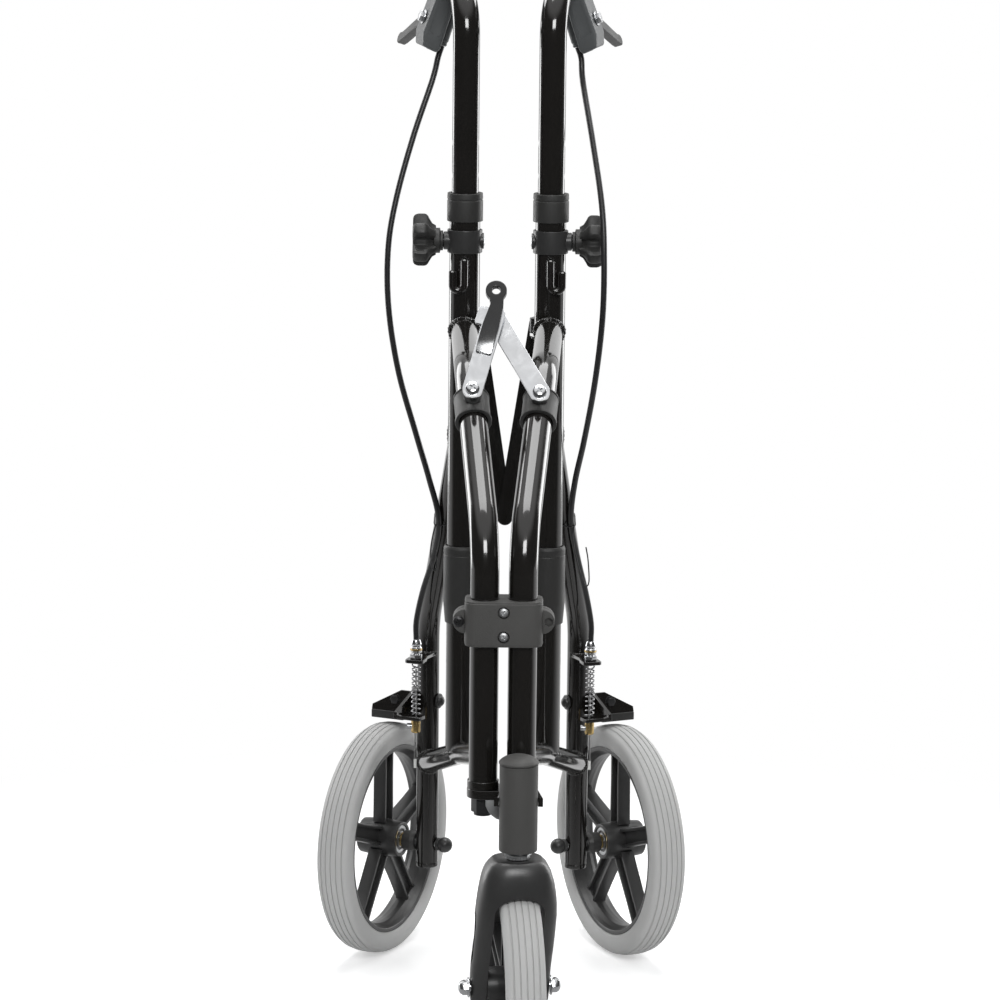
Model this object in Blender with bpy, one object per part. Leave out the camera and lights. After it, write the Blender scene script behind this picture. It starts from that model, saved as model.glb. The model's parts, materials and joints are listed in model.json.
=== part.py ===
"""Three-wheel rollator, folded for storage, built from its separate pieces.

Metres, +Z up. The user stands on the +Y side, the caster is at -Y, and the right
half is +X. The pieces are drawn from the floor point midway between the two front
tubes, and the root then moves them so that the origin is the floor's middle point.
"""

import math

import bmesh
import bpy
from mathutils import Matrix, Vector

# Clearances
GAP = 0.0003            # between pieces that seat on each other
RUN = 0.0003            # radial, around what turns or slides

# How far the drawing's zero lies in front of the middle of the length
DRAWING_ZERO_Y = -0.2245

# Facets round each kind of piece
TUBE_SIDES = 12
PIPE_SIDES = 16
SLEEVE_SIDES = 16
BOLT_SIDES = 10
BEND_STEP_DEG = 15.0

# Frame tubes
FRONT_TUBE_OD = 0.0222
UPRIGHT_OD = 0.0254
UPRIGHT_BORE = 0.0228
LEG_OD = 0.01905
TUBE_BEND_RADIUS = 0.060
TUBE_WALL = 0.0015
BORE_SIDES = 8

# Frame layout, right side
FRONT_TUBE_X = 0.01465
FRONT_BEND_Z = 0.458
KNEE_X = 0.0305
KNEE_Y = 0.155
KNEE_Z = 0.566
FRONT_END_Z = 0.574
UPRIGHT_X = 0.0354
UPRIGHT_Y = 0.310
UPRIGHT_TOP_Z = 0.680
LEG_X = 0.065
LEG_Y = 0.430
LEG_START_Z = 0.498
LEG_BEND_Z = 0.300
LEG_FOOT_DROP = 0.0205   # below the axle
BAR_LEG_Z = 0.174
BAR_UPRIGHT_Z = 0.2127
BAR_FRONT_Z = 0.2897
FOOT_COLLAR_OD = 0.0246
FOOT_COLLAR_HEIGHT = 0.006
FOOT_PLUG_HEIGHT = 0.026
LEG_PLUG_RISE = 0.0235   # above the axle

# Wheels: the frame's heights are given for this height of their tops
WHEEL_TOP_Z = 0.203
WHEEL_RADIUS = 0.1015
AXLE_Z = WHEEL_TOP_Z - WHEEL_RADIUS
FLOOR_Z = AXLE_Z - WHEEL_RADIUS
TYRE_WIDTH = 0.031
TYRE_SECTION = 0.0185
TYRE_FACETS = 24
GROOVE_WIDTH = 0.0016
GROOVE_DEPTH = 0.0013
GROOVE_PITCH = 0.0047
RIM_DEPTH = 0.0085
RIM_WIDTH = 0.025
HUB_OD = 0.032
HUB_WIDTH = 0.0374
SPOKES = 5
SPOKE_WIDTH = 0.016
SPOKE_THICKNESS = 0.012
TOE_OUT_DEG = 25.0
WHEEL_OFFSET = 0.043    # leg axis to wheel centre along the axle
AXLE_BOLT_OD = 0.008
SPACER_OD = 0.018

# Caster
HEAD_X = 0.0128
HEAD_Y = -0.030
HEAD_BOTTOM_Z = 0.2215
HEAD_TOP_Z = 0.2898
HEAD_CAP_RISE = 0.0072
HEAD_OD = 0.0296
STEM_OD = 0.010
CASTER_RAKE = 0.038
CASTER_YAW_DEG = 8.0
FORK_TOP_Z = 0.215
FORK_WIDTH = 0.063
FORK_GAP = 0.039
FORK_TYRE_GAP = 0.0045
FORK_BOSS_RADIUS = 0.015
FORK_FRONT = 0.0175
FORK_BACK = 0.030
FORK_BACK_DROP = 0.012
FORK_THROAT_DROP = 0.050
FORK_SHOULDER = 0.0055
FORK_TAPER_DROP = 0.023
FORK_WINDOW_DROP = 0.027
FORK_WINDOW_LENGTH = 0.048
FORK_WINDOW_WIDTH = 0.018
FORK_WINDOW_FOOT = 0.010
FORK_WINDOW_BACK = 0.024
FRONT_HUB_WIDTH = 0.0384
STEM_NUT_AF = 0.019

# Hinge block and foot bracket
BLOCK_BOTTOM_Z = 0.377
BLOCK_TOP_Z = 0.412
BLOCK_HALF_WIDTH = 0.030
BLOCK_HALF_DEPTH = 0.017
EAR_HALF_WIDTH = 0.039
EAR_BOTTOM_Z = 0.386
EAR_TOP_Z = 0.405
EAR_HALF_DEPTH = 0.008
PLATE_TOP_Z = 0.263
PLATE_THICKNESS = 0.007
PLATE_END_RADIUS = 0.0125
PLATE_HEAD_WALL = 0.004
PLATE_WEB_HEIGHT = 0.034
PLATE_WEB_THICKNESS = 0.006
PLATE_LIP_HEIGHT = 0.020
PLATE_LIP_THICKNESS = 0.003
PIVOT_BOLT_OD = 0.008
PIVOT_BOLT_REACH = 0.020
PIVOT_NUT_AF = 0.016
PIVOT_NUT_HEIGHT = 0.012
FRONT_FOOT_Z = PLATE_TOP_Z + GAP

# Fold links, in a plane that leans back from the vertical
FOLD_DEG = 52.0
LINK_PIVOT_X = 0.0262
LINK_PIVOT_Y = 0.1064
LINK_PIVOT_Z = 0.5505
LINK_SLOPE_DEG = 55.0
LINK_LEFT = 0.067
LINK_RIGHT = 0.074
LINK_WIDTH = 0.016
LINK_THICKNESS = 0.0025
LINK_PLANE_GAP = 0.0022
LINK_RISE = 0.0078      # ball centre to the rear link
LINK_SCREW_HEAD_OD = 0.011
LINK_BALL_OD = 0.007
LINK_SHANK_OD = 0.0044
SADDLE_OD = 0.0290
SADDLE_LENGTH = 0.027
GRIP_RING_OD = 0.0168
GRIP_RING_BORE = 0.0068
GRIP_RING_RISE = 0.0206
GRIP_BELOW = 0.032

# Rear fold stays
STAY_PIVOT_X = 0.0250
STAY_PIVOT_Y = UPRIGHT_Y + 0.019
STAY_PIVOT_Z = 0.575
STAY_WIDTH = 0.013
STAY_THICKNESS = 0.0025
STAY_PLANE_GAP = 0.0006
KNUCKLE_OD = 0.012
KNUCKLE_PIN_OD = 0.006
LUG_THICKNESS = 0.003
STAY_BOLT_OD = 0.005
RIVET_HEAD_OD = 0.009
RIVET_HEAD_HEIGHT = 0.002

# Handles
HANDLE_OD = 0.0222
HANDLE_BOTTOM_Z = 0.551
HANDLE_AXIS_Z = 0.855
HANDLE_BEND_RADIUS = 0.042
HANDLE_REACH = 0.196
HANDLE_SPLAY_DEG = 12.0
HOLE_PITCH = 0.027
HOLE_OD = 0.0066
HOLES_EACH_WAY = 3
GRIP_OD = 0.033
GRIP_LENGTH = 0.118
GRIP_FLANGE_OD = 0.040
GRIP_END_WALL = 0.004
SLEEVE_BOTTOM_Z = 0.664
SLEEVE_TOP_Z = 0.6872
SLEEVE_OD = 0.0296
CLAMP_Z = 0.6474
CLAMP_HEIGHT = 0.0191
CLAMP_OD = 0.0290
CLAMP_BUSH_OD = 0.015
CLAMP_BUSH_END_X = 0.053
KNOB_LENGTH = 0.025
KNOB_OD = 0.044
KNOB_LOBES = 5
KNOB_BOLT_OD = 0.006
POST_SLEEVE_BOTTOM_Z = 0.326
POST_SLEEVE_TOP_Z = 0.392
POST_SLEEVE_OD = 0.031
POST_SLEEVE_TAPER = 0.017
HOOK_WIRE_OD = 0.006
HOOK_TOP_Z = 0.634
HOOK_LOW_Z = 0.6048
HOOK_TIP_Z = 0.6255
HOOK_CURL_RADIUS = 0.005

# Brakes
BRAKE_CABLE_INBOARD = 0.0049
BRAKE_CABLE_FORWARD = 0.0341
BRAKE_TAB_Z = 0.271
BRAKE_TAB_THICKNESS = 0.003
BRAKE_TAB_END_RADIUS = 0.0085
BRAKE_PIVOT_Z = 0.230
BRAKE_PIVOT_OD = 0.006
BRAKE_CHEEK_OFFSET = 0.0105
BRAKE_CHEEK_THICKNESS = 0.003
BRAKE_TONGUE_Z = 0.2200
BRAKE_PAD_GAP = 0.0042
BRAKE_PAD_INNER = 0.027
BRAKE_PAD_OUTER = 0.058
BRAKE_PAD_START = 0.006
BRAKE_PAD_END = 0.026
BRAKE_PAD_HEIGHT = 0.007
SPRING_OD = 0.0082
SPRING_WIRE = 0.0013
SPRING_TURNS = 11
SPRING_POINTS_PER_TURN = 8
ANCHOR_OD = 0.008
ANCHOR_HEIGHT = 0.011
WIRE_OD = 0.0016
WIRE_TAIL_Z = 0.157
WIRE_TOP_DROP = 0.0062  # clear of the adjuster when the brake is on
ADJUSTER_TOP_Z = 0.291
ADJUSTER_OD = 0.0098
ADJUSTER_THREAD_OD = 0.006
ADJUSTER_NUT_AF = 0.010
CABLE_OD = 0.005

# Brake levers
HOUSING_LENGTH = 0.034
HOUSING_WIDTH = 0.018
HOUSING_DROP = 0.058
HOUSING_LEAN_DEG = 18.0
HOUSING_COLLAR_OD = 0.030
CABLE_RIB_OD = 0.0084
CABLE_RIB_OFFSET = 0.0038
CABLE_RIB_END = 0.052
LEVER_PIVOT_DROP = 0.034
LEVER_PIVOT_OD = 0.005
LEVER_LENGTH = 0.105
LEVER_WIDTH = 0.012
LEVER_THICKNESS = 0.008
LEVER_SLOT = LEVER_THICKNESS + 2 * RUN
LEVER_ACROSS = 0.005
LEVER_TIP_DROP = 0.060

# Cable routes, chosen along the real run from the lever housing to the adjuster
CABLE_ROUTE_RIGHT = [
    (0.0610, 0.3600, 0.7750),
    (0.0690, 0.3250, 0.7300),
    (0.0768, 0.2930, 0.6800),
    (0.0790, 0.2800, 0.6390),
    (0.0785, 0.2790, 0.5900),
    (0.0735, 0.2930, 0.5350),
    (0.0655, 0.3180, 0.4800),
    (0.0585, 0.3390, 0.4400),
    (0.0560, 0.3545, 0.4050),
    (0.0620, 0.3740, 0.3700),
    (0.0700, 0.3900, 0.3350),
]
CABLE_ROUTE_LEFT = [
    (0.0640, 0.3600, 0.7750),
    (0.0790, 0.3480, 0.7300),
    (0.0925, 0.3360, 0.6800),
    (0.0990, 0.3280, 0.6390),
    (0.0985, 0.3250, 0.5900),
    (0.0900, 0.3280, 0.5350),
    (0.0750, 0.3370, 0.4800),
    (0.0640, 0.3480, 0.4400),
    (0.0560, 0.3545, 0.4050),
    (0.0600, 0.3735, 0.3700),
    (0.0695, 0.3900, 0.3350),
]
CABLE_STEP = 2.6 * CABLE_OD

RIGHT = 1
LEFT = -1

# Directions worked out from the sizes above
TOE = math.radians(TOE_OUT_DEG)
AXLE_DIR = Vector((math.cos(TOE), math.sin(TOE), 0.0))
TRAIL_DIR = Vector((-math.sin(TOE), math.cos(TOE), 0.0))
UP = Vector((0.0, 0.0, 1.0))
LEG_POINT = Vector((LEG_X, LEG_Y, 0.0))
UPRIGHT_POINT = Vector((UPRIGHT_X, UPRIGHT_Y, 0.0))
WHEEL_CENTRE = LEG_POINT + AXLE_DIR * WHEEL_OFFSET + UP * AXLE_Z
YAW = math.radians(CASTER_YAW_DEG)
CASTER_SIDE = Vector((math.cos(YAW), math.sin(YAW), 0.0))
CASTER_BACK = Vector((-math.sin(YAW), math.cos(YAW), 0.0))
HEAD_POINT = Vector((HEAD_X, HEAD_Y, 0.0))
FRONT_AXLE = HEAD_POINT + CASTER_BACK * CASTER_RAKE + UP * AXLE_Z
SLOPE = math.radians(LINK_SLOPE_DEG)
LINK_UP = Vector((0.0, math.cos(SLOPE), math.sin(SLOPE)))
LINK_OUT = Vector((0.0, -math.sin(SLOPE), math.cos(SLOPE)))
SPLAY = math.radians(HANDLE_SPLAY_DEG)
GRIP_DIR = Vector((math.sin(SPLAY), math.cos(SPLAY), 0.0))
GRIP_SIDE = Vector((math.cos(SPLAY), -math.sin(SPLAY), 0.0))
LEAN = math.radians(HOUSING_LEAN_DEG)
HOUSING_DOWN = -UP * math.cos(LEAN) + GRIP_SIDE * math.sin(LEAN)
HOUSING_ACROSS = GRIP_SIDE * math.cos(LEAN) + UP * math.sin(LEAN)
HANDLE_POINT = UPRIGHT_POINT + UP * HANDLE_AXIS_Z


def clear_scene():
    for obj in list(bpy.data.objects):
        bpy.data.objects.remove(obj, do_unlink=True)
    for mesh in list(bpy.data.meshes):
        bpy.data.meshes.remove(mesh)


def make_material(name, colour, roughness, metallic=0.0):
    material = bpy.data.materials.new(name)
    material.use_nodes = True
    shader = material.node_tree.nodes["Principled BSDF"]
    shader.inputs["Base Color"].default_value = (*colour, 1.0)
    shader.inputs["Roughness"].default_value = roughness
    shader.inputs["Metallic"].default_value = metallic
    return material


# Shape helpers: each returns a closed bmesh solid

def perpendicular(direction):
    """A steady direction square to the one given."""
    helper = Vector((1.0, 0.0, 0.0)) if abs(direction.x) < 0.8 else Vector((0.0, 1.0, 0.0))
    return (helper - direction * helper.dot(direction)).normalized()


def rounded_path(corners, radii, step_deg=BEND_STEP_DEG):
    """Straight runs through the corners, with an arc of the given radius at each inner one."""
    points = [Vector(corners[0])]
    for index in range(1, len(corners) - 1):
        corner = Vector(corners[index])
        before = (Vector(corners[index - 1]) - corner).normalized()
        after = (Vector(corners[index + 1]) - corner).normalized()
        turn = math.pi - before.angle(after)
        reach = radii[index - 1] * math.tan(turn / 2)
        start = corner + before * reach
        bisector = (before + after).normalized()
        centre = corner + bisector * (radii[index - 1] / math.cos(turn / 2))
        normal = before.cross(after).normalized()
        steps = max(2, math.ceil(math.degrees(turn) / step_deg))
        spoke = start - centre
        for number in range(steps + 1):
            angle = -turn * number / steps
            points.append(centre + Matrix.Rotation(angle, 3, normal) @ spoke)
    points.append(Vector(corners[-1]))
    return points


def smooth_points(knots, step):
    """Points about one step apart on a smooth curve through the knots."""
    points = []
    for index in range(len(knots) - 1):
        p1, p2 = knots[index], knots[index + 1]
        p0 = knots[index - 1] if index > 0 else p1 * 2 - p2
        p3 = knots[index + 2] if index + 2 < len(knots) else p2 * 2 - p1
        count = max(1, round((p2 - p1).length / step))
        for number in range(count):
            t = number / count
            tangent1 = (p2 - p0) / 2
            tangent2 = (p3 - p1) / 2
            points.append(p1 * (2 * t ** 3 - 3 * t ** 2 + 1) + tangent1 * (t ** 3 - 2 * t ** 2 + t)
                          + p2 * (3 * t ** 2 - 2 * t ** 3) + tangent2 * (t ** 3 - t ** 2))
    points.append(knots[-1])
    return points


def path_frames(points):
    """A tangent and a steady side direction at each point of the path."""
    frames = []
    side = None
    for index, point in enumerate(points):
        before = points[max(index - 1, 0)]
        after = points[min(index + 1, len(points) - 1)]
        inward = (point - before).normalized() if index > 0 else Vector((0, 0, 0))
        outward = (after - point).normalized() if index < len(points) - 1 else Vector((0, 0, 0))
        tangent = (inward + outward).normalized()
        if side is None:
            side = perpendicular(tangent)
        side = (side - tangent * side.dot(tangent)).normalized()
        frames.append((tangent, side))
    return frames


def tube(points, radius, sides=TUBE_SIDES, bore=0.0):
    """A round bar along the path, or an open pipe where bore, its inner radius, is given."""
    bm = bmesh.new()
    frames = path_frames(points)

    def rings(ring_radius):
        made = []
        for point, (tangent, side) in zip(points, frames):
            across = tangent.cross(side)
            ring = []
            for number in range(sides):
                angle = 2 * math.pi * (number + 0.5) / sides
                offset = side * math.cos(angle) + across * math.sin(angle)
                ring.append(bm.verts.new(point + offset * ring_radius))
            made.append(ring)
        return made

    def skin(made):
        for ring, following in zip(made, made[1:]):
            for number in range(sides):
                nxt = (number + 1) % sides
                bm.faces.new((ring[number], ring[nxt], following[nxt], following[number]))

    outer = rings(radius)
    skin(outer)
    if bore > 0.0:
        inner = rings(bore)
        skin(inner)
        for end in (0, -1):
            for number in range(sides):
                nxt = (number + 1) % sides
                bm.faces.new((outer[end][number], outer[end][nxt], inner[end][nxt], inner[end][number]))
    else:
        bm.faces.new(outer[0])
        bm.faces.new(outer[-1])
    bmesh.ops.recalc_face_normals(bm, faces=bm.faces)
    return bm


def rod(start, end, radius, sides=TUBE_SIDES):
    return tube([Vector(start), Vector(end)], radius, sides)


def around(radius, sides=SLEEVE_SIDES):
    """Corner radius of a faceted hole whose flats lie at the radius given."""
    return radius / math.cos(math.pi / sides)


def hole(start, end, radius, sides=TUBE_SIDES):
    return rod(start, end, around(radius, sides), sides)


def turned(profile, origin, axis, sides=SLEEVE_SIDES, flat_down=False):
    """A solid of revolution. The profile is a closed loop of (radius, height) points."""
    bm = bmesh.new()
    origin = Vector(origin)
    axis = Vector(axis).normalized()
    side = perpendicular(axis)
    if flat_down:
        side = (-UP - axis * (-UP).dot(axis)).normalized()
    across = axis.cross(side)
    columns = []
    for radius, height in profile:
        centre = origin + axis * height
        if radius < 1e-7:
            columns.append([bm.verts.new(centre)] * sides)
            continue
        column = []
        for number in range(sides):
            angle = 2 * math.pi * (number + 0.5) / sides
            offset = side * math.cos(angle) + across * math.sin(angle)
            column.append(bm.verts.new(centre + offset * radius))
        columns.append(column)
    for first, second in zip(columns, columns[1:] + columns[:1]):
        if first[0] is first[1] and second[0] is second[1]:
            continue
        for number in range(sides):
            nxt = (number + 1) % sides
            corners = []
            for vert in (first[number], first[nxt], second[nxt], second[number]):
                if vert not in corners:
                    corners.append(vert)
            bm.faces.new(corners)
    bmesh.ops.recalc_face_normals(bm, faces=bm.faces)
    return bm


def prism(outline, origin, right, up, thickness):
    """The outline, drawn along right and up, made thick along right x up."""
    bm = bmesh.new()
    origin = Vector(origin)
    right = Vector(right)
    up = Vector(up)
    out = right.cross(up).normalized()
    lower = [bm.verts.new(origin + right * a + up * b) for a, b in outline]
    upper = [bm.verts.new(origin + right * a + up * b + out * thickness) for a, b in outline]
    count = len(outline)
    for number in range(count):
        nxt = (number + 1) % count
        bm.faces.new((lower[number], lower[nxt], upper[nxt], upper[number]))
    bm.faces.new(lower)
    bm.faces.new(upper)
    bmesh.ops.recalc_face_normals(bm, faces=bm.faces)
    return bm


def arc(centre, radius, start_deg, end_deg, steps):
    """Points of an arc in an outline, both ends included."""
    points = []
    for number in range(steps + 1):
        angle = math.radians(start_deg + (end_deg - start_deg) * number / steps)
        points.append((centre[0] + radius * math.cos(angle), centre[1] + radius * math.sin(angle)))
    return points


def capsule(first, second, radius, second_radius=None, steps=6):
    """Outline of a bar with round ends about two points."""
    second_radius = radius if second_radius is None else second_radius
    heading = math.degrees(math.atan2(second[1] - first[1], second[0] - first[0]))
    return (arc(first, radius, heading + 90, heading + 270, steps)
            + arc(second, second_radius, heading - 90, heading + 90, steps))


def hexagon(across_flats, turn_deg=0.0):
    corner = across_flats / math.sqrt(3)
    return arc((0.0, 0.0), corner, turn_deg, turn_deg + 300, 5)


def chamfer(bm, width, angle_deg=50.0, segments=1):
    """Break the edges that are sharper than the angle."""
    edges = []
    for edge in bm.edges:
        if len(edge.link_faces) == 2 and edge.calc_face_angle() > math.radians(angle_deg):
            edges.append(edge)
    bmesh.ops.bevel(bm, geom=edges, offset=width, segments=segments, affect="EDGES",
                    profile=0.5, clamp_overlap=True)
    return bm


def solid_object(bm):
    mesh = bpy.data.meshes.new("tool")
    bm.to_mesh(mesh)
    obj = bpy.data.objects.new("tool", mesh)
    bpy.context.scene.collection.objects.link(obj)
    return obj


def boolean(base, tool, operation):
    """The base solid with the tool joined to it or cut from it."""
    base_object = solid_object(base)
    tool_object = solid_object(tool)
    modifier = base_object.modifiers.new("boolean", "BOOLEAN")
    modifier.operation = operation
    modifier.solver = "EXACT"
    modifier.object = tool_object
    graph = bpy.context.evaluated_depsgraph_get()
    mesh = bpy.data.meshes.new_from_object(base_object.evaluated_get(graph))
    result = bmesh.new()
    result.from_mesh(mesh)
    for obj in (base_object, tool_object):
        bpy.data.objects.remove(obj, do_unlink=True)
    bmesh.ops.remove_doubles(result, verts=result.verts, dist=1e-6)
    bmesh.ops.dissolve_degenerate(result, edges=result.edges, dist=1e-7)
    return result


def cut(base, *tools):
    for tool in tools:
        base = boolean(base, tool, "DIFFERENCE")
    return base


def join(base, *tools):
    for tool in tools:
        base = boolean(base, tool, "UNION")
    return base


def mirrored(bm, side):
    if side == LEFT:
        bmesh.ops.scale(bm, vec=(-1.0, 1.0, 1.0), verts=bm.verts)
        bmesh.ops.reverse_faces(bm, faces=bm.faces)
    return bm


def at_side(point, side):
    return Vector((point[0] * side, point[1], point[2]))


def axis_empty(name, position, parent=None):
    """An empty on a joint's axis, which carries the pieces that move about it."""
    empty = bpy.data.objects.new(name, None)
    empty.empty_display_size = 0.02
    bpy.context.scene.collection.objects.link(empty)
    empty["place"] = list(position)
    if parent is not None:
        empty.parent = parent
        empty.location = Vector(position) - Vector(parent["place"])
    else:
        empty.location = Vector(position)
    return empty


def publish(name, bm, material, body):
    """Make the named object, placed by its body's empty."""
    bmesh.ops.translate(bm, vec=-Vector(body["place"]), verts=bm.verts)
    mesh = bpy.data.meshes.new(name)
    bm.to_mesh(mesh)
    mesh.materials.append(material)
    mesh.shade_smooth()
    mesh.set_sharp_from_angle(angle=math.radians(32))
    obj = bpy.data.objects.new(name, mesh)
    bpy.context.scene.collection.objects.link(obj)
    obj.parent = body
    return obj


def side_name(side):
    return "right" if side == RIGHT else "left"


# Frame pieces, drawn for the right side and mirrored for the left

def front_path():
    return rounded_path(
        [(FRONT_TUBE_X, 0, FRONT_FOOT_Z), (FRONT_TUBE_X, 0, FRONT_BEND_Z),
         (KNEE_X, KNEE_Y, KNEE_Z), (UPRIGHT_X, UPRIGHT_Y, FRONT_END_Z)],
        [TUBE_BEND_RADIUS, TUBE_BEND_RADIUS])


def leg_path():
    return rounded_path(
        [(UPRIGHT_X, UPRIGHT_Y, LEG_START_Z), (LEG_X, LEG_Y, LEG_BEND_Z),
         (LEG_X, LEG_Y, AXLE_Z - LEG_FOOT_DROP)], [TUBE_BEND_RADIUS])


def bar_path():
    return rounded_path(
        [(LEG_X, LEG_Y, BAR_LEG_Z), (UPRIGHT_X, UPRIGHT_Y, BAR_UPRIGHT_Z),
         (FRONT_TUBE_X, 0, BAR_FRONT_Z)], [TUBE_BEND_RADIUS])


def pipe_bore(path, outer_diameter):
    """What is cut from a tube along its path, with room past the last end."""
    last = path[-1]
    beyond = last + (last - path[-2]).normalized() * outer_diameter
    return tube(path[:-1] + [beyond], outer_diameter / 2 - TUBE_WALL, BORE_SIDES)


def upright_envelope(low, high, radius):
    return rod(UPRIGHT_POINT + UP * low, UPRIGHT_POINT + UP * high, radius, PIPE_SIDES)


def upright_hole(low, high, radius):
    return hole(UPRIGHT_POINT + UP * low, UPRIGHT_POINT + UP * high, radius, PIPE_SIDES)


def front_tube():
    body = tube(front_path(), FRONT_TUBE_OD / 2)
    foot = Vector((FRONT_TUBE_X, 0, FRONT_FOOT_Z))
    collar = rod(foot, foot + UP * FOOT_COLLAR_HEIGHT, FOOT_COLLAR_OD / 2)
    bolt_hole = hole(foot - UP * 0.005, foot + UP * (PIVOT_BOLT_REACH + RUN),
                    PIVOT_BOLT_OD / 2 + RUN, BOLT_SIDES)
    body = join(body, collar)
    bore_path = [foot + UP * FOOT_PLUG_HEIGHT] + front_path()[1:]
    mouth = upright_hole(FRONT_END_Z - 0.05, FRONT_END_Z + 0.05, UPRIGHT_OD / 2 + GAP)
    return cut(body, pipe_bore(bore_path, FRONT_TUBE_OD), mouth, bolt_hole)


def upright():
    body = upright_envelope(BAR_UPRIGHT_Z, UPRIGHT_TOP_Z, UPRIGHT_OD / 2)
    hook_y = UPRIGHT_Y - UPRIGHT_OD / 2 - HOOK_WIRE_OD / 2 + 0.0008
    curl_z = HOOK_LOW_Z + HOOK_WIRE_OD / 2 + HOOK_CURL_RADIUS
    stem = [Vector((UPRIGHT_X, hook_y, HOOK_TOP_Z)), Vector((UPRIGHT_X, hook_y, curl_z))]
    curl = [Vector((UPRIGHT_X + a, hook_y, curl_z + b))
            for a, b in arc((HOOK_CURL_RADIUS, 0.0), HOOK_CURL_RADIUS, 180, 360, 6)[1:]]
    tip = [Vector((UPRIGHT_X + 2 * HOOK_CURL_RADIUS, hook_y, HOOK_TIP_Z))]
    hook = tube(stem + curl + tip, HOOK_WIRE_OD / 2, 6)
    pivot = (STAY_PIVOT_X - UPRIGHT_X, STAY_PIVOT_Y - UPRIGHT_Y)
    lug_outline = capsule((0.0, 0.0), pivot, KNUCKLE_OD / 2)
    lug = prism(lug_outline, UPRIGHT_POINT + UP * lug_bottom(), (1, 0, 0), (0, 1, 0), LUG_THICKNESS)
    lug_hole = hole((STAY_PIVOT_X, STAY_PIVOT_Y, lug_bottom() - 0.002),
                   (STAY_PIVOT_X, STAY_PIVOT_Y, lug_bottom() + LUG_THICKNESS + 0.002),
                   KNUCKLE_PIN_OD / 2 + RUN, BOLT_SIDES)
    bore = upright_hole(BAR_UPRIGHT_Z - 0.01, UPRIGHT_TOP_Z + 0.01, UPRIGHT_BORE / 2)
    bar = tube(bar_path(), around(LEG_OD / 2 + GAP, TUBE_SIDES))
    bolt = hole(clamp_point(-UPRIGHT_OD), clamp_point(UPRIGHT_OD), KNOB_BOLT_OD / 2 + GAP, BOLT_SIDES)
    return cut(join(body, hook, lug), bore, bar, lug_hole, bolt)


def lug_bottom():
    return STAY_PIVOT_Z - KNUCKLE_OD / 2 - GAP - LUG_THICKNESS


def clamp_point(outward):
    """A point on the clamp bolt's axis, outward from the upright's axis."""
    return UPRIGHT_POINT + UP * CLAMP_Z + Vector((outward, 0, 0))


def leg_frame(inboard, forward, height):
    """A point given from the leg's axis in the wheel's own directions."""
    return LEG_POINT - AXLE_DIR * inboard - TRAIL_DIR * forward + UP * height


def rear_leg():
    body = tube(leg_path(), LEG_OD / 2)
    tab = prism(capsule((0.0, 0.0), (-BRAKE_CABLE_INBOARD, -BRAKE_CABLE_FORWARD),
                        LEG_OD / 2, BRAKE_TAB_END_RADIUS),
                LEG_POINT + UP * BRAKE_TAB_Z, AXLE_DIR, TRAIL_DIR, BRAKE_TAB_THICKNESS)
    thread = hole(leg_frame(BRAKE_CABLE_INBOARD, BRAKE_CABLE_FORWARD, BRAKE_TAB_Z - 0.002),
                 leg_frame(BRAKE_CABLE_INBOARD, BRAKE_CABLE_FORWARD,
                           BRAKE_TAB_Z + BRAKE_TAB_THICKNESS + 0.002),
                 ADJUSTER_THREAD_OD / 2 + GAP, BOLT_SIDES)
    axle = hole(leg_frame(LEG_OD, 0, AXLE_Z), leg_frame(-LEG_OD, 0, AXLE_Z),
               AXLE_BOLT_OD / 2 + GAP, BOLT_SIDES)
    pivot = hole(leg_frame(LEG_OD, 0, BRAKE_PIVOT_Z), leg_frame(-LEG_OD, 0, BRAKE_PIVOT_Z),
                BRAKE_PIVOT_OD / 2 + RUN, BOLT_SIDES)
    mouth = upright_hole(LEG_START_Z - 0.08, LEG_START_Z + 0.03, UPRIGHT_OD / 2 + GAP)
    bore_path = [LEG_POINT + UP * (AXLE_Z + LEG_PLUG_RISE)] + leg_path()[-2::-1]
    return cut(join(body, tab), pipe_bore(bore_path, LEG_OD), mouth, thread, axle, pivot)


def lower_bar():
    body = tube(bar_path(), LEG_OD / 2)
    leg_mouth = hole(LEG_POINT + UP * (BAR_LEG_Z - 0.04), LEG_POINT + UP * (BAR_LEG_Z + 0.04),
                    LEG_OD / 2 + GAP, PIPE_SIDES)
    front = Vector((FRONT_TUBE_X, 0, BAR_FRONT_Z))
    front_mouth = hole(front - UP * 0.04, front + UP * 0.04, FRONT_TUBE_OD / 2 + GAP, PIPE_SIDES)
    return cut(body, pipe_bore(bar_path(), LEG_OD), leg_mouth, front_mouth)


def top_sleeve():
    outer = SLEEVE_OD / 2
    seat = around(UPRIGHT_OD / 2 + GAP)
    guide = around(HANDLE_OD / 2 + RUN)
    profile = [(seat, SLEEVE_BOTTOM_Z), (outer, SLEEVE_BOTTOM_Z), (outer, SLEEVE_TOP_Z - 0.0018),
               (outer - 0.0014, SLEEVE_TOP_Z), (guide, SLEEVE_TOP_Z),
               (guide, UPRIGHT_TOP_Z + GAP), (seat, UPRIGHT_TOP_Z + GAP)]
    return turned(profile, UPRIGHT_POINT, UP)


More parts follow.
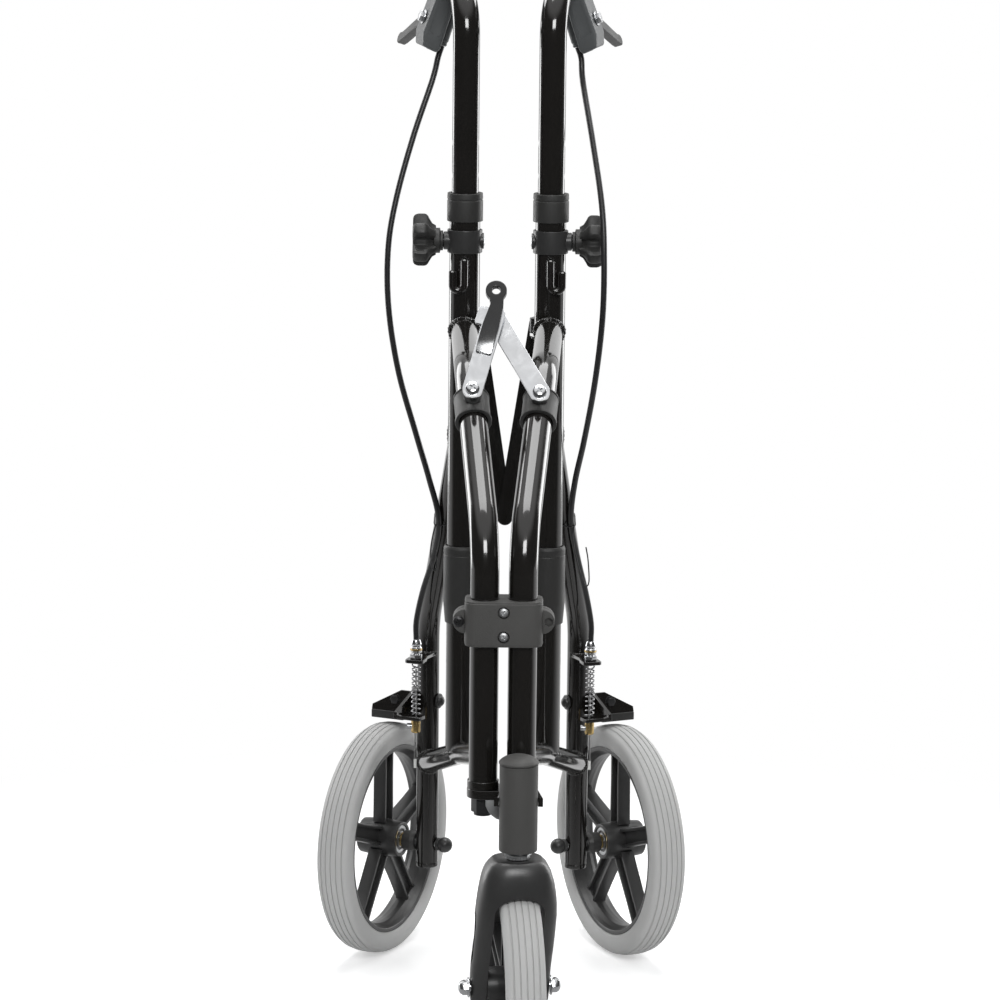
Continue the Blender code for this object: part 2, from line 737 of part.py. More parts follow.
def clamp_ring():
    outer = CLAMP_OD / 2
    seat = UPRIGHT_OD / 2 + GAP
    low = CLAMP_Z - CLAMP_HEIGHT / 2
    high = CLAMP_Z + CLAMP_HEIGHT / 2
    edge = 0.0009
    ring = turned([(outer - edge, low), (outer, low + edge), (outer, high - edge),
                   (outer - edge, high), (0, high), (0, low)], UPRIGHT_POINT, UP)
    bush_end = CLAMP_BUSH_END_X - UPRIGHT_X
    bush = rod(clamp_point(0.0), clamp_point(bush_end), CLAMP_BUSH_OD / 2)
    seat_core = upright_hole(low - 0.01, high + 0.01, seat)
    bolt = hole(clamp_point(0.0), clamp_point(bush_end + 0.01), KNOB_BOLT_OD / 2 + RUN, BOLT_SIDES)
    return join(cut(join(ring, bush), seat_core, bolt), inner_bolt())


def inner_bolt():
    """The clamp bolt's head and shank on the inner side, which stay with the ring."""
    outer = CLAMP_OD / 2
    head = turned([(0, -0.001), (0.0045, -0.001), (0.0045, 0.0012), (0.003, 0.0022), (0, 0.0022)],
                  clamp_point(-outer), (-1, 0, 0), BOLT_SIDES)
    shank = rod(clamp_point(-outer - 0.0005), clamp_point(-UPRIGHT_BORE / 2 - RUN),
                KNOB_BOLT_OD / 2, BOLT_SIDES)
    return join(head, shank)


def clamp_knob():
    start = CLAMP_BUSH_END_X - UPRIGHT_X + GAP
    root = 0.0150
    lobe = KNOB_OD / 2 - root
    neck = 0.006

    def lobed(scale):
        points = []
        for number in range(KNOB_LOBES * 6):
            angle = 2 * math.pi * number / (KNOB_LOBES * 6)
            wave = (0.5 + 0.5 * math.cos(KNOB_LOBES * angle)) ** 0.8
            radius = (root + lobe * wave) * scale
            points.append((radius * math.cos(angle), radius * math.sin(angle)))
        return points

    star = prism(lobed(1.0), clamp_point(start + neck), (0, 1, 0), (0, 0, 1), KNOB_LENGTH - neck)
    chamfer(star, 0.0022, 60)
    stem = rod(clamp_point(start), clamp_point(start + neck + 0.003), 0.0105)
    bolt = rod(clamp_point(UPRIGHT_BORE / 2 + RUN), clamp_point(start + 0.003),
               KNOB_BOLT_OD / 2, BOLT_SIDES)
    return join(star, stem, bolt)


def post_sleeve():
    outer = POST_SLEEVE_OD / 2
    seat = around(UPRIGHT_OD / 2 + GAP)
    low = POST_SLEEVE_BOTTOM_Z
    high = POST_SLEEVE_TOP_Z
    profile = [(seat, low), (seat + 0.0012, low), (outer, low + POST_SLEEVE_TAPER),
               (outer, high - 0.0015), (outer - 0.0012, high), (seat, high)]
    return turned(profile, UPRIGHT_POINT, UP)


# Front hinge

def hinge_plate():
    """The foot bracket: a plate under both front tubes, with a boss round the head tube."""
    left = (-FRONT_TUBE_X, 0.0)
    right = (FRONT_TUBE_X, 0.0)
    head = (HEAD_X, HEAD_Y)
    bottom = PLATE_TOP_Z - PLATE_THICKNESS
    head_radius = HEAD_OD / 2 + PLATE_HEAD_WALL
    bar = prism(capsule(left, right, PLATE_END_RADIUS), (0, 0, bottom),
                (1, 0, 0), (0, 1, 0), PLATE_THICKNESS)
    arm = prism(capsule(right, head, PLATE_END_RADIUS, head_radius), (0, 0, bottom),
                (1, 0, 0), (0, 1, 0), PLATE_THICKNESS)
    heading = Vector((right[0] - head[0], right[1] - head[1], 0)).normalized()
    across = Vector((-heading.y, heading.x, 0))
    reach = (Vector((*right, 0)) - HEAD_POINT).length - FRONT_TUBE_OD / 2 - 2 * GAP
    half_web = PLATE_WEB_THICKNESS / 2
    web = prism([(-half_web, 0), (half_web, 0), (half_web, PLATE_WEB_HEIGHT), (-half_web, PLATE_WEB_HEIGHT)],
                HEAD_POINT + UP * bottom, across, UP, reach)
    lip = prism(arc(left, PLATE_END_RADIUS, 170, 262, 6)
                + arc(left, PLATE_END_RADIUS - PLATE_LIP_THICKNESS, 262, 170, 6),
                (0, 0, bottom - PLATE_LIP_HEIGHT), (1, 0, 0), (0, 1, 0), PLATE_LIP_HEIGHT + 0.0005)
    bore = hole(HEAD_POINT + UP * (bottom - PLATE_LIP_HEIGHT), HEAD_POINT + UP * (bottom + 2 * PLATE_WEB_HEIGHT),
               HEAD_OD / 2 + GAP, SLEEVE_SIDES)
    foot = hole((FRONT_TUBE_X, 0, PLATE_TOP_Z + 0.0001),
               (FRONT_TUBE_X, 0, PLATE_TOP_Z + 0.06), FOOT_COLLAR_OD / 2 + GAP)
    return join(cut(join(bar, arm, web, lip), bore, foot), pivot_bolt())


def head_tube():
    outer = HEAD_OD / 2
    bore = around(STEM_OD / 2 + RUN)
    cap = outer + 0.0006
    top = HEAD_TOP_Z + HEAD_CAP_RISE
    profile = [(bore, HEAD_BOTTOM_Z), (outer, HEAD_BOTTOM_Z), (outer, HEAD_TOP_Z - 0.0008),
               (outer - 0.0006, HEAD_TOP_Z - 0.0008), (outer - 0.0006, HEAD_TOP_Z),
               (cap, HEAD_TOP_Z), (cap, HEAD_TOP_Z + 0.0020), (cap - 0.0028, top - 0.0018),
               (0.007, top - 0.0003), (0, top), (0, top - 0.004), (bore, top - 0.004)]
    return turned(profile, HEAD_POINT, UP)


def hinge_block(front):
    low, high = BLOCK_BOTTOM_Z, BLOCK_TOP_Z
    y_out = -BLOCK_HALF_DEPTH if front else BLOCK_HALF_DEPTH
    y_in = -GAP / 2 if front else GAP / 2
    y0, y1 = min(y_out, y_in), max(y_out, y_in)
    radius = 0.009
    w = BLOCK_HALF_WIDTH
    if front:
        outline = ([(-w, y1)] + arc((-w + radius, y0 + radius), radius, 180, 270, 3)
                   + arc((w - radius, y0 + radius), radius, 270, 360, 3) + [(w, y1)])
    else:
        outline = ([(w, y0)] + arc((w - radius, y1 - radius), radius, 0, 90, 3)
                   + arc((-w + radius, y1 - radius), radius, 90, 180, 3) + [(-w, y0)])
    block = prism(outline, (0, 0, low), (1, 0, 0), (0, 1, 0), high - low)
    chamfer(block, 0.0018, 80)
    ear_y = -EAR_HALF_DEPTH if front else EAR_HALF_DEPTH
    e0, e1 = min(ear_y, y_in), max(ear_y, y_in)
    solids = []
    for sign in (-1, 1):
        x0 = sign * (w - 0.004)
        x1 = sign * EAR_HALF_WIDTH
        solids.append(prism([(min(x0, x1), e0), (max(x0, x1), e0), (max(x0, x1), e1),
                             (min(x0, x1), e1)], (0, 0, EAR_BOTTOM_Z), (1, 0, 0), (0, 1, 0),
                            EAR_TOP_Z - EAR_BOTTOM_Z))
    block = join(block, *solids)
    tools = []
    for sign in (-1, 1):
        tools.append(hole((sign * FRONT_TUBE_X, 0, low - 0.01), (sign * FRONT_TUBE_X, 0, high + 0.01),
                         FRONT_TUBE_OD / 2 + RUN, PIPE_SIDES))
    ear_x = (w + EAR_HALF_WIDTH) / 2
    tools.append(rod((ear_x, -0.02, ear_z()), (ear_x, 0.02, ear_z()), 0.0025, 10))
    if not front:
        return cut(block, *tools)
    for z in block_screw_heights():
        tools.append(rod((0, -0.03, z), (0, screw_seat_y(), z), 0.0042, 12))
    return join(cut(block, *tools), *block_screws())


def ear_z():
    return (EAR_BOTTOM_Z + EAR_TOP_Z) / 2


def screw_seat_y():
    return -BLOCK_HALF_DEPTH + 0.0045


def block_screw_heights():
    middle = (BLOCK_BOTTOM_Z + BLOCK_TOP_Z) / 2
    return (middle - 0.0095, middle + 0.0095)


def block_screws():
    """Heads and shanks of the screws that draw the two halves together."""
    solids = []
    for z in block_screw_heights():
        solids.append(turned([(0, -0.0005), (0.0036, -0.0005), (0.0036, 0.0018), (0.0026, 0.0028),
                              (0, 0.0028)], (0, screw_seat_y(), z), (0, -1, 0), 12))
    x = -(BLOCK_HALF_WIDTH + EAR_HALF_WIDTH) / 2
    solids.append(turned([(0, -0.0005), (0.004, -0.0005), (0.004, 0.0012), (0.0022, 0.0026),
                          (0, 0.0026)], (x, -EAR_HALF_DEPTH, ear_z()), (0, -1, 0), 12))
    return solids


def pivot_bolt():
    """The bolt that the left front tube turns on, with its nut under the plate."""
    bottom = PLATE_TOP_Z - PLATE_THICKNESS
    centre = Vector((-FRONT_TUBE_X, 0, bottom - PIVOT_NUT_HEIGHT))
    nut = prism(hexagon(PIVOT_NUT_AF), centre, (1, 0, 0), (0, 1, 0), PIVOT_NUT_HEIGHT + GAP)
    bolt = rod(centre + UP * 0.004, Vector((-FRONT_TUBE_X, 0, FRONT_FOOT_Z + PIVOT_BOLT_REACH - RUN)),
               PIVOT_BOLT_OD / 2, 12)
    return join(nut, bolt)


# Caster

def fork_local(side, back, height):
    return HEAD_POINT + CASTER_SIDE * side + CASTER_BACK * back + UP * height


def fork():
    """Moulded caster fork: a crown that swells over the wheel and two blades with windows."""
    top = FORK_TOP_Z
    boss = FORK_BOSS_RADIUS
    axle_z = AXLE_Z
    rake = CASTER_RAKE
    half = FORK_WIDTH / 2
    front = -FORK_FRONT
    back = FORK_BACK
    outline = ([(back, top - FORK_BACK_DROP), (back - 0.006, top - 0.002), (back - 0.016, top),
                (front + 0.0055, top), (front, top - 0.004), (front - 0.001, top - 0.020),
                (0.004, top - FORK_THROAT_DROP)]
               + arc((rake, axle_z), boss, 203, 375, 8)
               + [(back + 0.004, top - FORK_WINDOW_DROP - 0.010)])
    blank = prism(outline, fork_local(-half, 0, 0), CASTER_BACK, UP, FORK_WIDTH)
    chamfer(blank, 0.004, 50, 2)
    wheel_space = rod(fork_local(-FORK_GAP / 2, rake, axle_z), fork_local(FORK_GAP / 2, rake, axle_z),
                      WHEEL_RADIUS / math.cos(math.pi / TYRE_FACETS) + FORK_TYRE_GAP, 2 * TYRE_FACETS)
    taper_low = top - FORK_TAPER_DROP
    reach = 2 * (rake + boss)
    side_cuts = []
    for sign in (-1, 1):
        wedge = [(sign * (half - FORK_SHOULDER - 0.004), top + 0.01),
                 (sign * (half - 0.0035), taper_low + 0.009),
                 (sign * half, taper_low), (sign * (half + 0.01), taper_low),
                 (sign * (half + 0.01), top + 0.01)]
        side_cuts.append(prism(wedge, fork_local(0, -reach, 0), CASTER_SIDE, UP, -2 * reach))
    window_top = top - FORK_WINDOW_DROP
    window_low = window_top - FORK_WINDOW_LENGTH
    window_foot = FORK_WINDOW_BACK + FORK_WINDOW_FOOT
    window = prism([(FORK_WINDOW_BACK - FORK_WINDOW_WIDTH, window_top),
                    (FORK_WINDOW_BACK, window_top - 0.002),
                    (window_foot, window_low), (FORK_WINDOW_BACK, window_low)],
                   fork_local(-half - 0.01, 0, 0), CASTER_BACK, UP, FORK_WIDTH + 0.02)
    axle = hole(fork_local(-half - 0.01, rake, axle_z), fork_local(half + 0.01, rake, axle_z),
               AXLE_BOLT_OD / 2 + GAP, BOLT_SIDES)
    stem = hole(fork_local(0, 0, top - 0.02), fork_local(0, 0, top + 0.02), STEM_OD / 2 + GAP)
    return cut(blank, wheel_space, *side_cuts, window, axle, stem)


def fork_stem():
    """Stem bolt with its nut, which turns in the head tube."""
    bottom_nut = prism(hexagon(STEM_NUT_AF, 10), HEAD_POINT + UP * (FORK_TOP_Z + GAP),
                       (1, 0, 0), (0, 1, 0), HEAD_BOTTOM_Z - FORK_TOP_Z - 2 * GAP)
    stem = rod(HEAD_POINT + UP * (FORK_TOP_Z - 0.004), HEAD_POINT + UP * (HEAD_TOP_Z - 0.003),
               STEM_OD / 2, 12)
    return join(bottom_nut, stem)


def front_axle():
    half = FORK_WIDTH / 2
    axle_z = AXLE_Z
    bolt = rod(fork_local(-half - 0.006, CASTER_RAKE, axle_z),
               fork_local(half + 0.006, CASTER_RAKE, axle_z), AXLE_BOLT_OD / 2, 12)
    heads = []
    for sign in (-1, 1):
        heads.append(turned([(0, 0), (0.0065, 0), (0.0065, 0.005), (0.004, 0.0078), (0, 0.0085)],
                            fork_local(sign * (half + GAP), CASTER_RAKE, axle_z),
                            CASTER_SIDE * sign, 12))
    return join(bolt, *heads)


# Wheels, turned about their own axle

def tyre(centre, axis):
    """Tread with fine grooves, its flat facets scaled so that one rests on the floor."""
    reach = WHEEL_RADIUS / math.cos(math.pi / TYRE_FACETS)
    half = TYRE_WIDTH / 2
    bore = reach - TYRE_SECTION
    crown = []
    for index in (-2, -1, 0, 1, 2):
        land = GROOVE_PITCH * index
        fall = 0.0 if index == 0 else 0.0008 * index * index
        near = (GROOVE_PITCH - GROOVE_WIDTH) / 2
        crown.append((reach - fall, land - near))
        crown.append((reach - fall, land + near))
        if index < 2:
            crown.append((reach - fall - GROOVE_DEPTH - 0.0012, land + GROOVE_PITCH / 2))
    profile = [(bore, -half + 0.0030), (reach - 0.010, -half)]
    profile += crown
    profile += [(reach - 0.010, half), (bore, half - 0.0030)]
    return turned(profile, centre, axis, TYRE_FACETS, flat_down=True)


def rim(centre, axis, hub_width):
    """Moulded rim: a dished ring, five ribbed spokes and a hub."""
    centre = Vector(centre)
    axis = Vector(axis).normalized()
    outer = WHEEL_RADIUS / math.cos(math.pi / TYRE_FACETS) - TYRE_SECTION
    outer_flat = outer - GAP / math.cos(math.pi / TYRE_FACETS)
    inner = outer_flat - RIM_DEPTH
    half = RIM_WIDTH / 2
    ring = turned([(outer_flat, -half), (outer_flat, half), (inner, half - 0.006),
                   (inner, -half + 0.006)],
                  centre, axis, TYRE_FACETS, flat_down=True)
    hub = rod(centre - axis * hub_width / 2, centre + axis * hub_width / 2, HUB_OD / 2)
    side = (-UP - axis * (-UP).dot(axis)).normalized()
    spokes = []
    for number in range(SPOKES):
        turn = Matrix.Rotation(2 * math.pi * number / SPOKES + math.pi, 3, axis)
        along = turn @ side
        across = along.cross(axis)
        root = HUB_OD / 2 - 0.003
        tip = inner + 0.002
        wide = SPOKE_WIDTH / 2
        outline = [(root, -wide * 1.15), (tip, -wide), (tip, wide), (root, wide * 1.15)]
        spokes.append(prism(outline, centre - axis * SPOKE_THICKNESS / 2, along, axis.cross(along),
                            SPOKE_THICKNESS))
    bore = hole(centre - axis * hub_width, centre + axis * hub_width, AXLE_BOLT_OD / 2 + RUN, BOLT_SIDES)
    return cut(join(ring, hub, *spokes), bore)


def axle_set():
    """Axle bolt with its head outside the wheel, brass spacer, and acorn nut inside the leg."""
    along = AXLE_DIR
    base = LEG_POINT + UP * AXLE_Z
    leg = LEG_OD / 2
    hub_in = WHEEL_OFFSET - HUB_WIDTH / 2
    hub_out = WHEEL_OFFSET + HUB_WIDTH / 2
    bolt = rod(base - along * (leg + 0.006), base + along * (hub_out + 0.004), AXLE_BOLT_OD / 2, 12)
    head = prism(hexagon(0.013), base + along * (hub_out + GAP), TRAIL_DIR, UP, 0.006)
    acorn = turned([(0, 0), (0.0074, 0), (0.0074, 0.0065), (0.0052, 0.0105), (0, 0.0125)],
                   base - along * (leg + GAP), -along, 12)
    spacer = turned([(0, leg + GAP), (SPACER_OD / 2 - 0.0015, leg + GAP), (SPACER_OD / 2, leg + 0.004),
                     (SPACER_OD / 2, hub_in - GAP), (0, hub_in - GAP)], base, along, TUBE_SIDES)
    return join(bolt, head, acorn, spacer)


# Brake at the wheel

def brake_arm():
    """Bent steel arm on the leg's outer side: a tongue to the cable and a shoe over the tyre."""
    lat = BRAKE_CHEEK_OFFSET
    thick = BRAKE_CHEEK_THICKNESS
    pivot = (0.0, BRAKE_PIVOT_Z)
    tongue_z = BRAKE_TONGUE_Z
    forward = BRAKE_CABLE_FORWARD
    base = LEG_POINT
    pad_low = WHEEL_TOP_Z + BRAKE_PAD_GAP
    cheek = ([(-forward - 0.006, tongue_z), (0.0, tongue_z - 0.004), (BRAKE_PAD_START, pad_low + 0.004),
              (BRAKE_PAD_END, pad_low + 0.002), (BRAKE_PAD_END, pad_low + 0.009)]
             + arc(pivot, 0.010, 20, 130, 6) + [(-forward - 0.006, tongue_z + 0.006)])
    plate = prism(cheek, base + AXLE_DIR * (lat + thick), TRAIL_DIR, UP, -thick)
    tongue = prism([(-BRAKE_CABLE_INBOARD - 0.006, -0.006), (lat + thick, -0.006),
                    (lat + thick, 0.006), (-BRAKE_CABLE_INBOARD - 0.006, 0.006)],
                   base - TRAIL_DIR * forward + UP * tongue_z, AXLE_DIR, TRAIL_DIR, 0.003)
    wire_hole = hole(leg_frame(BRAKE_CABLE_INBOARD, forward, tongue_z - 0.004),
                     leg_frame(BRAKE_CABLE_INBOARD, forward, tongue_z + 0.008), WIRE_OD / 2 + 0.0006, 10)
    shoe_profile = [(BRAKE_PAD_START, pad_low + BRAKE_PAD_HEIGHT),
                    (BRAKE_PAD_END + 0.001, pad_low + BRAKE_PAD_HEIGHT - 0.002),
                    (BRAKE_PAD_END + 0.001, pad_low + BRAKE_PAD_HEIGHT + 0.001),
                    (BRAKE_PAD_START + 0.006, pad_low + BRAKE_PAD_HEIGHT + 0.019),
                    (BRAKE_PAD_START + 0.002, pad_low + BRAKE_PAD_HEIGHT + 0.019)]
    shoe = prism(shoe_profile, base + AXLE_DIR * BRAKE_PAD_OUTER, TRAIL_DIR, UP,
                 -(BRAKE_PAD_OUTER - lat - 0.001))
    pad_block = prism([(BRAKE_PAD_START, pad_low - 0.006), (BRAKE_PAD_END, pad_low - 0.006),
                       (BRAKE_PAD_END, pad_low + BRAKE_PAD_HEIGHT), (BRAKE_PAD_START, pad_low + BRAKE_PAD_HEIGHT)],
                      base + AXLE_DIR * BRAKE_PAD_OUTER, TRAIL_DIR, UP,
                      -(BRAKE_PAD_OUTER - BRAKE_PAD_INNER))
    wheel = LEG_POINT + UP * AXLE_Z
    curve = rod(wheel + AXLE_DIR * 0.015, wheel + AXLE_DIR * 0.075,
                WHEEL_RADIUS + BRAKE_PAD_GAP, 72)
    pad = cut(pad_block, curve)
    pin = rod(leg_frame(LEG_OD / 2 + 0.001, 0, BRAKE_PIVOT_Z),
              leg_frame(-lat - thick - 0.003, 0, BRAKE_PIVOT_Z), BRAKE_PIVOT_OD / 2, 12)
    dome = turned([(0, 0), (0.0065, 0), (0.0065, 0.0015), (0.004, 0.0045), (0, 0.0055)],
                  leg_frame(LEG_OD / 2 + GAP, 0, BRAKE_PIVOT_Z), -AXLE_DIR, 12)
    outer_head = turned([(0, 0), (0.0055, 0), (0.0055, 0.002), (0, 0.0035)],
                        leg_frame(-lat - thick + 0.0005, 0, BRAKE_PIVOT_Z), AXLE_DIR, 12)
    return cut(join(plate, tongue, shoe, pad, pin, dome, outer_head), wire_hole)


def cable_anchor():
    """Brass barrel clamped on the bare inner wire under the tongue."""
    top = BRAKE_TONGUE_Z - GAP
    axis = leg_frame(BRAKE_CABLE_INBOARD, BRAKE_CABLE_FORWARD, 0)
    barrel = rod(axis + UP * (top - ANCHOR_HEIGHT), axis + UP * top, ANCHOR_OD / 2, 12)
    wire = rod(axis + UP * WIRE_TAIL_Z, axis + UP * (BRAKE_TAB_Z - WIRE_TOP_DROP), WIRE_OD / 2, 6)
    screw = rod(axis + UP * (top - ANCHOR_HEIGHT / 2) - TRAIL_DIR * 0.002,
                axis + UP * (top - ANCHOR_HEIGHT / 2) - TRAIL_DIR * 0.0075, 0.0028, 10)
    return join(barrel, wire, screw)


def barrel_adjuster():
    axis = leg_frame(BRAKE_CABLE_INBOARD, BRAKE_CABLE_FORWARD, 0)
    tab_top = BRAKE_TAB_Z + BRAKE_TAB_THICKNESS
    nut = prism(hexagon(ADJUSTER_NUT_AF), axis + UP * (tab_top + GAP), AXLE_DIR, TRAIL_DIR, 0.0042)
    thread = ADJUSTER_THREAD_OD / 2
    knob = ADJUSTER_OD / 2
    body = turned([(0, BRAKE_TAB_Z - 0.0015), (thread, BRAKE_TAB_Z - 0.0015),
                   (thread, tab_top + 0.0055), (knob, tab_top + 0.0062), (knob, ADJUSTER_TOP_Z - 0.004),
                   (knob - 0.0012, ADJUSTER_TOP_Z - 0.003), (knob - 0.0012, ADJUSTER_TOP_Z),
                   (0, ADJUSTER_TOP_Z)], axis, UP, BOLT_SIDES)
    return join(body, nut)


def brake_spring(side):
    """Compression spring round the inner wire, between the tab and the tongue."""
    low = BRAKE_TONGUE_Z + 0.003 + GAP + SPRING_WIRE / 2
    high = BRAKE_TAB_Z - 0.0015 - GAP - SPRING_WIRE / 2
    radius = (SPRING_OD - SPRING_WIRE) / 2
    axis = leg_frame(BRAKE_CABLE_INBOARD, BRAKE_CABLE_FORWARD, 0)
    count = SPRING_TURNS * SPRING_POINTS_PER_TURN
    points = []
    for number in range(count + 1):
        angle = 2 * math.pi * number / SPRING_POINTS_PER_TURN
        height = low + (high - low) * number / count
        points.append(axis + AXLE_DIR * radius * math.cos(angle)
                      + TRAIL_DIR * radius * math.sin(angle) + UP * height)
    pitch = (high - low) / SPRING_TURNS
    nearest = min((points[i] - points[j]).length for i in range(len(points))
                  for j in range(i + SPRING_POINTS_PER_TURN // 2, len(points)))
    print("brake spring: pitch %.2f mm, least gap to itself %.2f mm"
          % (pitch * 1000, (nearest - SPRING_WIRE) * 1000))
    return [at_side(point, side) for point in points]


def cable_points(side):
    """The cable's run: out of the housing's rib, wide of the knob, and down to the adjuster."""
    route = CABLE_ROUTE_RIGHT if side == RIGHT else CABLE_ROUTE_LEFT
    start = cable_exit()
    end = leg_frame(BRAKE_CABLE_INBOARD, BRAKE_CABLE_FORWARD, ADJUSTER_TOP_Z + GAP)
    knots = [start, start + HOUSING_DOWN * 0.010]
    knots += [Vector(point) for point in route]
    knots += [end + UP * 0.016, end]
    return [at_side(point, side) for point in smooth_points(knots, CABLE_STEP)]


def cable_exit():
    """Where the outer cable leaves the housing's rib."""
    across = LEVER_ACROSS - HOUSING_WIDTH / 2 - CABLE_RIB_OFFSET
    return housing_point(housing_start() + HOUSING_LENGTH / 2, across, CABLE_RIB_END + GAP)


def round_curve(name, points, diameter, bevel_resolution, material, body):
    """A cord or wire: one open spline with a round bevel and filled caps."""
    curve = bpy.data.curves.new(name, "CURVE")
    curve.dimensions = "3D"
    curve.bevel_depth = diameter / 2
    curve.bevel_resolution = bevel_resolution
    curve.use_fill_caps = True
    spline = curve.splines.new("POLY")
    spline.points.add(len(points) - 1)
    place = Vector(body["place"])
    for target, point in zip(spline.points, points):
        target.co = (*(point - place), 1.0)
    curve.materials.append(material)
    obj = bpy.data.objects.new(name, curve)
    bpy.context.scene.collection.objects.link(obj)
    obj.parent = body
    return obj


# Handles

def handle_path():
    return rounded_path([UPRIGHT_POINT + UP * HANDLE_BOTTOM_Z, HANDLE_POINT,
                         HANDLE_POINT + GRIP_DIR * (HANDLE_REACH - GRIP_END_WALL)],
                        [HANDLE_BEND_RADIUS])


def handle_tube():
    body = tube(handle_path(), HANDLE_OD / 2)
    below = UPRIGHT_POINT + UP * (HANDLE_BOTTOM_Z - HANDLE_OD)
    tools = [pipe_bore([below] + handle_path()[1:], HANDLE_OD)]
    for number in range(-HOLES_EACH_WAY, HOLES_EACH_WAY + 1):
        point = UPRIGHT_POINT + UP * (CLAMP_Z + HOLE_PITCH * number)
        tools.append(rod(point - Vector((HANDLE_OD, 0, 0)), point + Vector((HANDLE_OD, 0, 0)),
                         HOLE_OD / 2, 6))
    return cut(body, *tools)


def grip():
    start = HANDLE_REACH - GRIP_LENGTH
    seat = around(HANDLE_OD / 2 + GAP)
    r = GRIP_OD / 2
    end = HANDLE_REACH
    swell = 0.0008
    wall = end - GRIP_END_WALL + GAP
    profile = [(seat, start), (GRIP_FLANGE_OD / 2, start), (GRIP_FLANGE_OD / 2, start + 0.0035),
               (r - swell, start + 0.0060), (r, start + 0.022), (r + swell, start + 0.060),
               (r, end - 0.022), (r + swell, end - 0.008), (r - 0.0035, end), (0, end),
               (0, wall), (seat, wall)]
    return turned(profile, HANDLE_POINT, GRIP_DIR)


def housing_point(along, across, down):
    """A point of the lever housing, from the bend of the handle tube."""
    return HANDLE_POINT + GRIP_DIR * along + HOUSING_ACROSS * across + HOUSING_DOWN * down


def housing_start():
    return HANDLE_REACH - GRIP_LENGTH - GAP - HOUSING_LENGTH


def lever_pivot():
    return housing_point(housing_start() + HOUSING_LENGTH / 2, LEVER_ACROSS, LEVER_PIVOT_DROP)


def lever_housing():
    """Grey moulded housing: a collar on the tube, a leaning box, and a rib that takes the cable."""
    start = housing_start()
    middle = start + HOUSING_LENGTH / 2
    drop = HOUSING_DROP
    inner = LEVER_ACROSS - HOUSING_WIDTH / 2
    outer = LEVER_ACROSS + HOUSING_WIDTH / 2
    collar = rod(housing_point(start, 0, 0), housing_point(start + HOUSING_LENGTH, 0, 0),
                 HOUSING_COLLAR_OD / 2, SLEEVE_SIDES)
    outline = [(inner, 0.004), (outer - 0.002, 0.004), (outer, drop - 0.012),
               (outer - 0.003, drop - 0.001), (inner + 0.002, drop + 0.001), (inner, drop - 0.003)]
    box = prism(outline, housing_point(start, 0, 0), HOUSING_ACROSS, HOUSING_DOWN, HOUSING_LENGTH)
    chamfer(box, 0.0016, 60)
    rib = rod(housing_point(middle, inner - CABLE_RIB_OFFSET, 0.006),
              housing_point(middle, inner - CABLE_RIB_OFFSET, CABLE_RIB_END), CABLE_RIB_OD / 2, 12)
    half_slot = LEVER_SLOT / 2
    slot = prism([(LEVER_ACROSS - half_slot, LEVER_PIVOT_DROP - 0.012),
                  (LEVER_ACROSS + half_slot, LEVER_PIVOT_DROP - 0.012),
                  (LEVER_ACROSS + half_slot, drop + 0.01), (LEVER_ACROSS - half_slot, drop + 0.01)],
                 housing_point(middle - 0.010, 0, 0), HOUSING_ACROSS, HOUSING_DOWN, 0.04)
    seat = hole(housing_point(start - 0.01, 0, 0), housing_point(start + HOUSING_LENGTH + 0.01, 0, 0),
               HANDLE_OD / 2 + GAP)
    body = cut(join(collar, box, rib), slot, seat)
    ear = HOUSING_WIDTH / 2 + GAP
    pin = rod(lever_pivot() - HOUSING_ACROSS * (ear - 0.002),
              lever_pivot() + HOUSING_ACROSS * (ear + 0.001), LEVER_PIVOT_OD / 2, 10)
    head = prism(hexagon(0.009), lever_pivot() + HOUSING_ACROSS * (ear - 0.001),
                 GRIP_DIR, -HOUSING_DOWN, 0.0055)
    return join(body, pin, head)


def brake_lever():
    """Moulded lever: an eye in the housing and a blade that falls away under the grip."""
    pivot = lever_pivot() - HOUSING_ACROSS * LEVER_THICKNESS / 2
    half = LEVER_WIDTH / 2
    fall = LEVER_TIP_DROP - LEVER_PIVOT_DROP
    upper = [(0.010, half), (0.030, half - fall * 0.10), (0.065, half - fall * 0.55),
             (LEVER_LENGTH - 0.012, half - fall * 0.95)]
    lower = [(x, y - LEVER_WIDTH * (0.95 - 0.25 * x / LEVER_LENGTH)) for x, y in reversed(upper)]
    tip = [(LEVER_LENGTH, half - fall - 0.002), (LEVER_LENGTH - 0.001, half - fall - 0.009)]
    eye = arc((0.0, 0.0), half, 90, 270, 8)
    outline = upper + tip + lower + list(reversed(eye))
    blade = prism(outline, pivot, GRIP_DIR, -HOUSING_DOWN, LEVER_THICKNESS)
    chamfer(blade, 0.0018, 60)
    eye_hole = hole(lever_pivot() - HOUSING_ACROSS * 0.02, lever_pivot() + HOUSING_ACROSS * 0.02,
                    LEVER_PIVOT_OD / 2 + RUN, BOLT_SIDES)
    return cut(blade, eye_hole)


# Fold links in front and fold stays behind

def link_base(side):
    return Vector((LINK_PIVOT_X * side, LINK_PIVOT_Y, LINK_PIVOT_Z))


def link_meeting():
    """Where the two links' middle pivots lie at rest: across, and up along the link plane."""
    base = 2 * LINK_PIVOT_X
    across = (LINK_LEFT ** 2 + base ** 2 - LINK_RIGHT ** 2) / (2 * base)
    return -LINK_PIVOT_X + across, math.sqrt(LINK_LEFT ** 2 - across ** 2)


def link_plane(side):
    """Height of a link's rear face above its ball, square to the link plane."""
    return LINK_RISE if side == RIGHT else LINK_RISE + LINK_THICKNESS + LINK_PLANE_GAP


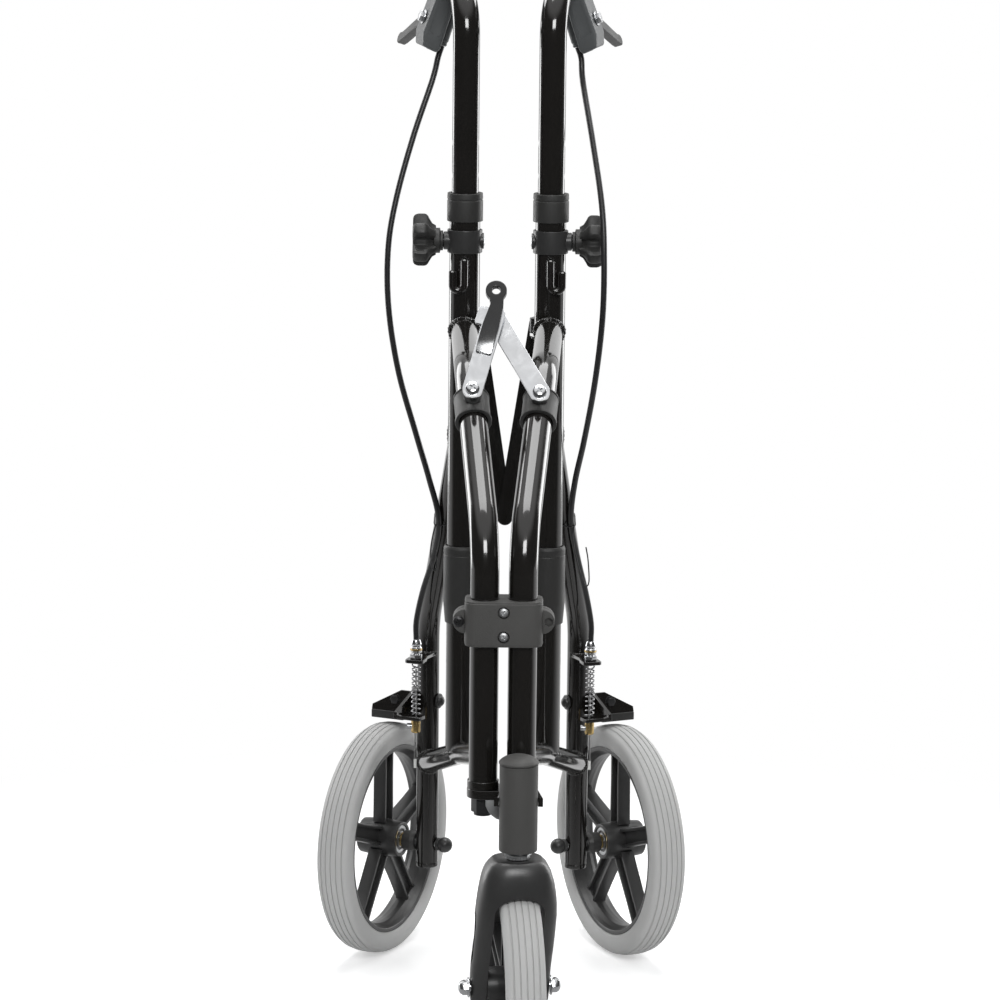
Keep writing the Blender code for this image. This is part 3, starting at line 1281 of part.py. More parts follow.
def link_prism(outline, side, start, thickness):
    """Outline points are across and up in the link plane, from the middle of the frame."""
    origin = Vector((0.0, LINK_PIVOT_Y, LINK_PIVOT_Z)) + LINK_OUT * (link_plane(side) + start)
    return prism(outline, origin, (1, 0, 0), LINK_UP, thickness)


def link_hole(side):
    base = link_base(side)
    return hole(base, base + LINK_OUT * 0.03, LINK_SHANK_OD / 2 + RUN, BOLT_SIDES)


def fold_link(side):
    pivot = (LINK_PIVOT_X * side, 0.0)
    meeting = link_meeting()
    plate = link_prism(capsule(pivot, meeting, LINK_WIDTH / 2), side, 0.0, LINK_THICKNESS)
    if side == LEFT:
        along = Vector((meeting[0] - pivot[0], meeting[1])).normalized()
        across = Vector((-along.y, along.x))
        near = Vector(meeting) - along * 0.011
        far = Vector(meeting) + along * 0.005
        wing = [near, far, far + across * (LINK_WIDTH / 2 + 0.006), near + across * (LINK_WIDTH / 2 + 0.006)]
        plate = join(plate, link_prism([tuple(point) for point in wing], side, 0.0, LINK_THICKNESS))
    else:
        head = Vector((meeting[0], LINK_PIVOT_Y, LINK_PIVOT_Z)) + LINK_UP * meeting[1]
        rivet = rod(head + LINK_OUT * (link_plane(side) - RIVET_HEAD_HEIGHT),
                    head + LINK_OUT * (link_plane(side) + 0.001), RIVET_HEAD_OD / 2, 12)
        plate = join(plate, rivet)
    return cut(plate, link_hole(side))


def link_grip():
    """Dipped finger pull on the left link: it narrows from the plate to a ring."""
    pivot = Vector((-LINK_PIVOT_X, 0.0))
    meeting = Vector(link_meeting())
    along = (meeting - pivot).normalized()
    across = Vector((-along.y, along.x))
    low = meeting - along * GRIP_BELOW
    neck = meeting + along * 0.006
    ring = meeting + Vector((0.0015, GRIP_RING_RISE))
    ring_radius = GRIP_RING_OD / 2
    heading = math.degrees(math.atan2(ring.y - neck.y, ring.x - neck.x))
    outline = [low - across * 0.0070, meeting - along * 0.012 - across * 0.0068, neck - across * 0.0052]
    outline += [Vector(point) for point in arc(ring, ring_radius, heading - 138, heading + 138, 14)]
    outline += [neck + across * 0.0052, meeting - along * 0.012 + across * 0.0068, low + across * 0.0070]
    body = link_prism([tuple(point) for point in outline], LEFT, LINK_THICKNESS + GAP, 0.0058)
    chamfer(body, 0.0016, 60)
    centre = Vector((ring.x, LINK_PIVOT_Y, LINK_PIVOT_Z)) + LINK_UP * ring.y
    ring_hole = rod(centre, centre + LINK_OUT * 0.04, GRIP_RING_BORE / 2)
    return cut(body, ring_hole)


def link_screw(side):
    """Ball stud that swivels in the saddle and carries the link under a pan head."""
    base = link_base(side)
    ball = LINK_BALL_OD / 2
    shank = LINK_SHANK_OD / 2
    rise = link_plane(side)
    head = rise + LINK_THICKNESS + GAP
    pan = LINK_SCREW_HEAD_OD / 2
    profile = [(ball * math.sin(math.radians(a)), -ball * math.cos(math.radians(a)))
               for a in (0, 30, 60, 90, 120)]
    profile += [(shank, ball * math.cos(math.radians(35))), (shank, rise - 0.0021),
                (0.0045, rise - 0.0021), (0.0045, rise - GAP), (shank, rise - GAP), (shank, head),
                (pan, head), (pan, head + 0.0012), (pan - 0.0020, head + 0.0026), (0, head + 0.0030)]
    return turned(profile, base, LINK_OUT, BOLT_SIDES)


def link_saddle():
    """Moulded collar on the sloping front tube, with a socket for the link's ball stud."""
    path = front_path()
    base = link_base(RIGHT)
    low = Vector((FRONT_TUBE_X, 0, FRONT_BEND_Z))
    along = (Vector((KNEE_X, KNEE_Y, KNEE_Z)) - low).normalized()
    centre = low + along * (base - low).dot(along)
    collar = rod(centre - along * SADDLE_LENGTH / 2, centre + along * SADDLE_LENGTH / 2,
                 SADDLE_OD / 2, SLEEVE_SIDES)
    chamfer(collar, 0.0012, 60)
    socket = LINK_BALL_OD / 2 + RUN
    mouth = 0.0015
    boss = rod(base - LINK_OUT * 0.0115, base + LINK_OUT * mouth, LINK_BALL_OD / 2 + 0.0030)
    hollow = [(socket * math.sin(math.radians(a)), -socket * math.cos(math.radians(a)))
              for a in (0, 30, 60, 90)]
    edge = math.sqrt(socket ** 2 - mouth ** 2)
    hollow += [(edge, mouth), (edge, mouth + 0.004), (0, mouth + 0.004)]
    tool = turned(hollow, base, LINK_OUT, TUBE_SIDES)
    pipe = tube(path, around(FRONT_TUBE_OD / 2 + GAP, TUBE_SIDES))
    return cut(join(collar, boss), pipe, tool)


def stay_length():
    """Half of the distance between the stays' pivots when the frame stands open."""
    fold = math.radians(FOLD_DEG)
    x = -STAY_PIVOT_X + FRONT_TUBE_X
    y = STAY_PIVOT_Y
    left_x = -FRONT_TUBE_X + x * math.cos(fold) - y * math.sin(fold)
    left_y = x * math.sin(fold) + y * math.cos(fold)
    return math.hypot(STAY_PIVOT_X - left_x, STAY_PIVOT_Y - left_y) / 2


def stay_plane(side):
    """Y of a stay's front face: the right stay lies in front of the left one."""
    front = STAY_PIVOT_Y + KNUCKLE_OD / 2 + GAP
    return front if side == RIGHT else front + STAY_THICKNESS + STAY_PLANE_GAP


def fold_stay(side):
    drop = math.sqrt(stay_length() ** 2 - STAY_PIVOT_X ** 2)
    pivot = (STAY_PIVOT_X * side, STAY_PIVOT_Z)
    joint = (0.0, STAY_PIVOT_Z - drop)
    bar = prism(capsule(pivot, joint, STAY_WIDTH / 2),
                (0, stay_plane(side) + STAY_THICKNESS, 0), (1, 0, 0), (0, 0, 1), STAY_THICKNESS)
    if side == LEFT:
        face = stay_plane(side) + STAY_THICKNESS
        rivet = turned([(0, -0.001), (RIVET_HEAD_OD / 2, -0.001), (RIVET_HEAD_OD / 2, 0.0008),
                        (0.0025, RIVET_HEAD_HEIGHT), (0, RIVET_HEAD_HEIGHT)],
                       (joint[0], face, joint[1]), (0, 1, 0), 12)
        bar = join(bar, rivet)
    eye_hole = hole((pivot[0], STAY_PIVOT_Y, pivot[1]), (pivot[0], STAY_PIVOT_Y + 0.04, pivot[1]),
                    STAY_BOLT_OD / 2 + RUN, BOLT_SIDES)
    return cut(bar, eye_hole)


def stay_bolt(side):
    """Swivel knuckle: an upright pin in the frame's lug and a bolt that carries the stay."""
    pin = KNUCKLE_PIN_OD / 2
    body = KNUCKLE_OD / 2
    low = lug_bottom() - GAP
    top = lug_bottom() + LUG_THICKNESS + GAP
    high = STAY_PIVOT_Z + KNUCKLE_OD / 2
    post = turned([(0, low - 0.0018), (0.0048, low - 0.0018), (0.0048, low), (pin, low), (pin, top),
                   (body, top), (body, high - 0.001), (body - 0.001, high), (0, high)],
                  (STAY_PIVOT_X * side, STAY_PIVOT_Y, 0), UP, BOLT_SIDES)
    end = stay_plane(side) + STAY_THICKNESS + GAP
    x = STAY_PIVOT_X * side
    shank = rod((x, STAY_PIVOT_Y, STAY_PIVOT_Z), (x, end + 0.001, STAY_PIVOT_Z), STAY_BOLT_OD / 2, BOLT_SIDES)
    head = turned([(0, 0), (0.0048, 0), (0.0048, 0.0012), (0.003, 0.0026), (0, 0.0026)],
                  (x, end, STAY_PIVOT_Z), (0, 1, 0), BOLT_SIDES)
    return join(post, shank, head)


def main():
    clear_scene()
    black_paint = make_material("black_paint", (0.012, 0.012, 0.013), 0.18)
    black_plastic = make_material("black_plastic", (0.030, 0.031, 0.033), 0.55)
    grey_plastic = make_material("grey_plastic", (0.10, 0.105, 0.11), 0.5)
    zinc = make_material("zinc", (0.75, 0.76, 0.78), 0.30, 1.0)
    brass = make_material("brass", (0.72, 0.55, 0.28), 0.35, 1.0)
    rubber = make_material("grip_rubber", (0.020, 0.020, 0.021), 0.75)
    grey_tyre = make_material("tyre_rubber", (0.30, 0.30, 0.31), 0.8)
    spring_steel = make_material("spring_steel", (0.03, 0.03, 0.03), 0.35, 0.6)

    root = axis_empty("frame_right", (0, 0, 0))
    frames = {RIGHT: root, LEFT: axis_empty("frame_left", (-FRONT_TUBE_X, 0, 0), root)}

    for side in (RIGHT, LEFT):
        name = side_name(side)
        frame = frames[side]
        handle = axis_empty("handle_" + name, at_side(UPRIGHT_POINT, side), frame)
        lever = axis_empty("lever_" + name, at_side(lever_pivot(), side), handle)
        knob = axis_empty("knob_" + name, at_side(clamp_point(0), side), frame)
        brake = axis_empty("brake_" + name, at_side(LEG_POINT + UP * BRAKE_PIVOT_Z, side), frame)
        wheel = axis_empty("wheel_" + name, at_side(WHEEL_CENTRE, side), frame)
        link_swivel = axis_empty("link_swivel_" + name, link_base(side), frame)
        link = axis_empty("link_" + name, link_base(side), link_swivel)
        stay_place = Vector((STAY_PIVOT_X * side, STAY_PIVOT_Y, STAY_PIVOT_Z))
        stay_swivel = axis_empty("stay_swivel_" + name, stay_place, frame)
        stay = axis_empty("stay_" + name, stay_place, stay_swivel)

        mirrored_pieces = [
            ("front_tube", front_tube(), black_paint, frame),
            ("upright", upright(), black_paint, frame),
            ("rear_leg", rear_leg(), black_paint, frame),
            ("lower_bar", lower_bar(), black_paint, frame),
            ("top_sleeve", top_sleeve(), black_plastic, frame),
            ("clamp_ring", clamp_ring(), black_plastic, frame),
            ("post_sleeve", post_sleeve(), black_plastic, frame),
            ("link_saddle", link_saddle(), black_plastic, frame),
            ("axle_set", axle_set(), zinc, frame),
            ("barrel_adjuster", barrel_adjuster(), zinc, frame),
            ("handle_tube", handle_tube(), black_paint, handle),
            ("grip", grip(), rubber, handle),
            ("lever_housing", lever_housing(), grey_plastic, handle),
            ("brake_lever", brake_lever(), black_plastic, lever),
            ("clamp_knob", clamp_knob(), black_plastic, knob),
            ("brake_arm", brake_arm(), black_paint, brake),
            ("cable_anchor", cable_anchor(), brass, brake),
            ("wheel_rim", rim(WHEEL_CENTRE, AXLE_DIR, HUB_WIDTH), black_plastic, wheel),
            ("wheel_tyre", tyre(WHEEL_CENTRE, AXLE_DIR), grey_tyre, wheel),
        ]
        for piece, solid, material, body in mirrored_pieces:
            publish(piece + "_" + name, mirrored(solid, side), material, body)

        publish("fold_link_" + name, fold_link(side), zinc, link)
        publish("link_screw_" + name, link_screw(side), zinc, link_swivel)
        publish("fold_stay_" + name, fold_stay(side), black_paint, stay)
        publish("stay_bolt_" + name, stay_bolt(side), zinc, stay_swivel)
        if side == LEFT:
            publish("link_grip", link_grip(), rubber, link)
        round_curve("brake_spring_" + name, brake_spring(side), SPRING_WIRE, 1, spring_steel, frame)
        round_curve("brake_cable_" + name, cable_points(side), CABLE_OD, 2, black_plastic, frame)

    publish("hinge_block_front", hinge_block(True), black_plastic, root)
    publish("hinge_block_rear", hinge_block(False), black_plastic, root)
    publish("hinge_plate", hinge_plate(), black_paint, root)
    publish("head_tube", head_tube(), black_plastic, root)

    caster = axis_empty("caster", HEAD_POINT, root)
    front_wheel = axis_empty("front_wheel", FRONT_AXLE, caster)
    publish("fork", fork(), black_plastic, caster)
    publish("fork_stem", fork_stem(), zinc, caster)
    publish("front_axle", front_axle(), zinc, caster)
    publish("front_rim", rim(FRONT_AXLE, CASTER_SIDE, FRONT_HUB_WIDTH), black_plastic, front_wheel)
    publish("front_tyre", tyre(FRONT_AXLE, CASTER_SIDE), grey_tyre, front_wheel)
    root.location = (0.0, DRAWING_ZERO_Y, -FLOOR_Z)


main()
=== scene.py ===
# %% [markdown]
# # A folded three-wheel rollator
# The CAD part is loaded as a fixed frame. Every piece below is drawn again with finer
# shapes and real finishes, and each one rides on the CAD body that it belongs to.
# All places are in metres, with +Z up and the user's side at +Y.

import json
import math

import bmesh
import bpy
from mathutils import Matrix, Vector


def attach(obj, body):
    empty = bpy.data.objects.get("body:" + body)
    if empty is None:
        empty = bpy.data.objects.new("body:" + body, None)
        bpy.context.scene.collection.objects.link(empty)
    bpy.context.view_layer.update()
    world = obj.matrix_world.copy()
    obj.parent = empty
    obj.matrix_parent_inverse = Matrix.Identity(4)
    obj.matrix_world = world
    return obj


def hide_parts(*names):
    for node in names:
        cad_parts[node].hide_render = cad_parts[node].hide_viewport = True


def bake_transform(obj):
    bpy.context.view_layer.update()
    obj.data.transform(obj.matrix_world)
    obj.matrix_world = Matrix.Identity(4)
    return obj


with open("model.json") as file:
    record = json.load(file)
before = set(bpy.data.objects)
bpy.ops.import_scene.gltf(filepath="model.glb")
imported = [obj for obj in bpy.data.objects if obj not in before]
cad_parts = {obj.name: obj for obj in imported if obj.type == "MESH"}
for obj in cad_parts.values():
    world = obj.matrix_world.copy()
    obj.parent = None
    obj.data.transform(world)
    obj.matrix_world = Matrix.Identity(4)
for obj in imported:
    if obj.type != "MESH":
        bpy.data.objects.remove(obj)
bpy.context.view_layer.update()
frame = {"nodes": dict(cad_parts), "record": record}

# %% [markdown]
# ## Sizes
# These are the drawing sizes of the frame. The drawing starts from the floor point
# midway between the two front tubes, so each finished mesh is moved by DRAWING_ZERO.
# Names in capitals are sizes, and a name that ends in _R is a radius.

# %% Sizes of the frame
DRAWING_ZERO = Vector((0.0, -0.2245, 0.0))
GAP = 0.0003
UP = Vector((0.0, 0.0, 1.0))
ACROSS = Vector((1.0, 0.0, 0.0))
BACK = Vector((0.0, 1.0, 0.0))

FRONT_TUBE_R = 0.0111
UPRIGHT_R = 0.0127
UPRIGHT_BORE_R = 0.0114
LEG_R = 0.009525
FRONT_X = 0.01465
PLATE_TOP = 0.263
UPRIGHT = Vector((0.0354, 0.31, 0.0))
UPRIGHT_TOP = 0.68
UPRIGHT_LOW = 0.2127
LEG = Vector((0.065, 0.43, 0.0))
LEG_FOOT = 0.081
BEND = 0.06

TOE = math.radians(25.0)
AXLE = Vector((math.cos(TOE), math.sin(TOE), 0.0))
TRAIL = Vector((-math.sin(TOE), math.cos(TOE), 0.0))
WHEEL_R = 0.1015
WHEEL_OUT = 0.043
REAR_WHEEL = LEG + AXLE * WHEEL_OUT + UP * WHEEL_R

YAW = math.radians(8.0)
FORK_SIDE = Vector((math.cos(YAW), math.sin(YAW), 0.0))
FORK_BACK = Vector((-math.sin(YAW), math.cos(YAW), 0.0))
HEAD = Vector((0.0128, -0.03, 0.0))
RAKE = 0.038
FRONT_WHEEL = HEAD + FORK_BACK * RAKE + UP * WHEEL_R

SLOPE = math.radians(55.0)
LINK_UP = Vector((0.0, math.cos(SLOPE), math.sin(SLOPE)))
LINK_OUT = Vector((0.0, -math.sin(SLOPE), math.cos(SLOPE)))
BALL = Vector((0.0262, 0.1064, 0.5505))

SPLAY = math.radians(12.0)
GRIP_DIR = Vector((math.sin(SPLAY), math.cos(SPLAY), 0.0))
GRIP_SIDE = Vector((math.cos(SPLAY), -math.sin(SPLAY), 0.0))
LEAN = math.radians(18.0)
HOUSING_DOWN = -UP * math.cos(LEAN) + GRIP_SIDE * math.sin(LEAN)
HOUSING_ACROSS = GRIP_SIDE * math.cos(LEAN) + UP * math.sin(LEAN)
HANDLE_R = 0.0111
HANDLE_CORNER = UPRIGHT + UP * 0.855
HANDLE_REACH = 0.196
CLAMP_Z = 0.6474
SIDES = {"right": 1, "left": -1}
print("rear wheel at", [round(v, 4) for v in REAR_WHEEL])

# %% [markdown]
# ## Drawing helpers
# Tubes are swept along a path whose corners are real bends, turned pieces come from a
# half profile, and flat pieces from an outline whose edges are then rounded. These
# three cover nearly every piece of a welded frame. Each helper returns a mesh in
# memory, so that shapes can be joined or carved before they become objects.

# %% Paths
def bent_path(corners, radius, step_deg=4.0):
    """Straight runs with an arc of the radius at each inner corner."""
    points = [Vector(corners[0])]
    for before, corner, after in zip(corners, corners[1:], corners[2:]):
        corner = Vector(corner)
        inward = (Vector(before) - corner).normalized()
        outward = (Vector(after) - corner).normalized()
        turn = math.pi - inward.angle(outward)
        start = corner + inward * radius * math.tan(turn / 2)
        centre = corner + (inward + outward).normalized() * radius / math.cos(turn / 2)
        normal = inward.cross(outward).normalized()
        steps = max(3, math.ceil(math.degrees(turn) / step_deg))
        for number in range(steps + 1):
            turned = Matrix.Rotation(-turn * number / steps, 3, normal) @ (start - centre)
            points.append(centre + turned)
    points.append(Vector(corners[-1]))
    return points


def smooth_path(knots, step):
    """Points about one step apart on a smooth curve through the knots."""
    points = []
    for index in range(len(knots) - 1):
        p1, p2 = knots[index], knots[index + 1]
        p0 = knots[index - 1] if index > 0 else p1 * 2 - p2
        p3 = knots[index + 2] if index + 2 < len(knots) else p2 * 2 - p1
        count = max(1, round((p2 - p1).length / step))
        for number in range(count):
            t = number / count
            lead = (p2 - p0) / 2
            trail = (p3 - p1) / 2
            points.append(p1 * (2 * t ** 3 - 3 * t ** 2 + 1) + lead * (t ** 3 - 2 * t ** 2 + t)
                          + p2 * (3 * t ** 2 - 2 * t ** 3) + trail * (t ** 3 - t ** 2))
    return points + [knots[-1]]


def square_to(direction):
    """A steady direction square to the one given."""
    helper = ACROSS if abs(direction.x) < 0.8 else BACK
    return (helper - direction * helper.dot(direction)).normalized()


def path_frames(points, closed=False, first_side=None):
    """The heading and a side direction at each point, without needless twist."""
    frames = []
    side = first_side
    count = len(points)
    for index, point in enumerate(points):
        before = points[index - 1] if closed or index > 0 else point
        after = points[(index + 1) % count] if closed or index < count - 1 else point
        heading = Vector((0, 0, 0))
        for leg in (point - before, after - point):
            if leg.length > 1e-9:
                heading += leg.normalized()
        heading.normalize()
        if side is None:
            side = square_to(heading)
        side = (side - heading * side.dot(heading)).normalized()
        frames.append((heading, side))
    return frames


# %% [markdown]
# A swept bar gets one ring of points at each place of its path. A turned piece is built
# the same way, with rings about an axis. A ring or washer is the plainest turned piece,
# and since a frame has many of them, it has a helper of its own.

# %% Swept, turned and flat shapes
def circle(size, count):
    """Outline of a circle about zero, as count points."""
    return [(size * math.cos(2 * math.pi * n / count), size * math.sin(2 * math.pi * n / count))
            for n in range(count)]


def sweep(points, radius, sides=40, bore=0.0, closed=False, shape=None, side=None):
    """A bar along the path. shape(index) may give each ring its own outline."""
    bm = bmesh.new()
    frames = path_frames(points, closed, side)

    def skin(size):
        rings = []
        for index, (point, (heading, across)) in enumerate(zip(points, frames)):
            up = heading.cross(across)
            outline = circle(size, sides) if shape is None else shape(index)
            rings.append([bm.verts.new(point + across * a + up * b) for a, b in outline])
        after = rings[1:] + rings[:1] if closed else rings[1:]
        for ring, following in zip(rings, after):
            for n in range(len(ring)):
                m = (n + 1) % len(ring)
                bm.faces.new((ring[n], ring[m], following[m], following[n]))
        return rings

    outer = skin(radius)
    if bore:
        inner = skin(bore)
        for end in (0, -1):
            for n in range(sides):
                m = (n + 1) % sides
                bm.faces.new((outer[end][n], outer[end][m], inner[end][m], inner[end][n]))
    elif not closed:
        bm.faces.new(outer[0])
        bm.faces.new(outer[-1])
    bmesh.ops.recalc_face_normals(bm, faces=bm.faces)
    return bm


def rod(start, end, radius, sides=32):
    """A straight round bar."""
    return sweep([Vector(start), Vector(end)], radius, sides)


def rod_along(place, axis, low, high, radius, sides=32):
    """A round bar from low to high along the axis through the place."""
    return rod(place + axis * low, place + axis * high, radius, sides)


def lathe(profile, origin, axis, sides=64):
    """A solid of revolution from a closed loop of (radius, height) points."""
    bm = bmesh.new()
    origin = Vector(origin)
    axis = Vector(axis).normalized()
    side = square_to(axis)
    across = axis.cross(side)
    columns = []
    for radius, height in profile:
        centre = origin + axis * height
        if radius < 1e-7:
            columns.append([bm.verts.new(centre)] * sides)
            continue
        columns.append([bm.verts.new(
            centre + side * radius * math.cos(2 * math.pi * n / sides)
            + across * radius * math.sin(2 * math.pi * n / sides)) for n in range(sides)])
    for first, second in zip(columns, columns[1:] + columns[:1]):
        if first[0] is first[1] and second[0] is second[1]:
            continue
        for n in range(sides):
            m = (n + 1) % sides
            corners = list(dict.fromkeys((first[n], first[m], second[m], second[n])))
            bm.faces.new(corners)
    bmesh.ops.recalc_face_normals(bm, faces=bm.faces)
    return bm


def round_profile(corners, radius, steps=4):
    """The profile with each outer corner off the axis rounded."""
    result = []
    count = len(corners)
    for index, corner in enumerate(corners):
        here = Vector(corner)
        before = Vector(corners[index - 1])
        after = Vector(corners[(index + 1) % count])
        reach = min(radius, (before - here).length * 0.45, (after - here).length * 0.45)
        if here.x < 1e-7 or reach < 1e-5:
            result.append(tuple(here))
            continue
        start = here + (before - here).normalized() * reach
        end = here + (after - here).normalized() * reach
        for number in range(steps + 1):
            t = number / steps
            result.append(tuple(start * (1 - t) ** 2 + here * 2 * t * (1 - t) + end * t * t))
    return result


def turned_ring(inner, outer, low, high, rounding, place, axis, sides=64):
    """A ring, or a disc where inner is 0, with its edges rounded."""
    profile = [(inner, low), (outer, low), (outer, high), (inner, high)]
    return lathe(round_profile(profile, rounding), place, axis, sides)


def plate(outline, origin, right, up, thickness, rounding=0.0, segments=3, sharper_than=40.0):
    """The outline made thick along right x up, with its edges rounded."""
    bm = bmesh.new()
    origin = Vector(origin)
    right = Vector(right)
    up = Vector(up)
    out = right.cross(up).normalized()
    lower = [bm.verts.new(origin + right * a + up * b) for a, b in outline]
    upper = [bm.verts.new(origin + right * a + up * b + out * thickness) for a, b in outline]
    count = len(outline)
    for n in range(count):
        m = (n + 1) % count
        bm.faces.new((lower[n], lower[m], upper[m], upper[n]))
    bm.faces.new(lower)
    bm.faces.new(upper)
    bmesh.ops.recalc_face_normals(bm, faces=bm.faces)
    if rounding:
        soften(bm, rounding, segments, sharper_than)
    return bm


def soften(bm, width, segments=3, sharper_than=40.0):
    """Round every edge that turns by more than the given degrees."""
    edges = [edge for edge in bm.edges if len(edge.link_faces) == 2
             and edge.calc_face_angle() > math.radians(sharper_than)]
    bmesh.ops.bevel(
        bm, geom=edges, offset=width, segments=segments, affect="EDGES", profile=0.6, clamp_overlap=True)
    return bm


def arc(centre, radius, start_deg, end_deg, steps):
    """Points on an arc, both ends included."""
    angles = [math.radians(start_deg + (end_deg - start_deg) * n / steps) for n in range(steps + 1)]
    return [(centre[0] + radius * math.cos(a), centre[1] + radius * math.sin(a)) for a in angles]


def capsule(first, second, radius, second_radius=None, steps=14):
    """Outline of a bar with round ends about two points."""
    second_radius = radius if second_radius is None else second_radius
    heading = math.degrees(math.atan2(second[1] - first[1], second[0] - first[0]))
    return (arc(first, radius, heading + 90, heading + 270, steps)
            + arc(second, second_radius, heading - 90, heading + 90, steps))


def hexagon(across_flats, turn_deg=0.0):
    """Outline of a nut."""
    return arc((0.0, 0.0), across_flats / math.sqrt(3), turn_deg, turn_deg + 300, 5)


# %% [markdown]
# Welded or moulded bodies are fused, and holes are carved, with Blender's exact boolean
# modifier. It works on objects, so both shapes become objects for a moment. Fasteners
# that only touch are gathered in one mesh instead, which keeps them crisp.

# %% Joining, carving and mirroring
def temporary(bm):
    """The shape as an object that lasts for one boolean."""
    mesh = bpy.data.meshes.new("temporary")
    bm.to_mesh(mesh)
    obj = bpy.data.objects.new("temporary", mesh)
    bpy.context.scene.collection.objects.link(obj)
    return obj


def boolean(base, tool, operation):
    base_object = temporary(base)
    tool_object = temporary(tool)
    modifier = base_object.modifiers.new("boolean", "BOOLEAN")
    modifier.operation = operation
    modifier.solver = "EXACT"
    modifier.object = tool_object
    graph = bpy.context.evaluated_depsgraph_get()
    mesh = bpy.data.meshes.new_from_object(base_object.evaluated_get(graph))
    result = bmesh.new()
    result.from_mesh(mesh)
    bpy.data.meshes.remove(mesh)
    for obj in (base_object, tool_object):
        bpy.data.meshes.remove(obj.data)
    return result


def carve(base, *tools):
    for tool in tools:
        base = boolean(base, tool, "DIFFERENCE")
    return base


def fuse(base, *others):
    for other in others:
        base = boolean(base, other, "UNION")
    return base


def gather(*shapes):
    """Several shapes in one mesh, for fasteners that only touch."""
    mesh = bpy.data.meshes.new("gather")
    result = bmesh.new()
    for shape in shapes:
        shape.to_mesh(mesh)
        result.from_mesh(mesh)
    bpy.data.meshes.remove(mesh)
    return result


def to_the_left(bm):
    """The mirror image, for the left side."""
    twin = bm.copy()
    bmesh.ops.scale(twin, vec=(-1.0, 1.0, 1.0), verts=twin.verts)
    bmesh.ops.reverse_faces(twin, faces=twin.faces)
    return twin


# %% [markdown]
# A shape becomes a piece when it has an object, a finish and the CAD body that it rides
# on. Most pieces come in pairs, so the left one is the mirror image of the right one.

# %% Turning a shape into a piece
def add_piece(name, bm, finish, body, stands_for=(), sharp_deg=38.0):
    """Make the named object, ride it on its body, and hide the CAD nodes it stands for."""
    bmesh.ops.translate(bm, vec=DRAWING_ZERO, verts=bm.verts)
    mesh = bpy.data.meshes.new(name + "_shape")
    bm.to_mesh(mesh)
    bm.free()
    mesh.materials.append(finish)
    mesh.shade_smooth()
    mesh.set_sharp_from_angle(angle=math.radians(sharp_deg))
    obj = bpy.data.objects.new(name + "_shape", mesh)
    bpy.context.scene.collection.objects.link(obj)
    if body is not None:
        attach(obj, body)
    if stands_for:
        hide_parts(*stands_for)
    print(name, "has", len(mesh.polygons), "faces")
    return obj


def add_pair(name, bm, finish, body, node=None, sharp_deg=38.0):
    """The piece on the right and its mirror image on the left."""
    shapes = {"right": bm, "left": to_the_left(bm)}
    for side, shape in shapes.items():
        nodes = [node + "_" + side] if node else []
        add_piece(name + "_" + side, shape, finish, body + "_" + side, nodes, sharp_deg)


# %% [markdown]
# ## Camera
# The photo was taken from in front with a long lens, a little above the part and tilted
# down. The place was worked out from the wheels' floor points and ellipses.

# %% Camera
CAMERA_LENS = 156.6
CAMERA_PLACE = Vector((0.0, -3.2553, 1.1037)) + DRAWING_ZERO
CAMERA_DOWN_DEG = 10.7
CAMERA_ROLL_DEG = 0.61
CAMERA_SHIFT = -0.005
SENSOR_WIDTH = 36.0
camera_data = bpy.data.cameras.new("camera")
camera_data.lens = CAMERA_LENS
camera_data.sensor_width = SENSOR_WIDTH
camera_data.shift_x = CAMERA_SHIFT
camera_data.clip_end = 50.0
camera = bpy.data.objects.new("camera", camera_data)
bpy.context.scene.collection.objects.link(camera)
aim = Matrix.Rotation(math.radians(90.0 - CAMERA_DOWN_DEG), 4, "X")
roll = Matrix.Rotation(math.radians(CAMERA_ROLL_DEG), 4, "Z")
camera.matrix_world = Matrix.Translation(CAMERA_PLACE) @ aim @ roll
bpy.context.scene.camera = camera
print("camera at", [round(v, 3) for v in CAMERA_PLACE])

# %% [markdown]
# ## Shared effects
# Three effects serve most finishes: a fine moulded grain, faint smudges that vary the
# gloss, and dust that settles on what faces up. Each is a node group, so that every
# finish can use it at its own scale and strength.

# %% Node group helpers
def new_group(name, inputs, outputs):
    """A node group with named number inputs and named outputs."""
    group = bpy.data.node_groups.new(name, "ShaderNodeTree")
    for label, value in inputs:
        socket = group.interface.new_socket(label, in_out="INPUT", socket_type="NodeSocketFloat")
        socket.default_value = value
    for label, kind in outputs:
        group.interface.new_socket(label, in_out="OUTPUT", socket_type=kind)
    return group, group.nodes.new("NodeGroupInput"), group.nodes.new("NodeGroupOutput")


def put(tree, kind, **values):
    """A new node with its options set."""
    node = tree.nodes.new(kind)
    for key, value in values.items():
        setattr(node, key, value)
    return node


def set_inputs(node, **values):
    """Set inputs by name, written with _ for each space."""
    for key, value in values.items():
        node.inputs[key.replace("_", " ")].default_value = value
    return node


def wire(tree, *pairs):
    """Link each output to its input."""
    for source, target in pairs:
        tree.links.new(source, target)


def smooth_range(tree, source, low, high, to_low=0.0, to_high=1.0):
    """The source's value brought smoothly from low..high to to_low..to_high."""
    node = put(tree, "ShaderNodeMapRange", interpolation_type="SMOOTHSTEP")
    set_inputs(node, From_Min=low, From_Max=high, To_Min=to_low, To_Max=to_high)
    wire(tree, (source, node.inputs["Value"]))
    return node.outputs["Result"]


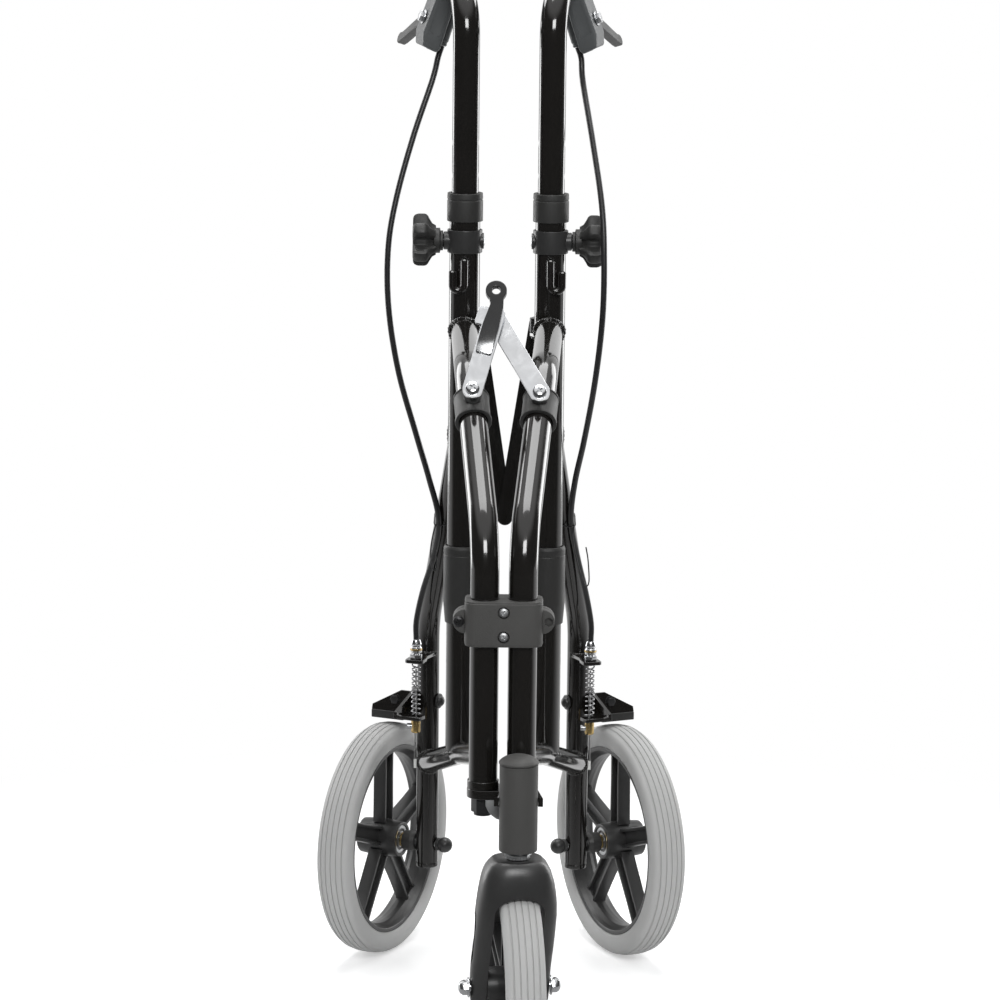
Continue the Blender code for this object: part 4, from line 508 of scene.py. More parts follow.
# %% Moulded grain
grain_group, g_in, g_out = new_group("moulded_grain", [("Scale", 900.0), ("Depth", 1.0)],
                                     [("Height", "NodeSocketFloat")])
g_place = put(grain_group, "ShaderNodeTexCoord")
g_noise = set_inputs(put(grain_group, "ShaderNodeTexNoise"), Detail=3.0, Roughness=0.6)
g_cells = put(grain_group, "ShaderNodeTexVoronoi", feature="SMOOTH_F1")
g_mix = put(grain_group, "ShaderNodeMath", operation="ADD")
g_scale = put(grain_group, "ShaderNodeMath", operation="MULTIPLY")
for texture in (g_noise, g_cells):
    wire(grain_group, (g_place.outputs["Object"], texture.inputs["Vector"]),
         (g_in.outputs["Scale"], texture.inputs["Scale"]))
wire(grain_group, (g_noise.outputs["Fac"], g_mix.inputs[0]), (g_cells.outputs["Distance"], g_mix.inputs[1]),
     (g_mix.outputs[0], g_scale.inputs[0]), (g_in.outputs["Depth"], g_scale.inputs[1]),
     (g_scale.outputs[0], g_out.inputs["Height"]))

# %% Smudges
smudge_group, s_in, s_out = new_group("smudges", [("Scale", 40.0), ("Low", 0.1), ("High", 0.2)],
                                      [("Value", "NodeSocketFloat")])
s_place = put(smudge_group, "ShaderNodeTexCoord")
s_noise = set_inputs(put(smudge_group, "ShaderNodeTexNoise"), Detail=5.0, Roughness=0.62, Distortion=0.6)
s_range = put(smudge_group, "ShaderNodeMapRange")
set_inputs(s_range, From_Min=0.32, From_Max=0.7)
wire(smudge_group, (s_place.outputs["Object"], s_noise.inputs["Vector"]),
     (s_in.outputs["Scale"], s_noise.inputs["Scale"]), (s_noise.outputs["Fac"], s_range.inputs["Value"]),
     (s_in.outputs["Low"], s_range.inputs["To Min"]), (s_in.outputs["High"], s_range.inputs["To Max"]),
     (s_range.outputs["Result"], s_out.inputs["Value"]))

# %% Settled dust
dust_group, d_in, d_out = new_group("settled_dust", [("Scale", 220.0), ("Amount", 0.15)],
                                    [("Mask", "NodeSocketFloat")])
d_place = put(dust_group, "ShaderNodeTexCoord")
d_normal = put(dust_group, "ShaderNodeNewGeometry")
d_split = put(dust_group, "ShaderNodeSeparateXYZ")
d_up = set_inputs(put(dust_group, "ShaderNodeMapRange"), From_Min=0.2)
d_noise = set_inputs(put(dust_group, "ShaderNodeTexNoise"), Detail=6.0, Roughness=0.7)
d_spots = put(dust_group, "ShaderNodeMath", operation="MULTIPLY")
d_amount = put(dust_group, "ShaderNodeMath", operation="MULTIPLY", use_clamp=True)
wire(dust_group, (d_normal.outputs["Normal"], d_split.inputs["Vector"]),
     (d_split.outputs["Z"], d_up.inputs["Value"]), (d_place.outputs["Object"], d_noise.inputs["Vector"]),
     (d_in.outputs["Scale"], d_noise.inputs["Scale"]), (d_up.outputs["Result"], d_spots.inputs[0]),
     (d_noise.outputs["Fac"], d_spots.inputs[1]), (d_spots.outputs[0], d_amount.inputs[0]),
     (d_in.outputs["Amount"], d_amount.inputs[1]), (d_amount.outputs[0], d_out.inputs["Mask"]))
print("node groups:", [group.name for group in bpy.data.node_groups])

# %% [markdown]
# ## Finishes
# One function lays out every finish: a base colour that drifts between two close tones,
# a little dust, a gloss that varies with smudges, and a bump from the grain. What is the
# same all over, such as metal or coat, stays on the shader's own sockets.

# %% A finish from the shared effects
DUST_TONE = (0.35, 0.34, 0.32, 1.0)
COAT_ROUGHNESS = 0.04
BUMP_DISTANCE = 0.0002


def finish(name, tone, second_tone, gloss, smudge_scale=40.0, grain=0.0, grain_scale=900.0, metallic=0.0,
           coat=0.0, dust=0.0, tone_scale=25.0):
    """A material whose tone, gloss and grain vary as on the real surface."""
    material = bpy.data.materials.new(name)
    material.use_nodes = True
    tree = material.node_tree
    shader = tree.nodes["Principled BSDF"]
    set_inputs(shader, Metallic=metallic, Coat_Weight=coat, Coat_Roughness=COAT_ROUGHNESS)
    place = put(tree, "ShaderNodeTexCoord")
    drift = set_inputs(put(tree, "ShaderNodeTexNoise"), Scale=tone_scale, Detail=4.0)
    tones = put(tree, "ShaderNodeMix", data_type="RGBA")
    tones.inputs["A"].default_value = (*tone, 1.0)
    tones.inputs["B"].default_value = (*second_tone, 1.0)
    wire(tree, (place.outputs["Object"], drift.inputs["Vector"]),
         (drift.outputs["Fac"], tones.inputs["Factor"]))
    colour = tones.outputs["Result"]
    if dust:
        settled = put(tree, "ShaderNodeGroup", node_tree=dust_group)
        settled.inputs["Amount"].default_value = dust
        dusty = put(tree, "ShaderNodeMix", data_type="RGBA")
        dusty.inputs["B"].default_value = DUST_TONE
        wire(tree, (settled.outputs["Mask"], dusty.inputs["Factor"]), (colour, dusty.inputs["A"]))
        colour = dusty.outputs["Result"]
    smudge = put(tree, "ShaderNodeGroup", node_tree=smudge_group)
    set_inputs(smudge, Scale=smudge_scale, Low=gloss[0], High=gloss[1])
    wire(tree, (colour, shader.inputs["Base Color"]), (smudge.outputs["Value"], shader.inputs["Roughness"]))
    if grain:
        texture = put(tree, "ShaderNodeGroup", node_tree=grain_group)
        texture.inputs["Scale"].default_value = grain_scale
        bump = set_inputs(put(tree, "ShaderNodeBump"), Strength=grain, Distance=BUMP_DISTANCE)
        wire(tree, (texture.outputs["Height"], bump.inputs["Height"]),
             (bump.outputs["Normal"], shader.inputs["Normal"]))
    return material


# %% [markdown]
# Blacks are never pure black: gloss paint, satin and dull plastic differ in tone as well
# as in gloss. Plated steel is a metal whose roughness tells a polished screw from a
# rough nut.

# %% The finishes of this part
paint = finish("gloss_black_paint", (0.011, 0.01, 0.009), (0.007, 0.0063, 0.0056), gloss=(0.1, 0.17),
               smudge_scale=35.0, grain=0.035, grain_scale=260.0, coat=0.6, dust=0.02)
moulded = finish("moulded_black_plastic", (0.03, 0.03, 0.029), (0.024, 0.024, 0.023), gloss=(0.42, 0.56),
                 grain=0.35, grain_scale=1500.0, dust=0.05)
satin = finish("satin_black_plastic", (0.034, 0.034, 0.034), (0.026, 0.026, 0.026), gloss=(0.28, 0.42),
               grain=0.12, grain_scale=900.0, dust=0.04)
soft_grey = finish(
    "matt_head_plastic", (0.066, 0.065, 0.062), (0.055, 0.054, 0.052), gloss=(0.5, 0.62), grain=0.3,
    grain_scale=1300.0, dust=0.05)
housing_grey = finish(
    "housing_grey_plastic", (0.085, 0.09, 0.092), (0.065, 0.07, 0.072), gloss=(0.36, 0.5), grain=0.3,
    grain_scale=1600.0, dust=0.04)
grip_rubber = finish(
    "grip_rubber", (0.022, 0.022, 0.023), (0.016, 0.016, 0.017), gloss=(0.6, 0.78), grain=0.6,
    grain_scale=1900.0, dust=0.06)
tyre_grey = finish(
    "pale_tyre_rubber", (0.5, 0.5, 0.495), (0.415, 0.415, 0.41), gloss=(0.62, 0.8), smudge_scale=60.0,
    grain=0.25, grain_scale=800.0, dust=0.08, tone_scale=18.0)
zinc = finish("bright_zinc", (0.8, 0.81, 0.82), (0.7, 0.71, 0.73), gloss=(0.13, 0.3), smudge_scale=90.0,
              grain=0.05, grain_scale=500.0, metallic=1.0)
dull_zinc = finish(
    "dull_zinc", (0.6, 0.61, 0.62), (0.48, 0.49, 0.5), gloss=(0.28, 0.45), smudge_scale=160.0, grain=0.1,
    grain_scale=700.0, metallic=1.0)
rough_zinc = finish(
    "rough_zinc", (0.78, 0.79, 0.8), (0.66, 0.67, 0.68), gloss=(0.46, 0.6), smudge_scale=140.0, grain=0.08,
    grain_scale=600.0, metallic=1.0)
brass = finish(
    "brass", (0.78, 0.58, 0.26), (0.62, 0.45, 0.2), gloss=(0.18, 0.34), smudge_scale=160.0, metallic=1.0)
wire_steel = finish("wire_steel", (0.62, 0.62, 0.62), (0.45, 0.45, 0.45), gloss=(0.25, 0.4), metallic=1.0)
spring_steel = finish(
    "spring_steel", (0.55, 0.55, 0.56), (0.3, 0.3, 0.31), gloss=(0.2, 0.35), smudge_scale=300.0,
    metallic=1.0)
jacket = finish("cable_jacket", (0.02, 0.02, 0.021), (0.014, 0.014, 0.015), gloss=(0.3, 0.42), grain=0.08,
                grain_scale=900.0)
dark_steel = finish(
    "blackened_steel", (0.055, 0.055, 0.057), (0.03, 0.03, 0.031), gloss=(0.25, 0.42), smudge_scale=120.0,
    grain=0.08, metallic=0.6)
print("finishes:", len(bpy.data.materials))

# %% [markdown]
# ## Floor, backdrop and light
# The photo has a plain white surround. Rays that reach the camera see plain white. Rays
# that mirror in the gloss see white behind and above the part but dark in front of it,
# as in a studio with its cards behind the object. That mirror image draws the thin
# bright lines along the edges of the black tubes.

# %% Surroundings
AROUND_LIGHT = 0.3
MIRROR_FRONT = 0.07
MIRROR_BEHIND = 1.0
MIRROR_ABOVE = 1.0
bpy.context.scene.view_settings.view_transform = "Standard"
world = bpy.data.worlds.new("studio")
bpy.context.scene.world = world
world.use_nodes = True
world_tree = world.node_tree
world_tree.nodes.clear()
world_out = put(world_tree, "ShaderNodeOutputWorld")
path_kind = put(world_tree, "ShaderNodeLightPath")
seen = set_inputs(put(world_tree, "ShaderNodeBackground"), Color=(1.0, 1.0, 1.0, 1.0), Strength=1.0)
around_light = set_inputs(
    put(world_tree, "ShaderNodeBackground"), Color=(0.96, 0.98, 1.0, 1.0), Strength=AROUND_LIGHT)
way = put(world_tree, "ShaderNodeTexCoord")
way_parts = put(world_tree, "ShaderNodeSeparateXYZ")
wire(world_tree, (way.outputs["Generated"], way_parts.inputs["Vector"]))
behind = smooth_range(world_tree, way_parts.outputs["Y"], 0.35, 0.85, MIRROR_FRONT, MIRROR_BEHIND)
above = smooth_range(world_tree, way_parts.outputs["Z"], 0.45, 0.8, 0.0, MIRROR_ABOVE)
brighter = put(world_tree, "ShaderNodeMath", operation="MAXIMUM")
mirrored = put(world_tree, "ShaderNodeBackground")
wire(world_tree, (behind, brighter.inputs[0]), (above, brighter.inputs[1]),
     (brighter.outputs[0], mirrored.inputs["Strength"]))
print("world nodes:", len(world_tree.nodes))


# %% Choosing by the kind of ray
def choose_shader(tree, factor, otherwise, chosen):
    """The chosen shader where the factor is 1, and the other one where it is 0."""
    node = put(tree, "ShaderNodeMixShader")
    wire(tree, (factor, node.inputs["Fac"]), (otherwise, node.inputs[1]), (chosen, node.inputs[2]))
    return node.outputs[0]


lit_or_mirrored = choose_shader(
    world_tree, path_kind.outputs["Is Glossy Ray"], around_light.outputs[0], mirrored.outputs[0])
whole_world = choose_shader(
    world_tree, path_kind.outputs["Is Camera Ray"], lit_or_mirrored, seen.outputs[0])
wire(world_tree, (whole_world, world_out.inputs["Surface"]))

# %% [markdown]
# The floor is pale and dull. Near the part the camera sees its soft shadow, lifted a
# little, and further out the floor fades into the white of the surround. Gloss sees it
# dark in front and pale behind, as it sees the world.

# %% Floor
FLOOR_HALF = 6.0
SHADOW_NEAR = 0.35
SHADOW_FAR = 0.95
FLOOR_LIFT = 0.42
FLOOR_TONE = (0.8, 0.8, 0.8, 1.0)
FLOOR_MIRROR_BEHIND = 0.85
floor_corners = [(x * FLOOR_HALF, y * FLOOR_HALF, 0) for x, y in ((-1, -1), (1, -1), (1, 1), (-1, 1))]
floor_mesh = bpy.data.meshes.new("floor")
floor_mesh.from_pydata(floor_corners, [], [(0, 1, 2, 3)])
floor = bpy.data.objects.new("floor", floor_mesh)
bpy.context.scene.collection.objects.link(floor)
floor_finish = bpy.data.materials.new("pale_floor")
floor_finish.use_nodes = True
floor_tree = floor_finish.node_tree
floor_shader = floor_tree.nodes["Principled BSDF"]
set_inputs(floor_shader, Base_Color=FLOOR_TONE, Roughness=0.9)
floor_path = put(floor_tree, "ShaderNodeLightPath")
floor_place = put(floor_tree, "ShaderNodeTexCoord")
floor_away = put(floor_tree, "ShaderNodeVectorMath", operation="LENGTH")
floor_parts = put(floor_tree, "ShaderNodeSeparateXYZ")
wire(floor_tree, (floor_place.outputs["Object"], floor_away.inputs[0]),
     (floor_place.outputs["Object"], floor_parts.inputs["Vector"]))
floor_lift = set_inputs(put(floor_tree, "ShaderNodeEmission"), Strength=FLOOR_LIFT)
floor_white = set_inputs(put(floor_tree, "ShaderNodeEmission"), Strength=1.0)
floor_near = put(floor_tree, "ShaderNodeAddShader")
wire(floor_tree, (floor_shader.outputs[0], floor_near.inputs[0]),
     (floor_lift.outputs[0], floor_near.inputs[1]))
far_off = smooth_range(floor_tree, floor_away.outputs["Value"], SHADOW_NEAR, SHADOW_FAR)
floor_seen = choose_shader(floor_tree, far_off, floor_near.outputs[0], floor_white.outputs[0])
floor_mirrored = put(floor_tree, "ShaderNodeEmission")
floor_depth = smooth_range(
    floor_tree, floor_parts.outputs["Y"], -0.7, 0.5, MIRROR_FRONT, FLOOR_MIRROR_BEHIND)
wire(floor_tree, (floor_depth, floor_mirrored.inputs["Strength"]))
floor_gloss = choose_shader(
    floor_tree, floor_path.outputs["Is Glossy Ray"], floor_shader.outputs[0], floor_mirrored.outputs[0])
floor_choice = choose_shader(floor_tree, floor_path.outputs["Is Camera Ray"], floor_gloss, floor_seen)
wire(floor_tree, (floor_choice, floor_tree.nodes["Material Output"].inputs["Surface"]))
floor_mesh.materials.append(floor_finish)
print("floor nodes:", len(floor_tree.nodes))

# %% [markdown]
# Four soft lamps light the part evenly. Two tall ones stand behind it on the left and the
# right, a wide one hangs above, and one in front, a little above the camera, keeps the
# black plastic readable.

# %% Lamps
# name: place, what it points at, width, height, power in watts
LAMPS = {
    "left_lamp": ((-1.7, 1.5, 1.0), (0, 0.0, 0.5), 0.7, 2.2, 22),
    "right_lamp": ((1.7, 1.5, 1.0), (0, 0.0, 0.5), 0.7, 2.2, 22),
    "front_lamp": ((0.3, -3.2, 2.4), (0, 0.0, 0.45), 1.6, 1.0, 62),
    "top_lamp": ((0.0, 0.45, 3.0), (0, 0.05, 0.4), 2.0, 2.0, 60),
}
for name, (place, target, width, height, power) in LAMPS.items():
    lamp = bpy.data.lights.new(name, "AREA")
    lamp.shape = "RECTANGLE"
    lamp.size = width
    lamp.size_y = height
    lamp.energy = power
    holder = bpy.data.objects.new(name, lamp)
    bpy.context.scene.collection.objects.link(holder)
    holder.location = place
    heading = Vector(target) - Vector(place)
    holder.rotation_euler = heading.to_track_quat("-Z", "Y").to_euler()
print("lamps:", len(bpy.data.lights))

# %% [markdown]
# ## Frame tubes
# A welded tube frame is drawn by sweeping circles along bent paths. Where a tube's end
# is cut to fit round another tube, the last ring of points is pushed along the tube
# until it meets the other one, and that ring also carries the weld bead.

# %% Cutting a tube's end to fit, and its weld
def reach_round(point, heading, centre, radius):
    """Where the line from the point along the heading first meets an upright round tube."""
    flat = Vector((heading.x, heading.y))
    gap = Vector((point.x - centre.x, point.y - centre.y))
    a = flat.length_squared
    b = 2 * gap.dot(flat)
    root = max(0.0, b * b - 4 * a * (gap.length_squared - radius ** 2))
    return point + heading * ((-b - math.sqrt(root)) / (2 * a))


def fit_end(bm, ring_index, heading, centre, radius, back=0.0, sides=40):
    """Move one ring of a swept tube onto the other tube, and give back its points.

    The ring is first drawn back by the given length, so that it starts outside."""
    bm.verts.ensure_lookup_table()
    ring = []
    for vert in bm.verts[ring_index * sides:(ring_index + 1) * sides]:
        vert.co = reach_round(vert.co - heading * back, heading, centre, radius)
        ring.append(vert.co.copy())
    return ring


def lift_off(ring, centre, lift):
    """The ring moved away from the other tube's axis, so that a bead stays outside its bore."""
    lifted = []
    for point in ring:
        away = Vector((point.x - centre.x, point.y - centre.y, 0.0)).normalized()
        lifted.append(point + away * lift)
    return lifted


def close_coped(bm, ring_index, sides=40):
    """Close a coped end with strips that run up and down, so that they lie on the other tube."""
    bm.verts.ensure_lookup_table()
    ring = bm.verts[ring_index * sides:(ring_index + 1) * sides]
    for face in [face for face in ring[0].link_faces if len(face.verts) == sides]:
        bm.faces.remove(face)
    for n in range(sides // 2):
        corners = [ring[n], ring[n + 1], ring[sides - n - 1], ring[(sides - n) % sides]]
        bm.faces.new(list(dict.fromkeys(corners)))
    bmesh.ops.recalc_face_normals(bm, faces=bm.faces)


def weld_bead(ring, radius=0.0016, pitch=0.0029):
    """A closed bead along the ring: overlapping ripples, one per pitch."""
    length = sum((b - a).length for a, b in zip(ring, ring[1:] + ring[:1]))
    steps = 6
    count = max(8, round(length / pitch)) * steps
    spots = []
    for n in range(count):
        place = n / count * len(ring)
        k = int(place)
        spots.append(ring[k].lerp(ring[(k + 1) % len(ring)], place - k))

    def outline(index):
        phase = (index % steps) / steps
        return circle(radius * (1.12 - 0.34 * phase + 0.07 * math.sin(index * 1.7)), 12)

    return sweep(spots, radius, closed=True, shape=outline)


# %% [markdown]
# A front tube rises from the foot bracket, bends back at the knee and meets the upright.
# A thin collar sits round its foot.

# %% Front tubes
KNEE = Vector((0.0305, 0.155, 0.566))
FRONT_END = Vector((0.0354, 0.31, 0.574))
front_path = bent_path([(FRONT_X, 0, PLATE_TOP + GAP), (FRONT_X, 0, 0.458), KNEE, FRONT_END], BEND)
front_tube = sweep(front_path, FRONT_TUBE_R)
front_heading = (FRONT_END - KNEE).normalized()
front_mouth = fit_end(front_tube, len(front_path) - 1, front_heading, UPRIGHT, UPRIGHT_R)
close_coped(front_tube, len(front_path) - 1)
front_foot = Vector((FRONT_X, 0, PLATE_TOP + GAP))
foot_collar = turned_ring(0.01, 0.0123, 0.0, 0.006, 0.0006, front_foot, UP)
front_weld = weld_bead(lift_off(front_mouth, UPRIGHT, 0.001), radius=0.0018)
front_shape = gather(front_tube, foot_collar, front_weld)
add_pair("front_tube", front_shape, paint, "frame", "front_tube")
print("front tube", len(front_path), "rings")

# %% [markdown]
# The uprights are open pipes. Each carries a small bag hook of bent wire in front, welded
# on by its stem, and the flat lug for the rear stay behind.

# %% Uprights with their hooks and lugs
upright_pipe = sweep([UPRIGHT + UP * UPRIGHT_LOW, UPRIGHT + UP * UPRIGHT_TOP], UPRIGHT_R, sides=56,
                     bore=UPRIGHT_BORE_R)
HOOK_R = 0.003
HOOK_CURL = 0.005
hook_y = UPRIGHT.y - UPRIGHT_R - HOOK_R + 0.0008
hook_curl_z = 0.6048 + HOOK_R + HOOK_CURL
hook_path = [Vector((UPRIGHT.x, hook_y, 0.634)), Vector((UPRIGHT.x, hook_y, 0.626)),
             Vector((UPRIGHT.x, hook_y, hook_curl_z))]
hook_path += [Vector((UPRIGHT.x + a, hook_y, hook_curl_z + b))
              for a, b in arc((HOOK_CURL, 0.0), HOOK_CURL, 180, 360, 16)[1:]]
hook_path += [Vector((UPRIGHT.x + 2 * HOOK_CURL, hook_y, 0.6245))]


def hook_ring(index):
    """The wire's outline, narrower at both ends so that they look rounded."""
    last = len(hook_path) - 1
    return circle(HOOK_R * (0.62 if index in (0, last) else 1.0), 20)


hook_path.insert(1, hook_path[0] - UP * 0.001)
hook_path.insert(len(hook_path) - 1, hook_path[-1] - UP * 0.0012)
hook = sweep(hook_path, HOOK_R, shape=hook_ring)
hook_weld_ring = [Vector((UPRIGHT.x + a, hook_y + 0.0022, 0.6235 + b))
                  for a, b in capsule((0.0, -0.0065), (0.0, 0.0085), 0.0028)]
hook_weld = weld_bead(hook_weld_ring, radius=0.001, pitch=0.0022)
STAY_PIVOT = Vector((0.025, 0.329, 0.575))
KNUCKLE_R = 0.006
LUG_THICK = 0.003
lug_low = STAY_PIVOT.z - KNUCKLE_R - GAP - LUG_THICK
lug = plate(capsule((0.0, 0.0), (STAY_PIVOT.x - UPRIGHT.x, STAY_PIVOT.y - UPRIGHT.y), KNUCKLE_R),
            UPRIGHT + UP * lug_low, ACROSS, BACK, LUG_THICK, 0.0005)
lug = carve(lug, rod_along(UPRIGHT, UP, lug_low - 0.01, lug_low + 0.01, UPRIGHT_R - 0.0004),
            rod((*STAY_PIVOT.xy, lug_low - 0.01), (*STAY_PIVOT.xy, lug_low + 0.01), 0.0033))
upright_shape = gather(upright_pipe, hook, hook_weld, lug)
add_pair("upright", upright_shape, paint, "frame", "upright")

# %% [markdown]
# The rear legs leave the uprights at a slant and turn down to the axle. A black cap
# closes each lower end, and a flat tab in front holds the cable's adjuster.

# %% Rear legs
leg_start = Vector((UPRIGHT.x, UPRIGHT.y, 0.498))
leg_bend = Vector((LEG.x, LEG.y, 0.3))
leg_path = bent_path([leg_start, leg_bend, LEG + UP * (LEG_FOOT + 0.004)], BEND)
leg_heading = (leg_start - leg_bend).normalized()
leg_tube = sweep(leg_path, LEG_R)
leg_mouth = fit_end(leg_tube, 0, leg_heading, UPRIGHT, UPRIGHT_R, back=0.12)
close_coped(leg_tube, 0)
leg_weld = weld_bead(lift_off(leg_mouth, UPRIGHT, 0.0009), radius=0.0016)
leg_cap = turned_ring(0.0, LEG_R + 0.0002, LEG_FOOT, LEG_FOOT + 0.004, 0.0009, LEG, UP, 48)
TAB_Z = 0.271
TAB_THICK = 0.003
CABLE_INBOARD = 0.0049
CABLE_FORWARD = 0.0341


def leg_frame(inboard, forward, height):
    """A point given from the leg's axis in the wheel's own directions."""
    return LEG - AXLE * inboard - TRAIL * forward + UP * height


tab_end = (-CABLE_INBOARD, -CABLE_FORWARD)
tab_heading = math.degrees(math.atan2(tab_end[1], tab_end[0]))
tab_outline = arc((0.0, 0.0), LEG_R, tab_heading + 100, tab_heading + 260, 16)
corner = 0.008
away = Vector(tab_end).normalized()
aside = Vector((-away.y, away.x))
tab_edge = [(-0.012, -0.0062), (-0.004, -corner), (corner - 0.002, -corner), (corner, -corner + 0.002),
            (corner, corner - 0.002), (corner - 0.002, corner), (-0.004, corner), (-0.012, 0.0062)]
for along, sideways in tab_edge:
    spot = Vector(tab_end) + away * along + aside * sideways
    tab_outline.append((spot.x, spot.y))
tab = plate(tab_outline, LEG + UP * TAB_Z, AXLE, TRAIL, TAB_THICK, 0.0004)
tab = carve(
    tab, rod_along(LEG, UP, TAB_Z - 0.01, TAB_Z + 0.01, LEG_R - 0.0006),
    rod(leg_frame(CABLE_INBOARD, CABLE_FORWARD, TAB_Z - 0.01),
        leg_frame(CABLE_INBOARD, CABLE_FORWARD, TAB_Z + 0.01), 0.0033))
tab_weld_line = [(0.003, math.radians(tab_heading - 62 + 6 * n)) for n in range(21)]
tab_weld_line += [(0.0, math.radians(tab_heading + 58 - 6 * n)) for n in range(21)]
tab_weld = weld_bead([
    LEG + UP * (TAB_Z + rise) + AXLE * LEG_R * math.cos(a) + TRAIL * LEG_R * math.sin(a)
    for rise, a in tab_weld_line], radius=0.0009)
leg_shape = gather(leg_tube, leg_weld, leg_cap, tab, tab_weld)
add_pair("rear_leg", leg_shape, paint, "frame", "rear_leg")

# %% [markdown]
# The lower bars run from the leg past the foot of the upright to the front tube. Both
# ends are cut to fit, so each joint shows a ring of weld.

# %% Lower bars
bar_leg = Vector((LEG.x, LEG.y, 0.174))
bar_turn = Vector((UPRIGHT.x, UPRIGHT.y, UPRIGHT_LOW))
bar_front = Vector((FRONT_X, 0, 0.2897))
bar_path = bent_path([bar_leg, bar_turn, bar_front], BEND)
lower_bar = sweep(bar_path, LEG_R)
BAR_BACK = 0.05
rear_way = (bar_leg - bar_turn).normalized()
bar_rear_ring = fit_end(lower_bar, 0, rear_way, LEG, LEG_R, back=BAR_BACK)
front_way = (bar_front - bar_turn).normalized()
bar_front_ring = fit_end(
    lower_bar, len(bar_path) - 1, front_way, Vector((FRONT_X, 0, 0)), FRONT_TUBE_R, back=BAR_BACK)
saddle_ring = []
for n in range(48):
    angle = 2 * math.pi * n / 48
    spot = UPRIGHT + Vector((UPRIGHT_R * math.cos(angle), UPRIGHT_R * math.sin(angle), 0))
    nearest = min(bar_path, key=lambda p: (p.xy - spot.xy).length)
    off = min(LEG_R, (nearest.xy - spot.xy).length)
    rise = math.sqrt(max(0.0, LEG_R ** 2 - off ** 2)) * 0.9
    saddle_ring.append(Vector((spot.x, spot.y, nearest.z + rise)))
bar_shape = gather(lower_bar, weld_bead(bar_rear_ring), weld_bead(bar_front_ring), weld_bead(saddle_ring))
add_pair("lower_bar", bar_shape, paint, "frame", "lower_bar")
print("tubes done")

# %% [markdown]
# ## Sleeves, clamps and knobs
# Moulded sleeves guide the handle tube and pad the upright. They are turned from a half
# profile, with small lips and steps, because such lines are what the eye reads first
# on black plastic.

# %% Top sleeves
SLEEVE_LOW = 0.664
SLEEVE_TOP = 0.6872
sleeve_profile = round_profile([
    (0.01305, SLEEVE_LOW), (0.0148, SLEEVE_LOW), (0.0148, SLEEVE_TOP - 0.0062),
    (0.01435, SLEEVE_TOP - 0.0058), (0.01435, SLEEVE_TOP - 0.005), (0.0148, SLEEVE_TOP - 0.0046),
    (0.0146, SLEEVE_TOP), (0.0114, SLEEVE_TOP), (0.0114, 0.6803), (0.01305, 0.6803)], 0.0005)
top_sleeve = lathe(sleeve_profile, UPRIGHT, UP)
add_pair("top_sleeve", top_sleeve, moulded, "frame", "top_sleeve")

# %% Post sleeves
post_profile = round_profile([
    (0.01305, 0.326), (0.014, 0.326), (0.0155, 0.343), (0.0155, 0.3835), (0.0152, 0.384),
    (0.0152, 0.385), (0.0155, 0.3855), (0.0155, 0.3895), (0.0143, 0.392), (0.01305, 0.392)], 0.0005)
post_sleeve = lathe(post_profile, UPRIGHT, UP)
add_pair("post_sleeve", post_sleeve, moulded, "frame", "post_sleeve")

# %% [markdown]
# The clamp ring wraps the upright and holds a bush that points outward. On the inner side
# the clamp bolt's round head sits in a recess.

# %% Clamp rings
CLAMP_HALF = 0.00955
clamp_low = CLAMP_Z - CLAMP_HALF
clamp_high = CLAMP_Z + CLAMP_HALF
clamp_spot = UPRIGHT + UP * CLAMP_Z
ring_body = turned_ring(0.01305, 0.0145, clamp_low, clamp_high, 0.0008, UPRIGHT, UP)
bush_profile = [(0.0032, 0.0), (0.0075, 0.0), (0.0075, 0.017), (0.0068, 0.0176), (0.0032, 0.0176)]
bush = lathe(round_profile(bush_profile, 0.0006), clamp_spot, ACROSS, 48)
boss = turned_ring(0.0052, 0.0066, 0.0, 0.0157, 0.0004, clamp_spot, -ACROSS, 40)
upright_room = rod_along(UPRIGHT, UP, clamp_low - 0.01, clamp_high + 0.01, 0.0135, 48)
bush = carve(bush, upright_room)
boss = carve(boss, upright_room)
ring_shape = gather(ring_body, bush, boss)
add_pair("clamp_ring", ring_shape, satin, "frame", "clamp_ring")
inner_head = lathe(round_profile([
    (0.0, 0.0), (0.0048, 0.0), (0.0048, 0.0014), (0.003, 0.0021), (0.0022, 0.0021), (0.0018, 0.001),
    (0.0, 0.001)], 0.0003), clamp_spot - ACROSS * 0.0144, -ACROSS, 32)
inner_shank = rod(clamp_spot - ACROSS * 0.0146, clamp_spot - ACROSS * 0.0117, 0.003, 24)
add_pair("clamp_bolt_head", gather(inner_head, inner_shank), dull_zinc, "frame", None)


# %% [markdown]
# The knob is a moulded star with five rounded lobes. Its outline swells and narrows with
# the angle, its rim is rounded by shrinking that outline towards both faces, and a
# stepped hub faces the bush.

# %% Clamp knobs
KNOB_ROOT = 0.0112
KNOB_TIP = 0.022
knob_start = 0.053 - UPRIGHT.x + GAP


def lobed_ring(height, scale, count=120):
    """One level outline of the star, at a height along the bolt."""
    points = []
    for n in range(count):
        angle = 2 * math.pi * n / count
        wave = max(0.0, min(1.0, 0.5 + 0.78 * math.cos(5 * angle)))
        wave = wave * wave * (3 - 2 * wave)
        reach = (KNOB_ROOT + (KNOB_TIP - KNOB_ROOT) * wave) * scale
        points.append(
            clamp_spot + ACROSS * height + BACK * reach * math.cos(angle) + UP * reach * math.sin(angle))
    return points


